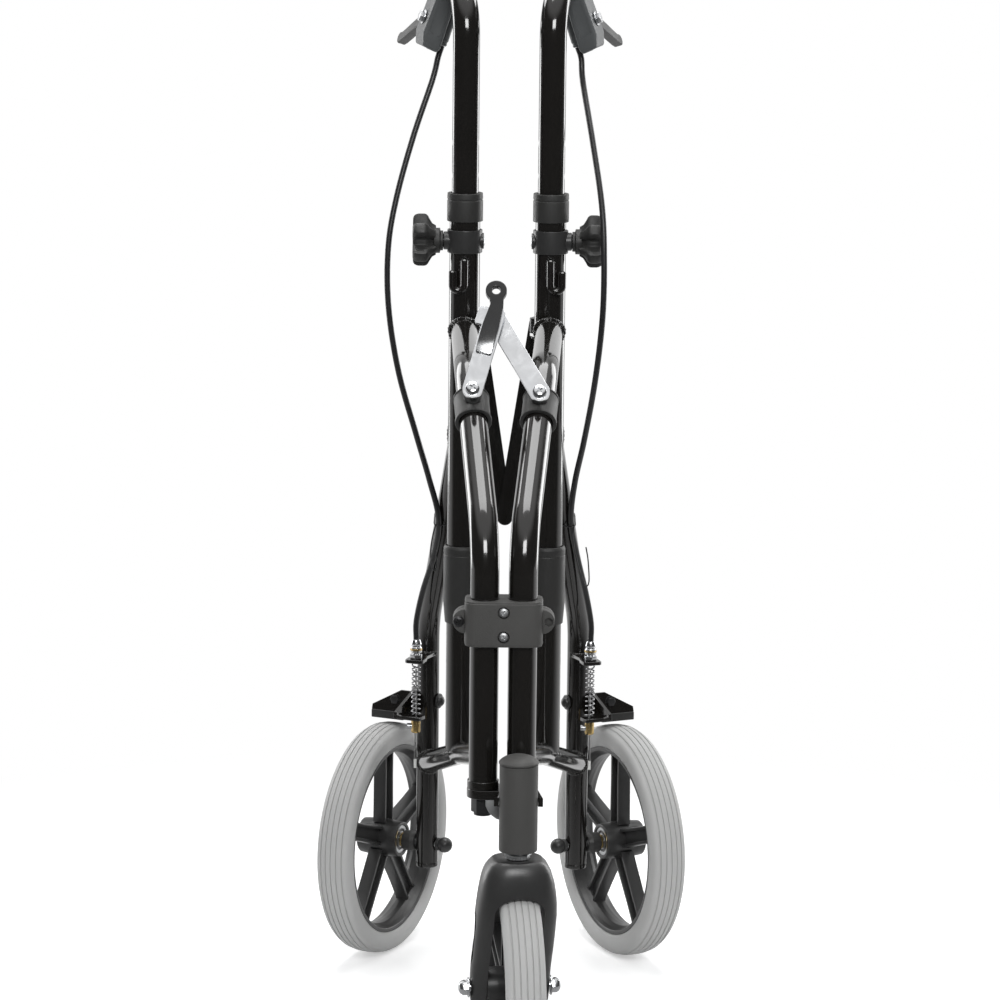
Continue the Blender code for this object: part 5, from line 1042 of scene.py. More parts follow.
def loft(rings):
    """A closed skin through rings of equal count, with flat ends."""
    bm = bmesh.new()
    loops = [[bm.verts.new(point) for point in ring] for ring in rings]
    for first, second in zip(loops, loops[1:]):
        for n in range(len(first)):
            m = (n + 1) % len(first)
            bm.faces.new((first[n], first[m], second[m], second[n]))
    bm.faces.new(loops[0])
    bm.faces.new(loops[-1])
    bmesh.ops.recalc_face_normals(bm, faces=bm.faces)
    return bm


star_low = knob_start + 0.006
# How far each outline is from the star's lower face, and its scale
star_steps = [
    (0.0, 0.44), (0.0, 0.56), (0.003, 0.64), (0.0052, 0.8), (0.0066, 0.92), (0.008, 0.98), (0.0096, 1.0),
    (0.0142, 1.0), (0.0162, 0.98), (0.0177, 0.94), (0.0186, 0.88), (0.019, 0.8), (0.019, 0.6),
    (0.0182, 0.55), (0.0182, 0.3)]
star = loft([lobed_ring(star_low + h, s) for h, s in star_steps])
knob_hub = lathe(round_profile([
    (0.0, 0.0), (0.0082, 0.0), (0.0082, 0.0022), (0.0104, 0.0026), (0.0104, 0.0075), (0.0, 0.0075)],
    0.0005), clamp_spot + ACROSS * knob_start, ACROSS, 48)
add_pair("clamp_knob", gather(star, knob_hub), moulded, "knob", "clamp_knob")
knob_stub = rod_along(clamp_spot, ACROSS, 0.0117, knob_start + 0.001, 0.0029, 24)
add_pair("clamp_bolt", knob_stub, dull_zinc, "knob", None)
knob_washer = turned_ring(
    0.0032, 0.0062, 0.0, 0.0011, 0.0003, clamp_spot + ACROSS * (knob_start - 0.0002), ACROSS, 40)
add_pair("clamp_washer", knob_washer, dull_zinc, "knob", None)

# %% [markdown]
# ## Fold links
# Two flat zinc-plated bars lean back over the front tubes and meet under a dipped black
# finger pull. Everything is drawn in the plane of the links and placed by one function.

# %% The plane of the links
LINK_THICK = 0.0025
LINK_W = 0.016
LEFT_LINK = 0.067
RIGHT_LINK = 0.074
LINK_REST = {"right": 0.0078, "left": 0.0078 + 0.0025 + 0.0022}
link_base_x = BALL.x
link_across = (LEFT_LINK ** 2 + (2 * link_base_x) ** 2 - RIGHT_LINK ** 2) / (4 * link_base_x)
LINK_MEET = Vector((-link_base_x + link_across, math.sqrt(LEFT_LINK ** 2 - link_across ** 2)))
LINK_ZERO = Vector((0.0, BALL.y, BALL.z))


def in_link_plane(a, b, side, rise=0.0):
    """A point a across and b up the plane of the links."""
    return LINK_ZERO + ACROSS * a + LINK_UP * b + LINK_OUT * (LINK_REST[side] + rise)


def link_plate(outline, side, rise, thickness, rounding):
    """A plate that lies in the plane of the links."""
    return plate(outline, in_link_plane(0, 0, side, rise), ACROSS, LINK_UP, thickness, rounding)


def pan_head(place, axis, radius, height, recess=True, turn=0.0):
    """A domed screw head with a cross recess."""
    rim = height * 0.4
    profile = [(0.0, 0.0), (radius, 0.0), (radius, rim), (radius * 0.93, rim + height * 0.22),
               (radius * 0.76, rim + height * 0.42), (radius * 0.5, rim + height * 0.55), (0.0, height)]
    head = lathe(profile, place, axis, 48)
    if not recess:
        return head
    axis = Vector(axis).normalized()
    side = Matrix.Rotation(turn, 3, axis) @ square_to(axis)
    other = axis.cross(side)
    depth = height * 0.55
    arm = radius * 0.52
    half = radius * 0.13
    cross = [(arm, -half), (arm, half), (half, half), (half, arm), (-half, arm), (-half, half),
             (-arm, half), (-arm, -half), (-half, -half), (-half, -arm), (half, -arm), (half, -half)]
    tool = plate(cross, Vector(place) + axis * (height - depth), side, other, depth + height)
    return carve(head, tool)


# %% Links
for side, sign in SIDES.items():
    pivot = (link_base_x * sign, 0.0)
    outline = capsule(pivot, tuple(LINK_MEET), LINK_W / 2, steps=24)
    bar = link_plate(outline, side, 0.0, LINK_THICK, 0.00035)
    if side == "left":
        along = (LINK_MEET - Vector(pivot)).normalized()
        across = Vector((-along.y, along.x))
        near = LINK_MEET - along * 0.011
        far = LINK_MEET + along * 0.005
        wing = [near - across * 0.001, far - across * 0.001, far + across * 0.0125,
                far + across * 0.0138 - along * 0.0015, near + across * 0.0138 + along * 0.0015,
                near + across * 0.0125]
        bar = fuse(bar, link_plate([tuple(p) for p in wing], side, 0.0, LINK_THICK, 0.0003))
    hole_place = in_link_plane(pivot[0], 0.0, side)
    bar = carve(bar, rod_along(hole_place, LINK_OUT, -0.01, 0.01, 0.0025))
    add_piece("fold_link_" + side, bar, zinc, "link_" + side, ["fold_link_" + side], 30)
rivet = pan_head(in_link_plane(LINK_MEET.x, LINK_MEET.y, "right", 0.0), -LINK_OUT, 0.0045, 0.002, False)
add_piece("link_rivet", rivet, dull_zinc, "link_right", ())

# %% [markdown]
# Each link screw is one turned stud: a ball at its foot, a washer face under the link and
# a domed head with a cross recess.

# %% Link screws
for side, sign in SIDES.items():
    base = Vector((BALL.x * sign, BALL.y, BALL.z))
    rise = LINK_REST[side]
    head_rise = rise + LINK_THICK + GAP
    head = pan_head(base + LINK_OUT * head_rise, LINK_OUT, 0.0055, 0.003, turn=0.6 * sign)
    ball_profile = [
        (0.0035 * math.sin(math.radians(a)), -0.0035 * math.cos(math.radians(a))) for a in range(0, 146, 9)]
    stud = lathe(
        ball_profile + [(0.0022, 0.0031), (0.0022, rise - 0.0021), (0.0045, rise - 0.0021),
                        (0.0047, rise - 0.0019), (0.0047, rise - 0.0005), (0.0045, rise - GAP),
                        (0.0022, rise - GAP), (0.0022, head_rise + 0.0004), (0.0, head_rise + 0.0004)],
        base, LINK_OUT, 32)
    add_piece("link_screw_" + side, gather(head, stud), zinc, "link_swivel_" + side, ["link_screw_" + side])

# %% [markdown]
# The finger pull is a bent strap of the left link that was dipped in black plastic. Its
# coating thins out over the zinc at the lower end, so its finish fades there.

# %% Finger pull
grip_along = (LINK_MEET - Vector((-link_base_x, 0.0))).normalized()
grip_across = Vector((-grip_along.y, grip_along.x))
GRIP_RING = LINK_MEET + Vector((0.0008, 0.0186))
grip_low = LINK_MEET - grip_along * 0.036
grip_neck = LINK_MEET + grip_along * 0.006
ring_heading = math.degrees(math.atan2(GRIP_RING.y - grip_neck.y, GRIP_RING.x - grip_neck.x))
pull_outline = [grip_low - grip_across * 0.0064 + grip_along * 0.0012,
                LINK_MEET - grip_along * 0.012 - grip_across * 0.0066, grip_neck - grip_across * 0.0052]
pull_outline += [
    Vector(p) for p in arc(tuple(GRIP_RING), 0.0084, ring_heading - 138, ring_heading + 138, 30)]
pull_outline += [
    grip_neck + grip_across * 0.0052, LINK_MEET - grip_along * 0.012 + grip_across * 0.0066,
    grip_low + grip_across * 0.0064 + grip_along * 0.0012, grip_low + grip_across * 0.0052,
    grip_low - grip_across * 0.0052]
pull = link_plate([tuple(p) for p in pull_outline], "left", LINK_THICK + GAP, 0.0056, 0.0)
ring_place = in_link_plane(GRIP_RING.x, GRIP_RING.y, "left")
pull = carve(pull, rod_along(ring_place, LINK_OUT, -0.02, 0.04, 0.0035, 40))
grip_line = ACROSS * grip_along.x + LINK_UP * grip_along.y
thinning = plate([
    (-0.004, 0.0003), (0.016, 0.0058), (0.016, 0.015), (-0.004, 0.015)],
    in_link_plane(grip_low.x, grip_low.y, "left", LINK_THICK + GAP) - grip_line.cross(LINK_OUT) * 0.02,
    grip_line, LINK_OUT, 0.04)
pull = carve(pull, thinning)
soften(pull, 0.0015, 4, 35)
pull_finish = finish(
    "dipped_coating", (0.014, 0.014, 0.0145), (0.009, 0.009, 0.0095), gloss=(0.16, 0.28), grain=0.05,
    grain_scale=320.0, coat=0.1)
pull_tree = pull_finish.node_tree
pull_shader = pull_tree.nodes["Principled BSDF"]
place = put(pull_tree, "ShaderNodeTexCoord")
level = put(pull_tree, "ShaderNodeVectorMath", operation="DOT_PRODUCT")
level.inputs[1].default_value = tuple(LINK_UP)
wire(pull_tree, (place.outputs["Object"], level.inputs[0]))
fade_zero = (in_link_plane(grip_low.x, grip_low.y, "left") + DRAWING_ZERO).dot(LINK_UP)
fade = smooth_range(pull_tree, level.outputs["Value"], fade_zero + 0.0015, fade_zero + 0.011)
bare = put(pull_tree, "ShaderNodeMix", data_type="RGBA")
bare.inputs["A"].default_value = (0.7, 0.71, 0.72, 1.0)
old_colour = pull_shader.inputs["Base Color"].links[0].from_socket
metal = put(pull_tree, "ShaderNodeMath", operation="SUBTRACT")
metal.inputs[0].default_value = 1.0
wire(pull_tree, (fade, bare.inputs["Factor"]), (old_colour, bare.inputs["B"]),
     (bare.outputs["Result"], pull_shader.inputs["Base Color"]), (fade, metal.inputs[1]),
     (metal.outputs[0], pull_shader.inputs["Metallic"]))
add_piece("link_grip", pull, pull_finish, "link_left", ["link_grip"], 50)

# %% [markdown]
# Each link swings on a ball stud in a moulded saddle, which wraps the sloping tube and has
# a ridge at its lower edge.

# %% Saddles
slope_low = Vector((FRONT_X, 0, 0.458))
slope_along = (KNEE - slope_low).normalized()
saddle_centre = slope_low + slope_along * (BALL - slope_low).dot(slope_along)
saddle_profile = round_profile([
    (0.01145, -0.0135), (0.0145, -0.0135), (0.0145, -0.011), (0.0139, -0.0106), (0.0139, 0.0118),
    (0.0145, 0.0122), (0.0145, 0.0135), (0.01145, 0.0135)], 0.0006)
saddle = lathe(saddle_profile, saddle_centre, slope_along, 56)
socket_profile = round_profile([
    (0.0, -0.008), (0.0072, -0.008), (0.0068, 0.001), (0.0062, 0.0016), (0.0036, 0.0016), (0.0036, 0.0),
    (0.0, -0.0034)], 0.0004)
socket = lathe(socket_profile, BALL, LINK_OUT, 40)
saddle_shape = gather(saddle, socket)
add_pair("link_saddle", saddle_shape, moulded, "frame", "link_saddle")

# %% [markdown]
# Behind the uprights two flat black stays hang from swivel knuckles. Folded, they meet
# in a V, one in front of the other, under a round rivet. Their length follows from the
# fold angle, because they lie straight when the frame is open.

# %% Stays and their knuckles
FOLD_DEG = 52.0
fold = math.radians(FOLD_DEG)
stay_x = -STAY_PIVOT.x + FRONT_X
opened = Vector((-FRONT_X + stay_x * math.cos(fold) - STAY_PIVOT.y * math.sin(fold),
                 stay_x * math.sin(fold) + STAY_PIVOT.y * math.cos(fold)))
stay_half = (Vector((STAY_PIVOT.x, STAY_PIVOT.y)) - opened).length / 2
stay_drop = math.sqrt(stay_half ** 2 - STAY_PIVOT.x ** 2)
STAY_THICK = 0.0025
STAY_FACE = {"right": STAY_PIVOT.y + KNUCKLE_R + GAP,
             "left": STAY_PIVOT.y + KNUCKLE_R + GAP + STAY_THICK + 0.0006}
for side, sign in SIDES.items():
    face = STAY_FACE[side]
    pivot_x = STAY_PIVOT.x * sign
    outline = capsule((pivot_x, STAY_PIVOT.z), (0.0, STAY_PIVOT.z - stay_drop), 0.0065, steps=20)
    bar = plate(outline, (0, face + STAY_THICK, 0), ACROSS, UP, STAY_THICK, 0.0004)
    bar = carve(
        bar, rod((pivot_x, face - 0.01, STAY_PIVOT.z), (pivot_x, face + 0.01, STAY_PIVOT.z), 0.0028))
    add_piece("fold_stay_" + side, bar, paint, "stay_" + side, ["fold_stay_" + side])
    end = face + STAY_THICK + GAP
    lug_under = lug_low - GAP
    lug_over = lug_low + LUG_THICK + GAP
    knuckle_top = STAY_PIVOT.z + KNUCKLE_R
    knuckle = lathe(round_profile([
        (0.0, lug_under - 0.0018), (0.0048, lug_under - 0.0018), (0.0048, lug_under), (0.003, lug_under),
        (0.003, lug_over), (KNUCKLE_R, lug_over), (KNUCKLE_R, knuckle_top), (0.0, knuckle_top)],
        0.0004), (pivot_x, STAY_PIVOT.y, 0), UP, 32)
    bolt = rod((pivot_x, STAY_PIVOT.y, STAY_PIVOT.z), (pivot_x, end + 0.001, STAY_PIVOT.z), 0.0025, 24)
    head = pan_head((pivot_x, end, STAY_PIVOT.z), BACK, 0.0048, 0.0026)
    add_piece("stay_bolt_" + side, gather(knuckle, bolt, head), dark_steel, "stay_swivel_" + side,
              ["stay_bolt_" + side])
rivet_place = (0.0, STAY_FACE["left"] + STAY_THICK - 0.0001, STAY_PIVOT.z - stay_drop)
stay_rivet = pan_head(rivet_place, BACK, 0.0045, 0.0021, False)
add_piece("stay_rivet", stay_rivet, dull_zinc, "stay_left", ())
print("links and stays done; half a stay is", round(stay_half, 4))

# %% [markdown]
# ## Front hinge
# A clamp block of two moulded halves holds both front tubes, and a steel bracket joins
# their feet. The left tube turns on the bracket's bolt when the frame unfolds.

# %% Hinge block halves
BLOCK_LOW = 0.377
BLOCK_HIGH = 0.412
BLOCK_W = 0.03
BLOCK_D = 0.017
EAR_W = 0.039
EAR_LOW = 0.386
EAR_HIGH = 0.405
EAR_D = 0.008
EAR_R = 0.0095
SCREW_IN = 0.008
EAR_X = (BLOCK_W + EAR_W) / 2
EAR_Z = (EAR_LOW + EAR_HIGH) / 2


def block_half(front):
    """One half of the block: a rounded slab with two ears and a half bore for each tube."""
    sign = -1 if front else 1
    corner_r = 0.009
    inner_w = BLOCK_W - corner_r
    inner_d = BLOCK_D - corner_r
    turns = [math.radians(9 * n) for n in range(11)]
    outline = [(-BLOCK_W, sign * GAP / 2)]
    outline += [(-BLOCK_W + corner_r - corner_r * math.cos(a), sign * (inner_d + corner_r * math.sin(a)))
                for a in turns]
    outline += [(inner_w + corner_r * math.sin(a), sign * (inner_d + corner_r * math.cos(a)))
                for a in turns]
    outline += [(BLOCK_W, sign * GAP / 2)]
    if not front:
        outline.reverse()
    slab = plate(outline, (0, 0, BLOCK_LOW + 0.0012), ACROSS, BACK, BLOCK_HIGH - BLOCK_LOW - 0.0024)
    inset = [(x * 0.985, y * (0.965 if abs(y) > 0.001 else 1.0)) for x, y in outline]
    step = plate(inset, (0, 0, BLOCK_LOW), ACROSS, BACK, BLOCK_HIGH - BLOCK_LOW)
    soften(slab, 0.0009, 3, 60)
    soften(step, 0.0005, 2, 60)
    body = fuse(slab, step)
    for ear_sign in (-1, 1):
        ear_outline = capsule((ear_sign * (BLOCK_W - 0.006), EAR_Z), (ear_sign * (EAR_W - EAR_R), EAR_Z),
                              EAR_R, steps=20)
        depth = EAR_D - GAP / 2
        start_y = GAP / 2 + depth if sign > 0 else -GAP / 2
        ear = plate(ear_outline, (0, start_y, 0), ACROSS, UP, depth, 0.001, 3, 60)
        body = fuse(body, ear)
    for x in (-FRONT_X, FRONT_X):
        body = carve(body, rod((x, 0, BLOCK_LOW - 0.01), (x, 0, BLOCK_HIGH + 0.01), FRONT_TUBE_R + GAP, 48))
    if front:
        for z in (BLOCK_LOW + SCREW_IN, BLOCK_HIGH - SCREW_IN):
            body = carve(body, rod((0, -0.03, z), (0, -BLOCK_D + 0.003, z), 0.0047, 32))
        body = carve(body, plate([(p[0] + EAR_X, p[1] + EAR_Z) for p in hexagon(0.0062, 30)],
                                 (0, -EAR_D + 0.0032, 0), ACROSS, UP, 0.01))
    return body


for node, is_front in (("hinge_block_front", True), ("hinge_block_rear", False)):
    add_piece(node, block_half(is_front), soft_grey, "frame_right", [node], 32)
block_screws = [pan_head((0, -BLOCK_D + 0.0028, z), -BACK, 0.0039, 0.0027, turn=turn)
                for z, turn in ((BLOCK_LOW + SCREW_IN, 0.3), (BLOCK_HIGH - SCREW_IN, 1.1))]
add_piece("block_screws", gather(*block_screws), rough_zinc, "frame_right", ())
ear_screw = pan_head((-EAR_X, -EAR_D, EAR_Z), -BACK, 0.0042, 0.0026, turn=0.5)
add_piece("ear_screw", ear_screw, dark_steel, "frame_right", ())

# %% [markdown]
# The bracket is one plate under both feet with an arm that is welded behind the head tube
# and a web. A small rounded gusset of bare steel hangs below it beside the pivot's nut.

# %% Foot bracket
PLATE_THICK = 0.007
PLATE_LOW = PLATE_TOP - PLATE_THICK
FOOT_R = 0.0125
HEAD_R = 0.0148
foot_left = (-FRONT_X, 0.0)
foot_right = (FRONT_X, 0.0)
head_flat = (HEAD.x, HEAD.y)
feet_bar = plate(
    capsule(foot_left, foot_right, FOOT_R, steps=24), (0, 0, PLATE_LOW), ACROSS, BACK, PLATE_THICK, 0.0007)
head_arm = plate(capsule(foot_right, head_flat, FOOT_R, HEAD_R + 0.004, steps=24), (0, 0, PLATE_LOW),
                 ACROSS, BACK, PLATE_THICK, 0.0007)
web_way = Vector((foot_right[0] - head_flat[0], foot_right[1] - head_flat[1], 0)).normalized()
web_side = Vector((-web_way.y, web_way.x, 0))
web_reach = (Vector((*foot_right, 0)) - HEAD).length - FRONT_TUBE_R - 2 * GAP
web = plate([(-0.003, 0.001), (0.003, 0.001), (0.003, 0.034), (-0.003, 0.034)], HEAD + UP * PLATE_LOW,
            web_side, UP, web_reach, 0.0009)
gusset_outline = [
    (0.002, 0.0), (0.0022, -0.006), (0.004, -0.01), (0.007, -0.0135), (0.0105, -0.016), (0.0145, -0.0172),
    (0.0145, 0.0)]
gusset = plate([(x - FRONT_X, z) for x, z in gusset_outline], (0, -0.0092, PLATE_LOW + 0.001), ACROSS, UP,
               0.0026, 0.0005)
bracket = fuse(feet_bar, head_arm, web)
in_front = plate([(-0.03, -0.04), (0.03, -0.04), (0.03, -0.001), (-0.03, -0.001)],
                 HEAD + UP * (PLATE_LOW - 0.01), ACROSS, BACK, 0.03)
bracket = carve(
    bracket, in_front, rod_along(HEAD, UP, PLATE_LOW - 0.03, PLATE_LOW + 0.08, HEAD_R + GAP, 56),
    rod((FRONT_X, 0, PLATE_TOP + 0.0001), (FRONT_X, 0, PLATE_TOP + 0.05), 0.0126, 48))
add_piece("bracket_gusset", gusset, rough_zinc, "frame_right", ())
add_piece("hinge_plate", bracket, paint, "frame_right", ["hinge_plate"], 32)
nut_low = PLATE_LOW - 0.012
pivot_nut = plate(hexagon(0.016), (-FRONT_X, 0, nut_low), ACROSS, BACK, 0.0118, 0.0007)
nut_collar = turned_ring(0.0, 0.007, 0.0, 0.003, 0.0006, (-FRONT_X, 0, nut_low - 0.0024), UP, 40)
pivot_rod = rod((-FRONT_X, 0, nut_low + 0.002), (-FRONT_X, 0, PLATE_TOP + 0.0195), 0.0039, 24)
add_piece("pivot_nut", gather(pivot_nut, nut_collar, pivot_rod), dark_steel, "frame_right", ())

# %% [markdown]
# ## Head tube and caster fork
# The head tube is a smooth moulded sleeve with a low conical cap that stands a little
# proud of it.

# %% Head tube
HEAD_LOW = 0.2215
HEAD_TOP = 0.2898
head_crown = HEAD_TOP + 0.0072
head_profile = round_profile([
    (0.0053, HEAD_LOW), (HEAD_R, HEAD_LOW), (HEAD_R, HEAD_TOP - 0.0008),
    (HEAD_R - 0.0007, HEAD_TOP - 0.0007), (HEAD_R - 0.0007, HEAD_TOP), (HEAD_R + 0.0006, HEAD_TOP + 0.0001),
    (HEAD_R + 0.0006, HEAD_TOP + 0.0014), (HEAD_R - 0.0012, HEAD_TOP + 0.0032),
    (HEAD_R - 0.004, HEAD_TOP + 0.005), (0.0068, HEAD_TOP + 0.0064), (0.0032, head_crown - 0.0002),
    (0.0, head_crown), (0.0, head_crown - 0.004), (0.0053, head_crown - 0.004)], 0.0005, 3)
add_piece("head_tube", lathe(head_profile, HEAD, UP, 72), soft_grey, "frame_right", ["head_tube"],
          45)

# %% [markdown]
# Between the head tube and the fork show a toothed washer and two thin bright nuts, one
# above the other.

# %% Fork stem
FORK_TOP = 0.215
stem = turned_ring(0.0, 0.0049, FORK_TOP - 0.004, HEAD_TOP - 0.003, 0.0004, HEAD, UP, 40)
toothed = [tooth if n % 2 else notch
           for n, (notch, tooth) in enumerate(zip(circle(0.0088, 48), circle(0.0094, 48)))]
lock_washer = plate(toothed, HEAD + UP * (FORK_TOP + 0.0004), ACROSS, BACK, 0.0018, 0.0002)
low_nut = plate(hexagon(0.0185, 12), HEAD + UP * (FORK_TOP + 0.0022), ACROSS, BACK, 0.0019, 0.0004)
high_nut = plate(hexagon(0.017, 37), HEAD + UP * (FORK_TOP + 0.0042), ACROSS, BACK, 0.002, 0.0004)
add_piece("fork_stem", gather(stem, lock_washer, low_nut, high_nut), rough_zinc, "caster", ["fork_stem"],
          30)


# %% [markdown]
# The fork's crown swells over the wheel like a bell and runs down into two blades, each
# split by a long window. Such a moulding has no single profile, so it is lofted through
# level sections first. Then the wheel's room, the windows and the bores are carved out.

# %% Fork crown and blades
def fork_point(side, back, height):
    """A point given from the stem's foot in the wheel's own directions."""
    return HEAD + FORK_SIDE * side + FORK_BACK * back + UP * height


# Level sections of the whole fork, from the crown's flat top down to the blades' feet:
# height, half width, how far the front is from the stem, how far the rear is
FORK_SECTIONS = [
    (0.2146, 0.0184, -0.0128, 0.0196), (0.214, 0.0196, -0.0142, 0.0208), (0.211, 0.0226, -0.0168, 0.0232),
    (0.205, 0.0258, -0.0192, 0.0252), (0.197, 0.0282, -0.0208, 0.0268), (0.188, 0.0298, -0.0212, 0.0284),
    (0.179, 0.0308, -0.02, 0.03), (0.169, 0.0314, -0.016, 0.0322), (0.157, 0.0315, -0.0088, 0.0356),
    (0.144, 0.0315, -0.0006, 0.0402), (0.131, 0.0314, 0.008, 0.0458), (0.118, 0.0313, 0.0166, 0.0506),
    (0.106, 0.0312, 0.0222, 0.0534), (0.097, 0.031, 0.0252, 0.052), (0.091, 0.0306, 0.029, 0.048),
    (0.0885, 0.03, 0.033, 0.044)]
SECTION_POINTS = 72
CROWN_SQUARENESS = 0.72


def fork_envelope():
    """The crown and both blades as one bell, lofted through the level sections."""
    rings = []
    for height, half, front, rear in FORK_SECTIONS:
        middle = (front + rear) / 2
        depth = (rear - front) / 2
        ring = []
        for n in range(SECTION_POINTS):
            angle = 2 * math.pi * n / SECTION_POINTS
            c, s = math.cos(angle), math.sin(angle)
            u = math.copysign(abs(c) ** CROWN_SQUARENESS, c)
            v = math.copysign(abs(s) ** CROWN_SQUARENESS, s)
            ring.append(fork_point(half * u, middle + depth * v, height))
        rings.append(ring)
    return loft(rings)


fork_body = fork_envelope()
wheel_middle = fork_point(0, RAKE, WHEEL_R)
ROOM_FLAT_R = 0.09
ROOM_ROUNDING = 0.015
ROOM_HALF = 0.0195
room_shoulder = [
    (ROOM_FLAT_R + ROOM_ROUNDING * math.sin(math.radians(a)), ROOM_HALF * math.cos(math.radians(a)))
    for a in range(0, 90, 6)]
room_profile = [(0.0, -ROOM_HALF)] + [(r, -h) for r, h in room_shoulder]
room_profile += list(reversed(room_shoulder)) + [(0.0, ROOM_HALF)]
wheel_room = lathe(room_profile, wheel_middle, FORK_SIDE, 160)
fork_body = carve(fork_body, wheel_room)
window_outline = [
    (0.004, 0.17), (0.013, 0.1705), (0.0215, 0.164), (0.029, 0.148), (0.0345, 0.132), (0.0362, 0.124),
    (0.03, 0.1225), (0.0235, 0.129), (0.015, 0.144), (0.006, 0.16)]
fork_window = plate(window_outline, fork_point(-0.05, 0, 0), FORK_BACK, UP, 0.1, 0.0)
soften(fork_window, 0.0012, 3, 15)
fork_body = carve(fork_body, fork_window)
axle_bore = rod(fork_point(-0.05, RAKE, WHEEL_R), fork_point(0.05, RAKE, WHEEL_R), 0.0043, 40)
stem_bore = rod(fork_point(0, 0, 0.19), fork_point(0, 0, 0.23), 0.0053, 40)
fork_body = carve(fork_body, axle_bore, stem_bore)
add_piece("fork", fork_body, satin, "caster", ["fork"], 34)

# %% [markdown]
# The front axle ends in a washer and a capped nut on each side.

# %% Front axle
FORK_HALF = 0.0315
front_nuts = []
for sign in (-1, 1):
    place = fork_point(sign * (FORK_HALF + GAP), RAKE, WHEEL_R)
    front_nuts.append(turned_ring(0.0, 0.0078, 0.0, 0.0012, 0.0003, place, FORK_SIDE * sign, 40))
    cap = lathe([(0.0, 0.001), (0.0062, 0.001), (0.0062, 0.0048), (0.0056, 0.006), (0.0044, 0.0074),
                 (0.0026, 0.0082), (0.0, 0.0085)], place, FORK_SIDE * sign, 6)
    front_nuts.append(soften(cap, 0.0004, 2, 25))
front_nuts.append(rod(fork_point(-0.034, RAKE, WHEEL_R), fork_point(0.034, RAKE, WHEEL_R), 0.0039, 32))
add_piece("front_axle", gather(*front_nuts), zinc, "caster", ["front_axle"], 30)
print("front hinge, head and fork done")

# %% [markdown]
# ## Wheels
# Each tyre is turned from a profile with five narrow grooves, so the grooves are real.

# %% Tyre
TYRE_BORE = WHEEL_R - 0.0185
GROOVE_PITCH = 0.005
GROOVE_HALF = 0.00045
GROOVE_DEEP = 0.001


def tyre_shape(centre, axis):
    """A tyre turned from its tread, its shoulders and its bore."""
    def crown(y):
        return WHEEL_R - 0.003 * (abs(y) / 0.0135) ** 2.6

    grooves = [GROOVE_PITCH * k for k in (-2, -1, 0, 1, 2)]
    y = -0.0132
    stations = []
    while y <= 0.01321:
        if not any(abs(y - g) < GROOVE_HALF * 2.2 for g in grooves):
            stations.append((crown(y), y))
        y += 0.0006
    for g in grooves:
        top = crown(g)
        stations += [
            (top, g - GROOVE_HALF * 1.5), (top - 0.0002, g - GROOVE_HALF),
            (top - GROOVE_DEEP, g - GROOVE_HALF * 0.55), (top - GROOVE_DEEP, g + GROOVE_HALF * 0.55),
            (top - 0.0002, g + GROOVE_HALF), (top, g + GROOVE_HALF * 1.5)]
    stations.sort(key=lambda s: s[1])
    edge = crown(0.0132)
    shoulder = [
        (edge - 0.0006, 0.014), (edge - 0.002, 0.0149), (edge - 0.0042, 0.0154), (WHEEL_R - 0.012, 0.0154),
        (WHEEL_R - 0.016, 0.0146), (TYRE_BORE + 0.0008, 0.0134), (TYRE_BORE, 0.0126)]
    profile = stations + shoulder + [(r, -h) for r, h in reversed(shoulder)]
    return lathe(profile, centre, axis, 200)


# %% [markdown]
# The rim has a dished ring and five spokes with raised edges, as a moulding does. Its
# hub holds a steel bearing on each face.

# %% Rim
RIM_OUT = TYRE_BORE - GAP
HUB_R = 0.016


def rim_shape(centre, axis, hub_width):
    """Ring, hub and five ribbed spokes, the first one pointing up."""
    centre = Vector(centre)
    axis = Vector(axis).normalized()
    ring = lathe(round_profile([
        (RIM_OUT, -0.0125), (RIM_OUT, 0.0125), (RIM_OUT - 0.0035, 0.0125), (RIM_OUT - 0.005, 0.0085),
        (RIM_OUT - 0.0072, 0.0045), (RIM_OUT - 0.0078, 0.0), (RIM_OUT - 0.0072, -0.0045),
        (RIM_OUT - 0.005, -0.0085), (RIM_OUT - 0.0035, -0.0125)], 0.0006, 3), centre, axis, 160)
    half_hub = hub_width / 2
    hub = lathe(round_profile([
        (0.0125, -half_hub), (HUB_R - 0.0008, -half_hub), (HUB_R, -half_hub + 0.008),
        (HUB_R, half_hub - 0.008), (HUB_R - 0.0008, half_hub), (0.0125, half_hub),
        (0.0125, half_hub - 0.0022), (0.0045, half_hub - 0.0022), (0.0045, -half_hub + 0.0022),
        (0.0125, -half_hub + 0.0022)], 0.0006, 3), centre, axis, 80)
    parts = [ring, hub]
    down = (-UP - axis * (-UP).dot(axis)).normalized()
    for number in range(5):
        turn = Matrix.Rotation(2 * math.pi * number / 5 + math.pi, 3, axis)
        along = turn @ down
        aside = axis.cross(along)
        web = plate([(HUB_R - 0.001, -0.0075), (RIM_OUT - 0.006, -0.0066), (RIM_OUT - 0.006, 0.0066),
                     (HUB_R - 0.001, 0.0075)], centre - axis * 0.0019, along, aside, 0.0038)
        parts.append(web)
        for edge in (-1, 1):
            outline = [(HUB_R - 0.001, edge * 0.0058), (HUB_R - 0.001, edge * 0.0086),
                       (0.03, edge * 0.0081), (0.055, edge * 0.0076), (RIM_OUT - 0.009, edge * 0.008),
                       (RIM_OUT - 0.0058, edge * 0.0098), (RIM_OUT - 0.0058, edge * 0.006),
                       (RIM_OUT - 0.009, edge * 0.0053), (0.055, edge * 0.0049), (0.03, edge * 0.0054)]
            if edge < 0:
                outline.reverse()
            rib = plate(outline, centre - axis * 0.0058, along, aside, 0.0116)
            parts.append(soften(rib, 0.0006, 2, 50))
    return gather(*parts)


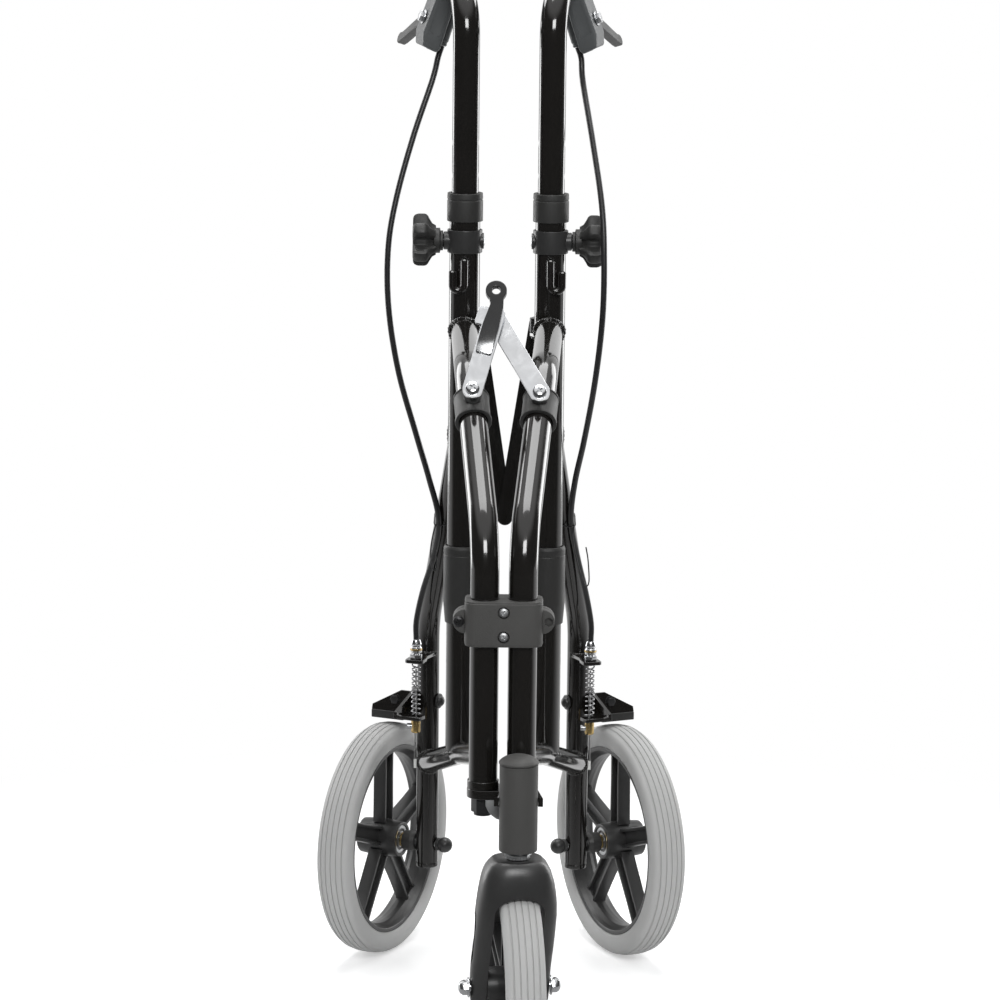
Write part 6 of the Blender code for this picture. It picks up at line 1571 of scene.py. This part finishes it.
def bearing_shape(centre, axis, hub_width):
    """The bearing's steel race and its seal, on both faces of the hub."""
    races = []
    for sign in (-1, 1):
        out = Vector(axis) * sign
        face = Vector(centre) + Vector(axis) * sign * (hub_width / 2 - 0.0022)
        races.append(turned_ring(0.0096, 0.0122, 0.0, 0.0012, 0.0002, face, out, 56))
        races.append(turned_ring(0.0046, 0.0068, 0.0, 0.0014, 0.0002, face, out, 48))
    return gather(*races)


# %% Rear wheels
REAR_HUB = 0.0374
add_pair("wheel_tyre", tyre_shape(REAR_WHEEL, AXLE), tyre_grey, "wheel", "wheel_tyre", 28)
add_pair("wheel_rim", rim_shape(REAR_WHEEL, AXLE, REAR_HUB), satin, "wheel", "wheel_rim",
         32)
add_pair("wheel_bearing", bearing_shape(REAR_WHEEL, AXLE, REAR_HUB), dull_zinc, "wheel", None)

# %% Front wheel
FRONT_HUB = 0.0384
add_piece("front_tyre", tyre_shape(FRONT_WHEEL, FORK_SIDE), tyre_grey, "front_wheel", ["front_tyre"],
          28)
add_piece("front_rim", rim_shape(FRONT_WHEEL, FORK_SIDE, FRONT_HUB), satin, "front_wheel", ["front_rim"],
          32)
add_piece("front_bearing", bearing_shape(FRONT_WHEEL, FORK_SIDE, FRONT_HUB), dull_zinc, "front_wheel", ())

# %% [markdown]
# The rear axle is a bolt through the leg. A spacer with a brass-coloured ring keeps the wheel
# off the leg, and a domed black nut closes the inner end.

# %% Rear axle sets
axle_base = LEG + UP * WHEEL_R
hub_in = WHEEL_OUT - REAR_HUB / 2
hub_out = WHEEL_OUT + REAR_HUB / 2
axle_bolt = rod_along(axle_base, AXLE, -(LEG_R + 0.004), hub_out + 0.003, 0.0039)
axle_head = plate(hexagon(0.013), axle_base + AXLE * (hub_out + 0.0013), TRAIL, UP, 0.005, 0.0006)
axle_washer = turned_ring(0.004, 0.0085, 0.0, 0.0011, 0.0003, axle_base + AXLE * (hub_out + GAP), AXLE, 48)
add_pair("axle_bolt", gather(axle_bolt, axle_head, axle_washer), zinc, "frame", None)
acorn_place = axle_base - AXLE * (LEG_R + GAP)
acorn = turned_ring(0.0, 0.0056, 0.0, 0.0028, 0.0005, acorn_place, -AXLE, 40)
ball_profile = [(0.0068 * math.sin(math.radians(a)), 0.0072 - 0.0068 * math.cos(math.radians(a)))
                for a in range(30, 181, 10)]
acorn_ball = lathe([(0.0, 0.0016)] + ball_profile, acorn_place, -AXLE, 48)
add_pair("axle_set", gather(acorn, acorn_ball), satin, "frame", "axle_set")
spacer = lathe(round_profile([
    (0.004, LEG_R + GAP), (0.0072, LEG_R + GAP), (0.0088, LEG_R + 0.004), (0.0088, hub_in - 0.003),
    (0.004, hub_in - 0.003)], 0.0005), axle_base, AXLE, 48)
add_pair("axle_spacer", spacer, moulded, "frame", None)
axle_ring = turned_ring(0.004, 0.0066, hub_in - 0.003, hub_in - GAP, 0.0003, axle_base, AXLE, 48)
add_pair("axle_ring", axle_ring, brass, "frame", None)
print("wheels done")

# %% [markdown]
# ## Brakes at the rear wheels
# Each arm is bent from sheet steel: a cheek beside the leg, a tongue that the cable pulls
# and a shoe over the tyre. It turns on a bolt through the leg and presses its moulded
# pad on the tyre.

# %% Brake arms
PIVOT_Z = 0.23
TONGUE_Z = 0.22
CHEEK_AT = 0.0105
CHEEK_THICK = 0.003
PAD_OUT = 0.058
PAD_START = 0.006
PAD_END = 0.026
PAD_HIGH = 0.007
PAD_LOW = 2 * WHEEL_R + 0.0042
PAD_TOP = PAD_LOW + PAD_HIGH
cheek_outline = [(-CABLE_FORWARD - 0.006, TONGUE_Z), (0.0, TONGUE_Z - 0.004), (PAD_START, PAD_LOW + 0.004),
                 (PAD_END, PAD_LOW + 0.002), (PAD_END, PAD_LOW + 0.009)]
cheek_outline += arc((0.0, PIVOT_Z), 0.01, 20, 130, 14) + [(-CABLE_FORWARD - 0.006, TONGUE_Z + 0.006)]
cheek = plate(cheek_outline, LEG + AXLE * (CHEEK_AT + CHEEK_THICK), TRAIL, UP, -CHEEK_THICK, 0.0004)
tongue_in = -CABLE_INBOARD - 0.006
tongue_out = CHEEK_AT + CHEEK_THICK
tongue_outline = [(tongue_in, -0.006), (tongue_out, -0.006), (tongue_out, 0.006), (tongue_in, 0.006)]
tongue = plate(tongue_outline, LEG - TRAIL * CABLE_FORWARD + UP * TONGUE_Z, AXLE, TRAIL, 0.003, 0.0004)
tongue = carve(tongue, rod(leg_frame(CABLE_INBOARD, CABLE_FORWARD, TONGUE_Z - 0.004),
                           leg_frame(CABLE_INBOARD, CABLE_FORWARD, TONGUE_Z + 0.008), 0.0014, 20))
shoe_outline = [
    (PAD_START, PAD_TOP), (PAD_END + 0.001, PAD_TOP - 0.002), (PAD_END + 0.001, PAD_TOP + 0.001),
    (PAD_START + 0.0046, PAD_TOP + 0.003), (PAD_START + 0.0062, PAD_TOP + 0.0187),
    (PAD_START + 0.0034, PAD_TOP + 0.019), (PAD_START + 0.0016, PAD_TOP + 0.0042)]
shoe = plate(shoe_outline, LEG + AXLE * PAD_OUT, TRAIL, UP, -(PAD_OUT - CHEEK_AT - 0.001), 0.0004, 2, 30)
SHOE_TOP = PAD_TOP + 0.019
shoe_wedge = plate([
    (0.03, SHOE_TOP + 0.0005), (PAD_OUT + 0.004, SHOE_TOP + 0.0005), (PAD_OUT + 0.004, SHOE_TOP - 0.0165),
    (PAD_OUT - 0.001, SHOE_TOP - 0.0142)], LEG + TRAIL * 0.04, AXLE, UP, 0.08)
shoe = carve(shoe, shoe_wedge)
pad_body = plate([
    (PAD_START - 0.0006, PAD_LOW - 0.006), (PAD_END + 0.0006, PAD_LOW - 0.006), (PAD_END + 0.0006, PAD_TOP),
    (PAD_START - 0.0006, PAD_TOP)], LEG + AXLE * PAD_OUT, TRAIL, UP, -(PAD_OUT - 0.027))
tyre_room = lathe([
    (0.0, 0.015), (WHEEL_R + 0.0042, 0.015), (WHEEL_R + 0.0042, 0.075), (0.0, 0.075)],
    LEG + UP * WHEEL_R, AXLE, 180)
pad_body = carve(pad_body, tyre_room)
soften(pad_body, 0.0008, 3, 40)
arm_shape = gather(cheek, tongue, shoe)
add_pair("brake_arm", arm_shape, paint, "brake", "brake_arm", 32)
add_pair("brake_pad", pad_body, moulded, "brake", None)

# %% Bolts of the brake arms
brake_pin = rod(
    leg_frame(LEG_R + 0.001, 0, PIVOT_Z), leg_frame(-CHEEK_AT - CHEEK_THICK - 0.002, 0, PIVOT_Z), 0.0029,
    28)
dome_place = leg_frame(LEG_R + GAP, 0, PIVOT_Z)
dome_ring = turned_ring(0.0, 0.0065, 0.0, 0.0017, 0.0005, dome_place, -AXLE, 40)
dome_curve = [(0.005 * math.cos(math.radians(a)), 0.0014 + 0.0041 * math.sin(math.radians(a)))
              for a in range(0, 91, 10)]
dome = lathe([(0.0, 0.0012), (0.005, 0.0012)] + dome_curve, dome_place, -AXLE, 40)
add_pair("brake_pivot_cap", gather(dome_ring, dome), satin, "brake", None)
pin_head = pan_head(leg_frame(-CHEEK_AT - CHEEK_THICK, 0, PIVOT_Z), AXLE, 0.0055, 0.0034)
add_pair("brake_pivot_bolt", gather(brake_pin, pin_head), dull_zinc, "brake", None)
shoe_bolt_place = LEG + AXLE * 0.036 + TRAIL * (PAD_START + 0.0026) + UP * (PAD_TOP + 0.0105)
shoe_bolt = plate(hexagon(0.007), shoe_bolt_place, AXLE, UP, 0.0032, 0.0005)
shoe_washer = turned_ring(0.0, 0.005, 0.0, 0.0008, 0.0002, shoe_bolt_place + TRAIL * 0.0004, -TRAIL, 36)
add_pair("shoe_bolt", gather(shoe_bolt, shoe_washer), dark_steel, "brake", None)

# %% [markdown]
# The coil spring is a thin bar swept along a helix. It is pressed together when the brake
# arm rises; here it rides on no body and keeps the shape it is drawn in.

# %% Springs
SPRING_WIRE = 0.0013
SPRING_R = (0.0082 - SPRING_WIRE) / 2
spring_low = TONGUE_Z + 0.003 + GAP + SPRING_WIRE / 2
spring_high = TAB_Z - 0.0015 - GAP - SPRING_WIRE / 2
spring_axis = leg_frame(CABLE_INBOARD, CABLE_FORWARD, 0)
SPRING_TURNS = 11
TURN_POINTS = 24
coil = []
for n in range(SPRING_TURNS * TURN_POINTS + 1):
    t = n / (SPRING_TURNS * TURN_POINTS)
    angle = 2 * math.pi * n / TURN_POINTS
    coil.append(spring_axis + AXLE * SPRING_R * math.cos(angle) + TRAIL * SPRING_R * math.sin(angle)
                + UP * (spring_low + (spring_high - spring_low) * t))
spring_shape = sweep(coil, SPRING_WIRE / 2, sides=10)
spring_pair = {"right": spring_shape, "left": to_the_left(spring_shape)}
for side, sign in SIDES.items():
    shape = spring_pair[side]
    spring = add_piece(
        "brake_spring_" + side, shape, spring_steel, None, ["brake_spring_" + side], 60)
    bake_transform(spring)

# %% [markdown]
# The cable ends in a bright adjuster on the leg's tab. Its inner wire runs on through the
# spring and the arm's tongue, and a brass barrel with a slotted screw clamps it there.
# A small white cap ends the wire.

# %% Adjusters, anchors and the bare wire
ADJUSTER_TOP = 0.291
tab_top = TAB_Z + TAB_THICK
adjuster = lathe(round_profile([
    (0.0, TAB_Z - 0.0015), (0.0029, TAB_Z - 0.0015), (0.0029, tab_top + 0.005), (0.0049, tab_top + 0.0056),
    (0.0049, ADJUSTER_TOP - 0.007), (0.0042, ADJUSTER_TOP - 0.0062), (0.0042, ADJUSTER_TOP - 0.0048),
    (0.0046, ADJUSTER_TOP - 0.0042), (0.0038, ADJUSTER_TOP - 0.0014), (0.0032, ADJUSTER_TOP),
    (0.0, ADJUSTER_TOP)], 0.0003), spring_axis, UP, 44)
adjuster_nut = plate(hexagon(0.01, 15), spring_axis + UP * (tab_top + GAP), AXLE, TRAIL, 0.004, 0.0005)
add_pair("barrel_adjuster", gather(adjuster, adjuster_nut), zinc, "frame", "barrel_adjuster", 30)
adjuster_ring = turned_ring(
    0.0048, 0.0052, 0.0, 0.0016, 0.0002, spring_axis + UP * (tab_top + 0.0075), UP, 40)
add_pair("adjuster_ring", adjuster_ring, brass, "frame", None)
anchor_top = TONGUE_Z - GAP
anchor_body = lathe(round_profile([
    (0.0, anchor_top - 0.011), (0.0034, anchor_top - 0.011), (0.004, anchor_top - 0.01),
    (0.004, anchor_top), (0.0, anchor_top)], 0.0003), spring_axis, UP, 36)
add_pair("cable_anchor", anchor_body, brass, "brake", "cable_anchor", 32)
for side, sign in SIDES.items():
    screw_place = Vector((spring_axis.x * sign, spring_axis.y, anchor_top - 0.0055))
    anchor_screw = turned_ring(0.0, 0.0026, 0.003, 0.0076, 0.0004, screw_place, -ACROSS, 28)
    anchor_slot = plate([(-0.003, -0.0004), (0.003, -0.0004), (0.003, 0.0004), (-0.003, 0.0004)],
                        screw_place - ACROSS * 0.0066, UP, BACK, -0.003)
    add_piece("anchor_screw_" + side, carve(anchor_screw, anchor_slot), dull_zinc, "brake_" + side, ())
wire_knots = [
    spring_axis + UP * 0.2648, spring_axis + UP * 0.215, spring_axis + UP * 0.203 + AXLE * 0.0004,
    spring_axis + UP * 0.19 + AXLE * 0.0008 + TRAIL * 0.0004, spring_axis + UP * 0.178 + AXLE * 0.0002]
wire_path = smooth_path(wire_knots, 0.003)
add_pair("brake_wire", sweep(wire_path, 0.0008, sides=10), wire_steel, "brake", None)
crimp = turned_ring(0.0, 0.0013, 0.1772, 0.185, 0.0003, spring_axis + AXLE * 0.0003, UP, 20)
crimp_white = finish("white_cap", (0.72, 0.72, 0.7), (0.62, 0.62, 0.6), gloss=(0.35, 0.5), grain=0.1)
add_pair("wire_end", crimp, crimp_white, "brake", None)

# %% [markdown]
# ## Handles
# The handle tubes carry a row of holes across them, so that the clamp bolt can sit at one
# of seven heights. The holes are cut through both walls of the pipe.

# %% Handle tubes
HANDLE_LOW = 0.551
HANDLE_WALL = 0.0015
HOLE_PITCH = 0.027
HOLE_R = 0.0033
handle_path = bent_path([
    UPRIGHT + UP * HANDLE_LOW, HANDLE_CORNER, HANDLE_CORNER + GRIP_DIR * (HANDLE_REACH - 0.004)], 0.042)
handle_pipe = sweep(handle_path, HANDLE_R, sides=48, bore=HANDLE_R - HANDLE_WALL)
for number in range(-3, 4):
    height = UPRIGHT + UP * (CLAMP_Z + HOLE_PITCH * number)
    handle_pipe = carve(handle_pipe, rod_along(height, ACROSS, -0.02, 0.02, HOLE_R, 28))
add_pair("handle_tube", handle_pipe, paint, "handle", "handle_tube", 32)

# %% [markdown]
# The grips are soft rubber with fine rings, a flange towards the lever and a closed end.

# %% Grips
GRIP_LEN = 0.118
GRIP_PITCH = 0.0046
grip_start = HANDLE_REACH - GRIP_LEN
grip_profile = [
    (0.01145, grip_start), (0.0192, grip_start), (0.0199, grip_start + 0.0008),
    (0.0199, grip_start + 0.0027), (0.019, grip_start + 0.0037), (0.0164, grip_start + 0.0052),
    (0.0158, grip_start + 0.0075)]
position = grip_start + 0.012
while position < HANDLE_REACH - 0.014:
    t = (position - grip_start) / GRIP_LEN
    swell = 0.0157 + 0.0011 * math.sin(math.pi * t) ** 2
    grip_profile += [(swell, position), (swell, position + 0.003), (swell - 0.0009, position + 0.0034),
                     (swell - 0.0009, position + 0.0042)]
    position += GRIP_PITCH
grip_profile += [(0.0162, HANDLE_REACH - 0.008), (0.0155, HANDLE_REACH - 0.0025), (0.013, HANDLE_REACH),
                 (0.0, HANDLE_REACH), (0.0, HANDLE_REACH - 0.0037), (0.01145, HANDLE_REACH - 0.0037)]
grip_shape = lathe(round_profile(grip_profile, 0.0003, 2), HANDLE_CORNER, GRIP_DIR, 64)
add_pair("grip", grip_shape, grip_rubber, "handle", "grip", 35)

# %% [markdown]
# The housing is a moulded box under the handle tube, tilted outward, with a collar round
# the tube and a round rib that takes the cable. A slot in it holds the lever.

# %% Lever housings
HOUSING_LEN = 0.034
HOUSING_W = 0.018
LEVER_AT = 0.005
PIVOT_DROP = 0.034
RIB_AT = LEVER_AT - HOUSING_W / 2 - 0.0038
housing_low = grip_start - GAP - HOUSING_LEN
housing_mid = housing_low + HOUSING_LEN / 2


def housing_point(along, across, down):
    """A point of the lever housing, from the bend of the handle tube."""
    return HANDLE_CORNER + GRIP_DIR * along + HOUSING_ACROSS * across + HOUSING_DOWN * down


inner = LEVER_AT - HOUSING_W / 2
outer = LEVER_AT + HOUSING_W / 2
housing_collar = turned_ring(
    0.01145, 0.015, housing_low, grip_start - GAP, 0.0009, HANDLE_CORNER, GRIP_DIR, 56)
box_outline = [(inner, 0.004), (outer - 0.002, 0.004), (outer, 0.046), (outer - 0.003, 0.057),
               (inner + 0.002, 0.059), (inner, 0.055)]
housing_box = plate(
    box_outline, housing_point(housing_low, 0, 0), HOUSING_ACROSS, HOUSING_DOWN, HOUSING_LEN, 0.0022, 4, 30)
rib_body = lathe(round_profile([
    (0.0, 0.006), (0.0042, 0.006), (0.0042, 0.0475), (0.0036, 0.0485), (0.0036, 0.05), (0.004, 0.0505),
    (0.0034, 0.052), (0.0, 0.052)], 0.0003), housing_point(housing_mid, RIB_AT, 0), HOUSING_DOWN, 32)
lever_slot = plate([
    (LEVER_AT - 0.0043, PIVOT_DROP - 0.012), (LEVER_AT + 0.0043, PIVOT_DROP - 0.012),
    (LEVER_AT + 0.0043, 0.068), (LEVER_AT - 0.0043, 0.068)], housing_point(housing_mid - 0.01, 0, 0),
    HOUSING_ACROSS, HOUSING_DOWN, 0.04)
tube_room = rod(housing_point(housing_low - 0.01, 0, 0), housing_point(grip_start + 0.01, 0, 0), 0.0114, 48)
panel = plate([
    (inner + 0.0035, 0.014), (outer - 0.0045, 0.014), (outer - 0.004, 0.044), (inner + 0.0035, 0.046)],
    housing_point(housing_low - 0.0004, 0, 0), HOUSING_ACROSS, HOUSING_DOWN, 0.001, 0.0004)
housing_body = fuse(housing_collar, housing_box, rib_body)
housing_body = carve(housing_body, lever_slot, tube_room, panel)
add_pair("lever_housing", housing_body, housing_grey, "handle", "lever_housing", 30)
lever_pivot = housing_point(housing_mid, LEVER_AT, PIVOT_DROP)
pin_out = HOUSING_W / 2
lever_pin = rod_along(lever_pivot, HOUSING_ACROSS, -(pin_out - 0.002), pin_out + 0.001, 0.0024, 24)
pin_bolt = plate(hexagon(0.009), lever_pivot + HOUSING_ACROSS * (pin_out - 0.0005), GRIP_DIR,
                 -HOUSING_DOWN, 0.0048, 0.0006)
pin_washer = turned_ring(
    0.0024, 0.0062, 0.0, 0.0008, 0.0002, lever_pivot + HOUSING_ACROSS * pin_out, HOUSING_ACROSS, 40)
add_pair("lever_pin", gather(lever_pin, pin_bolt, pin_washer), zinc, "handle", None, 30)

# %% [markdown]
# The lever is a flat moulded blade that sinks away from the grip in a slow curve. Its
# outline is drawn as an upper line, a tip, a lower line and a round eye about the pin.

# %% Brake levers
LEVER_LEN = 0.105
LEVER_W = 0.012
LEVER_THICK = 0.008
lever_fall = 0.06 - PIVOT_DROP
half_lever = LEVER_W / 2
# How far along the blade, and what part of the whole fall is reached there
lever_curve = [
    (0.02, 0.03), (0.03, 0.1), (0.047, 0.3), (0.065, 0.55), (0.08, 0.77), (LEVER_LEN - 0.012, 0.95)]
upper_line = [(0.01, half_lever)] + [(x, half_lever - lever_fall * part) for x, part in lever_curve]
lower_line = [(x, y - LEVER_W * (0.95 - 0.25 * x / LEVER_LEN)) for x, y in reversed(upper_line)]
tip_y = half_lever - lever_fall
lever_tip = [(LEVER_LEN - 0.004, tip_y), (LEVER_LEN, tip_y - 0.003), (LEVER_LEN - 0.0005, tip_y - 0.0075),
             (LEVER_LEN - 0.004, tip_y - 0.0095)]
lever_eye = arc((0.0, 0.0), half_lever, 90, 270, 20)
lever_outline = upper_line + lever_tip + lower_line + list(reversed(lever_eye))
lever_blade = plate(
    lever_outline, lever_pivot - HOUSING_ACROSS * LEVER_THICK / 2, GRIP_DIR, -HOUSING_DOWN, LEVER_THICK,
    0.0019, 4, 50)
lever_hole = rod_along(lever_pivot, HOUSING_ACROSS, -0.02, 0.02, 0.0028)
lever_blade = carve(lever_blade, lever_hole)
add_pair("brake_lever", lever_blade, moulded, "lever", "brake_lever", 40)

# %% [markdown]
# ## Brake cables
# Each black cable leaves the housing's rib, swings wide of the clamp knob and comes back
# to the leg. It is held at both ends; here it rides on no body and keeps its drawn shape.

# %% Cables
CABLE_R = 0.0025
ROUTES = {
    "right": [(0.061, 0.36, 0.775), (0.069, 0.325, 0.73), (0.0768, 0.293, 0.68),
              (0.079, 0.28, 0.639), (0.0785, 0.279, 0.59), (0.0735, 0.293, 0.535),
              (0.0655, 0.318, 0.48), (0.0585, 0.339, 0.44), (0.056, 0.3545, 0.405),
              (0.062, 0.374, 0.37), (0.07, 0.39, 0.335)],
    "left": [(0.064, 0.36, 0.775), (0.079, 0.348, 0.73), (0.0925, 0.336, 0.68),
             (0.099, 0.328, 0.639), (0.0985, 0.325, 0.59), (0.09, 0.328, 0.535),
             (0.075, 0.337, 0.48), (0.064, 0.348, 0.44), (0.056, 0.3545, 0.405),
             (0.06, 0.3735, 0.37), (0.0695, 0.39, 0.335)],
}
for side, sign in SIDES.items():
    start = housing_point(housing_mid, RIB_AT, 0.052 + GAP)
    end = leg_frame(CABLE_INBOARD, CABLE_FORWARD, ADJUSTER_TOP + GAP)
    knots = [start, start + HOUSING_DOWN * 0.01]
    knots += [Vector(p) for p in ROUTES[side]] + [end + UP * 0.016, end]
    points = smooth_path(knots, 0.004)
    points = [Vector((p.x * sign, p.y, p.z)) for p in points]
    length = sum((b - a).length for a, b in zip(points, points[1:]))
    shape = sweep(points, CABLE_R, sides=20)
    cable = add_piece(
        "brake_cable_" + side, shape, jacket, None, ["brake_cable_" + side], 60)
    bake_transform(cable)
    print("cable", side, "is", round(length, 3), "m long")

# %% [markdown]
# Two thin ties hold each cable to its leg. Each tie is one round cord: a ring that hugs
# the leg and the cable, square to the sloping leg, and below it a loose loop that
# hangs in its own curve, so the two sides differ.

# %% Cable ties
TIE_CORD = 0.0006
TIE_AT = 0.405
tie_leg = leg_start + (leg_bend - leg_start) * (leg_start.z - TIE_AT) / (leg_start.z - leg_bend.z)
tie_cable = Vector((0.056, 0.3545, TIE_AT))
tie_gap = tie_cable - tie_leg
tie_gap -= leg_heading * tie_gap.dot(leg_heading)
tie_x = tie_gap.normalized()
tie_y = leg_heading.cross(tie_x)
tie_reach = tie_gap.length
big = LEG_R + TIE_CORD
small = CABLE_R + TIE_CORD
tangent = math.degrees(math.acos((big - small) / tie_reach))
tie_ring = (
    arc((0.0, 0.0), big, tangent, 360 - tangent, 26) + arc((tie_reach, 0.0), small, -tangent, tangent, 10))
tie_points = [tie_leg + tie_x * a + tie_y * b for a, b in tie_ring]
tie_front = tie_leg + tie_x * (tie_reach + small)
TIE_LOOPS = {
    "right": [(0.0, 0.0, 0.0), (-0.0005, -0.0015, -0.012), (0.003, -0.001, -0.03),
              (0.008, 0.0015, -0.046), (0.0112, 0.003, -0.052), (0.0135, 0.0035, -0.048),
              (0.0125, 0.002, -0.03), (0.0105, 0.001, -0.018)],
    "left": [(0.0, 0.0, 0.0), (0.0025, -0.0015, -0.01), (0.004, -0.001, -0.022),
             (0.003, 0.001, -0.035), (0.0005, 0.002, -0.04), (-0.001, 0.002, -0.034),
             (-0.0005, 0.001, -0.022)],
}
for side in SIDES:
    loop = smooth_path([tie_front + Vector(p) for p in TIE_LOOPS[side]], 0.0015)
    shape = gather(sweep(tie_points, TIE_CORD, sides=10, closed=True), sweep(loop, TIE_CORD, sides=10))
    if side == "left":
        shape = to_the_left(shape)
    add_piece("cable_tie_" + side, shape, jacket, "frame_" + side, (), 60)
print("ties at", [round(v, 4) for v in tie_front])

# %% [markdown]
# ## Finish
# CAD solids that stay in view get their own finish.

# %% Finishes of the CAD solids that stay
STAYING = {
    "black_paint": paint, "black_plastic": moulded, "grey_plastic": housing_grey, "zinc": zinc,
    "brass": brass, "grip_rubber": grip_rubber, "tyre_rubber": tyre_grey, "spring_steel": spring_steel,
}
slot_of = {part["node"]: part["material_slot"] for part in frame["record"]["subparts"]}
for name, obj in frame["nodes"].items():
    wanted = STAYING[slot_of[name]]
    for material_slot in obj.material_slots:
        material_slot.material = wanted
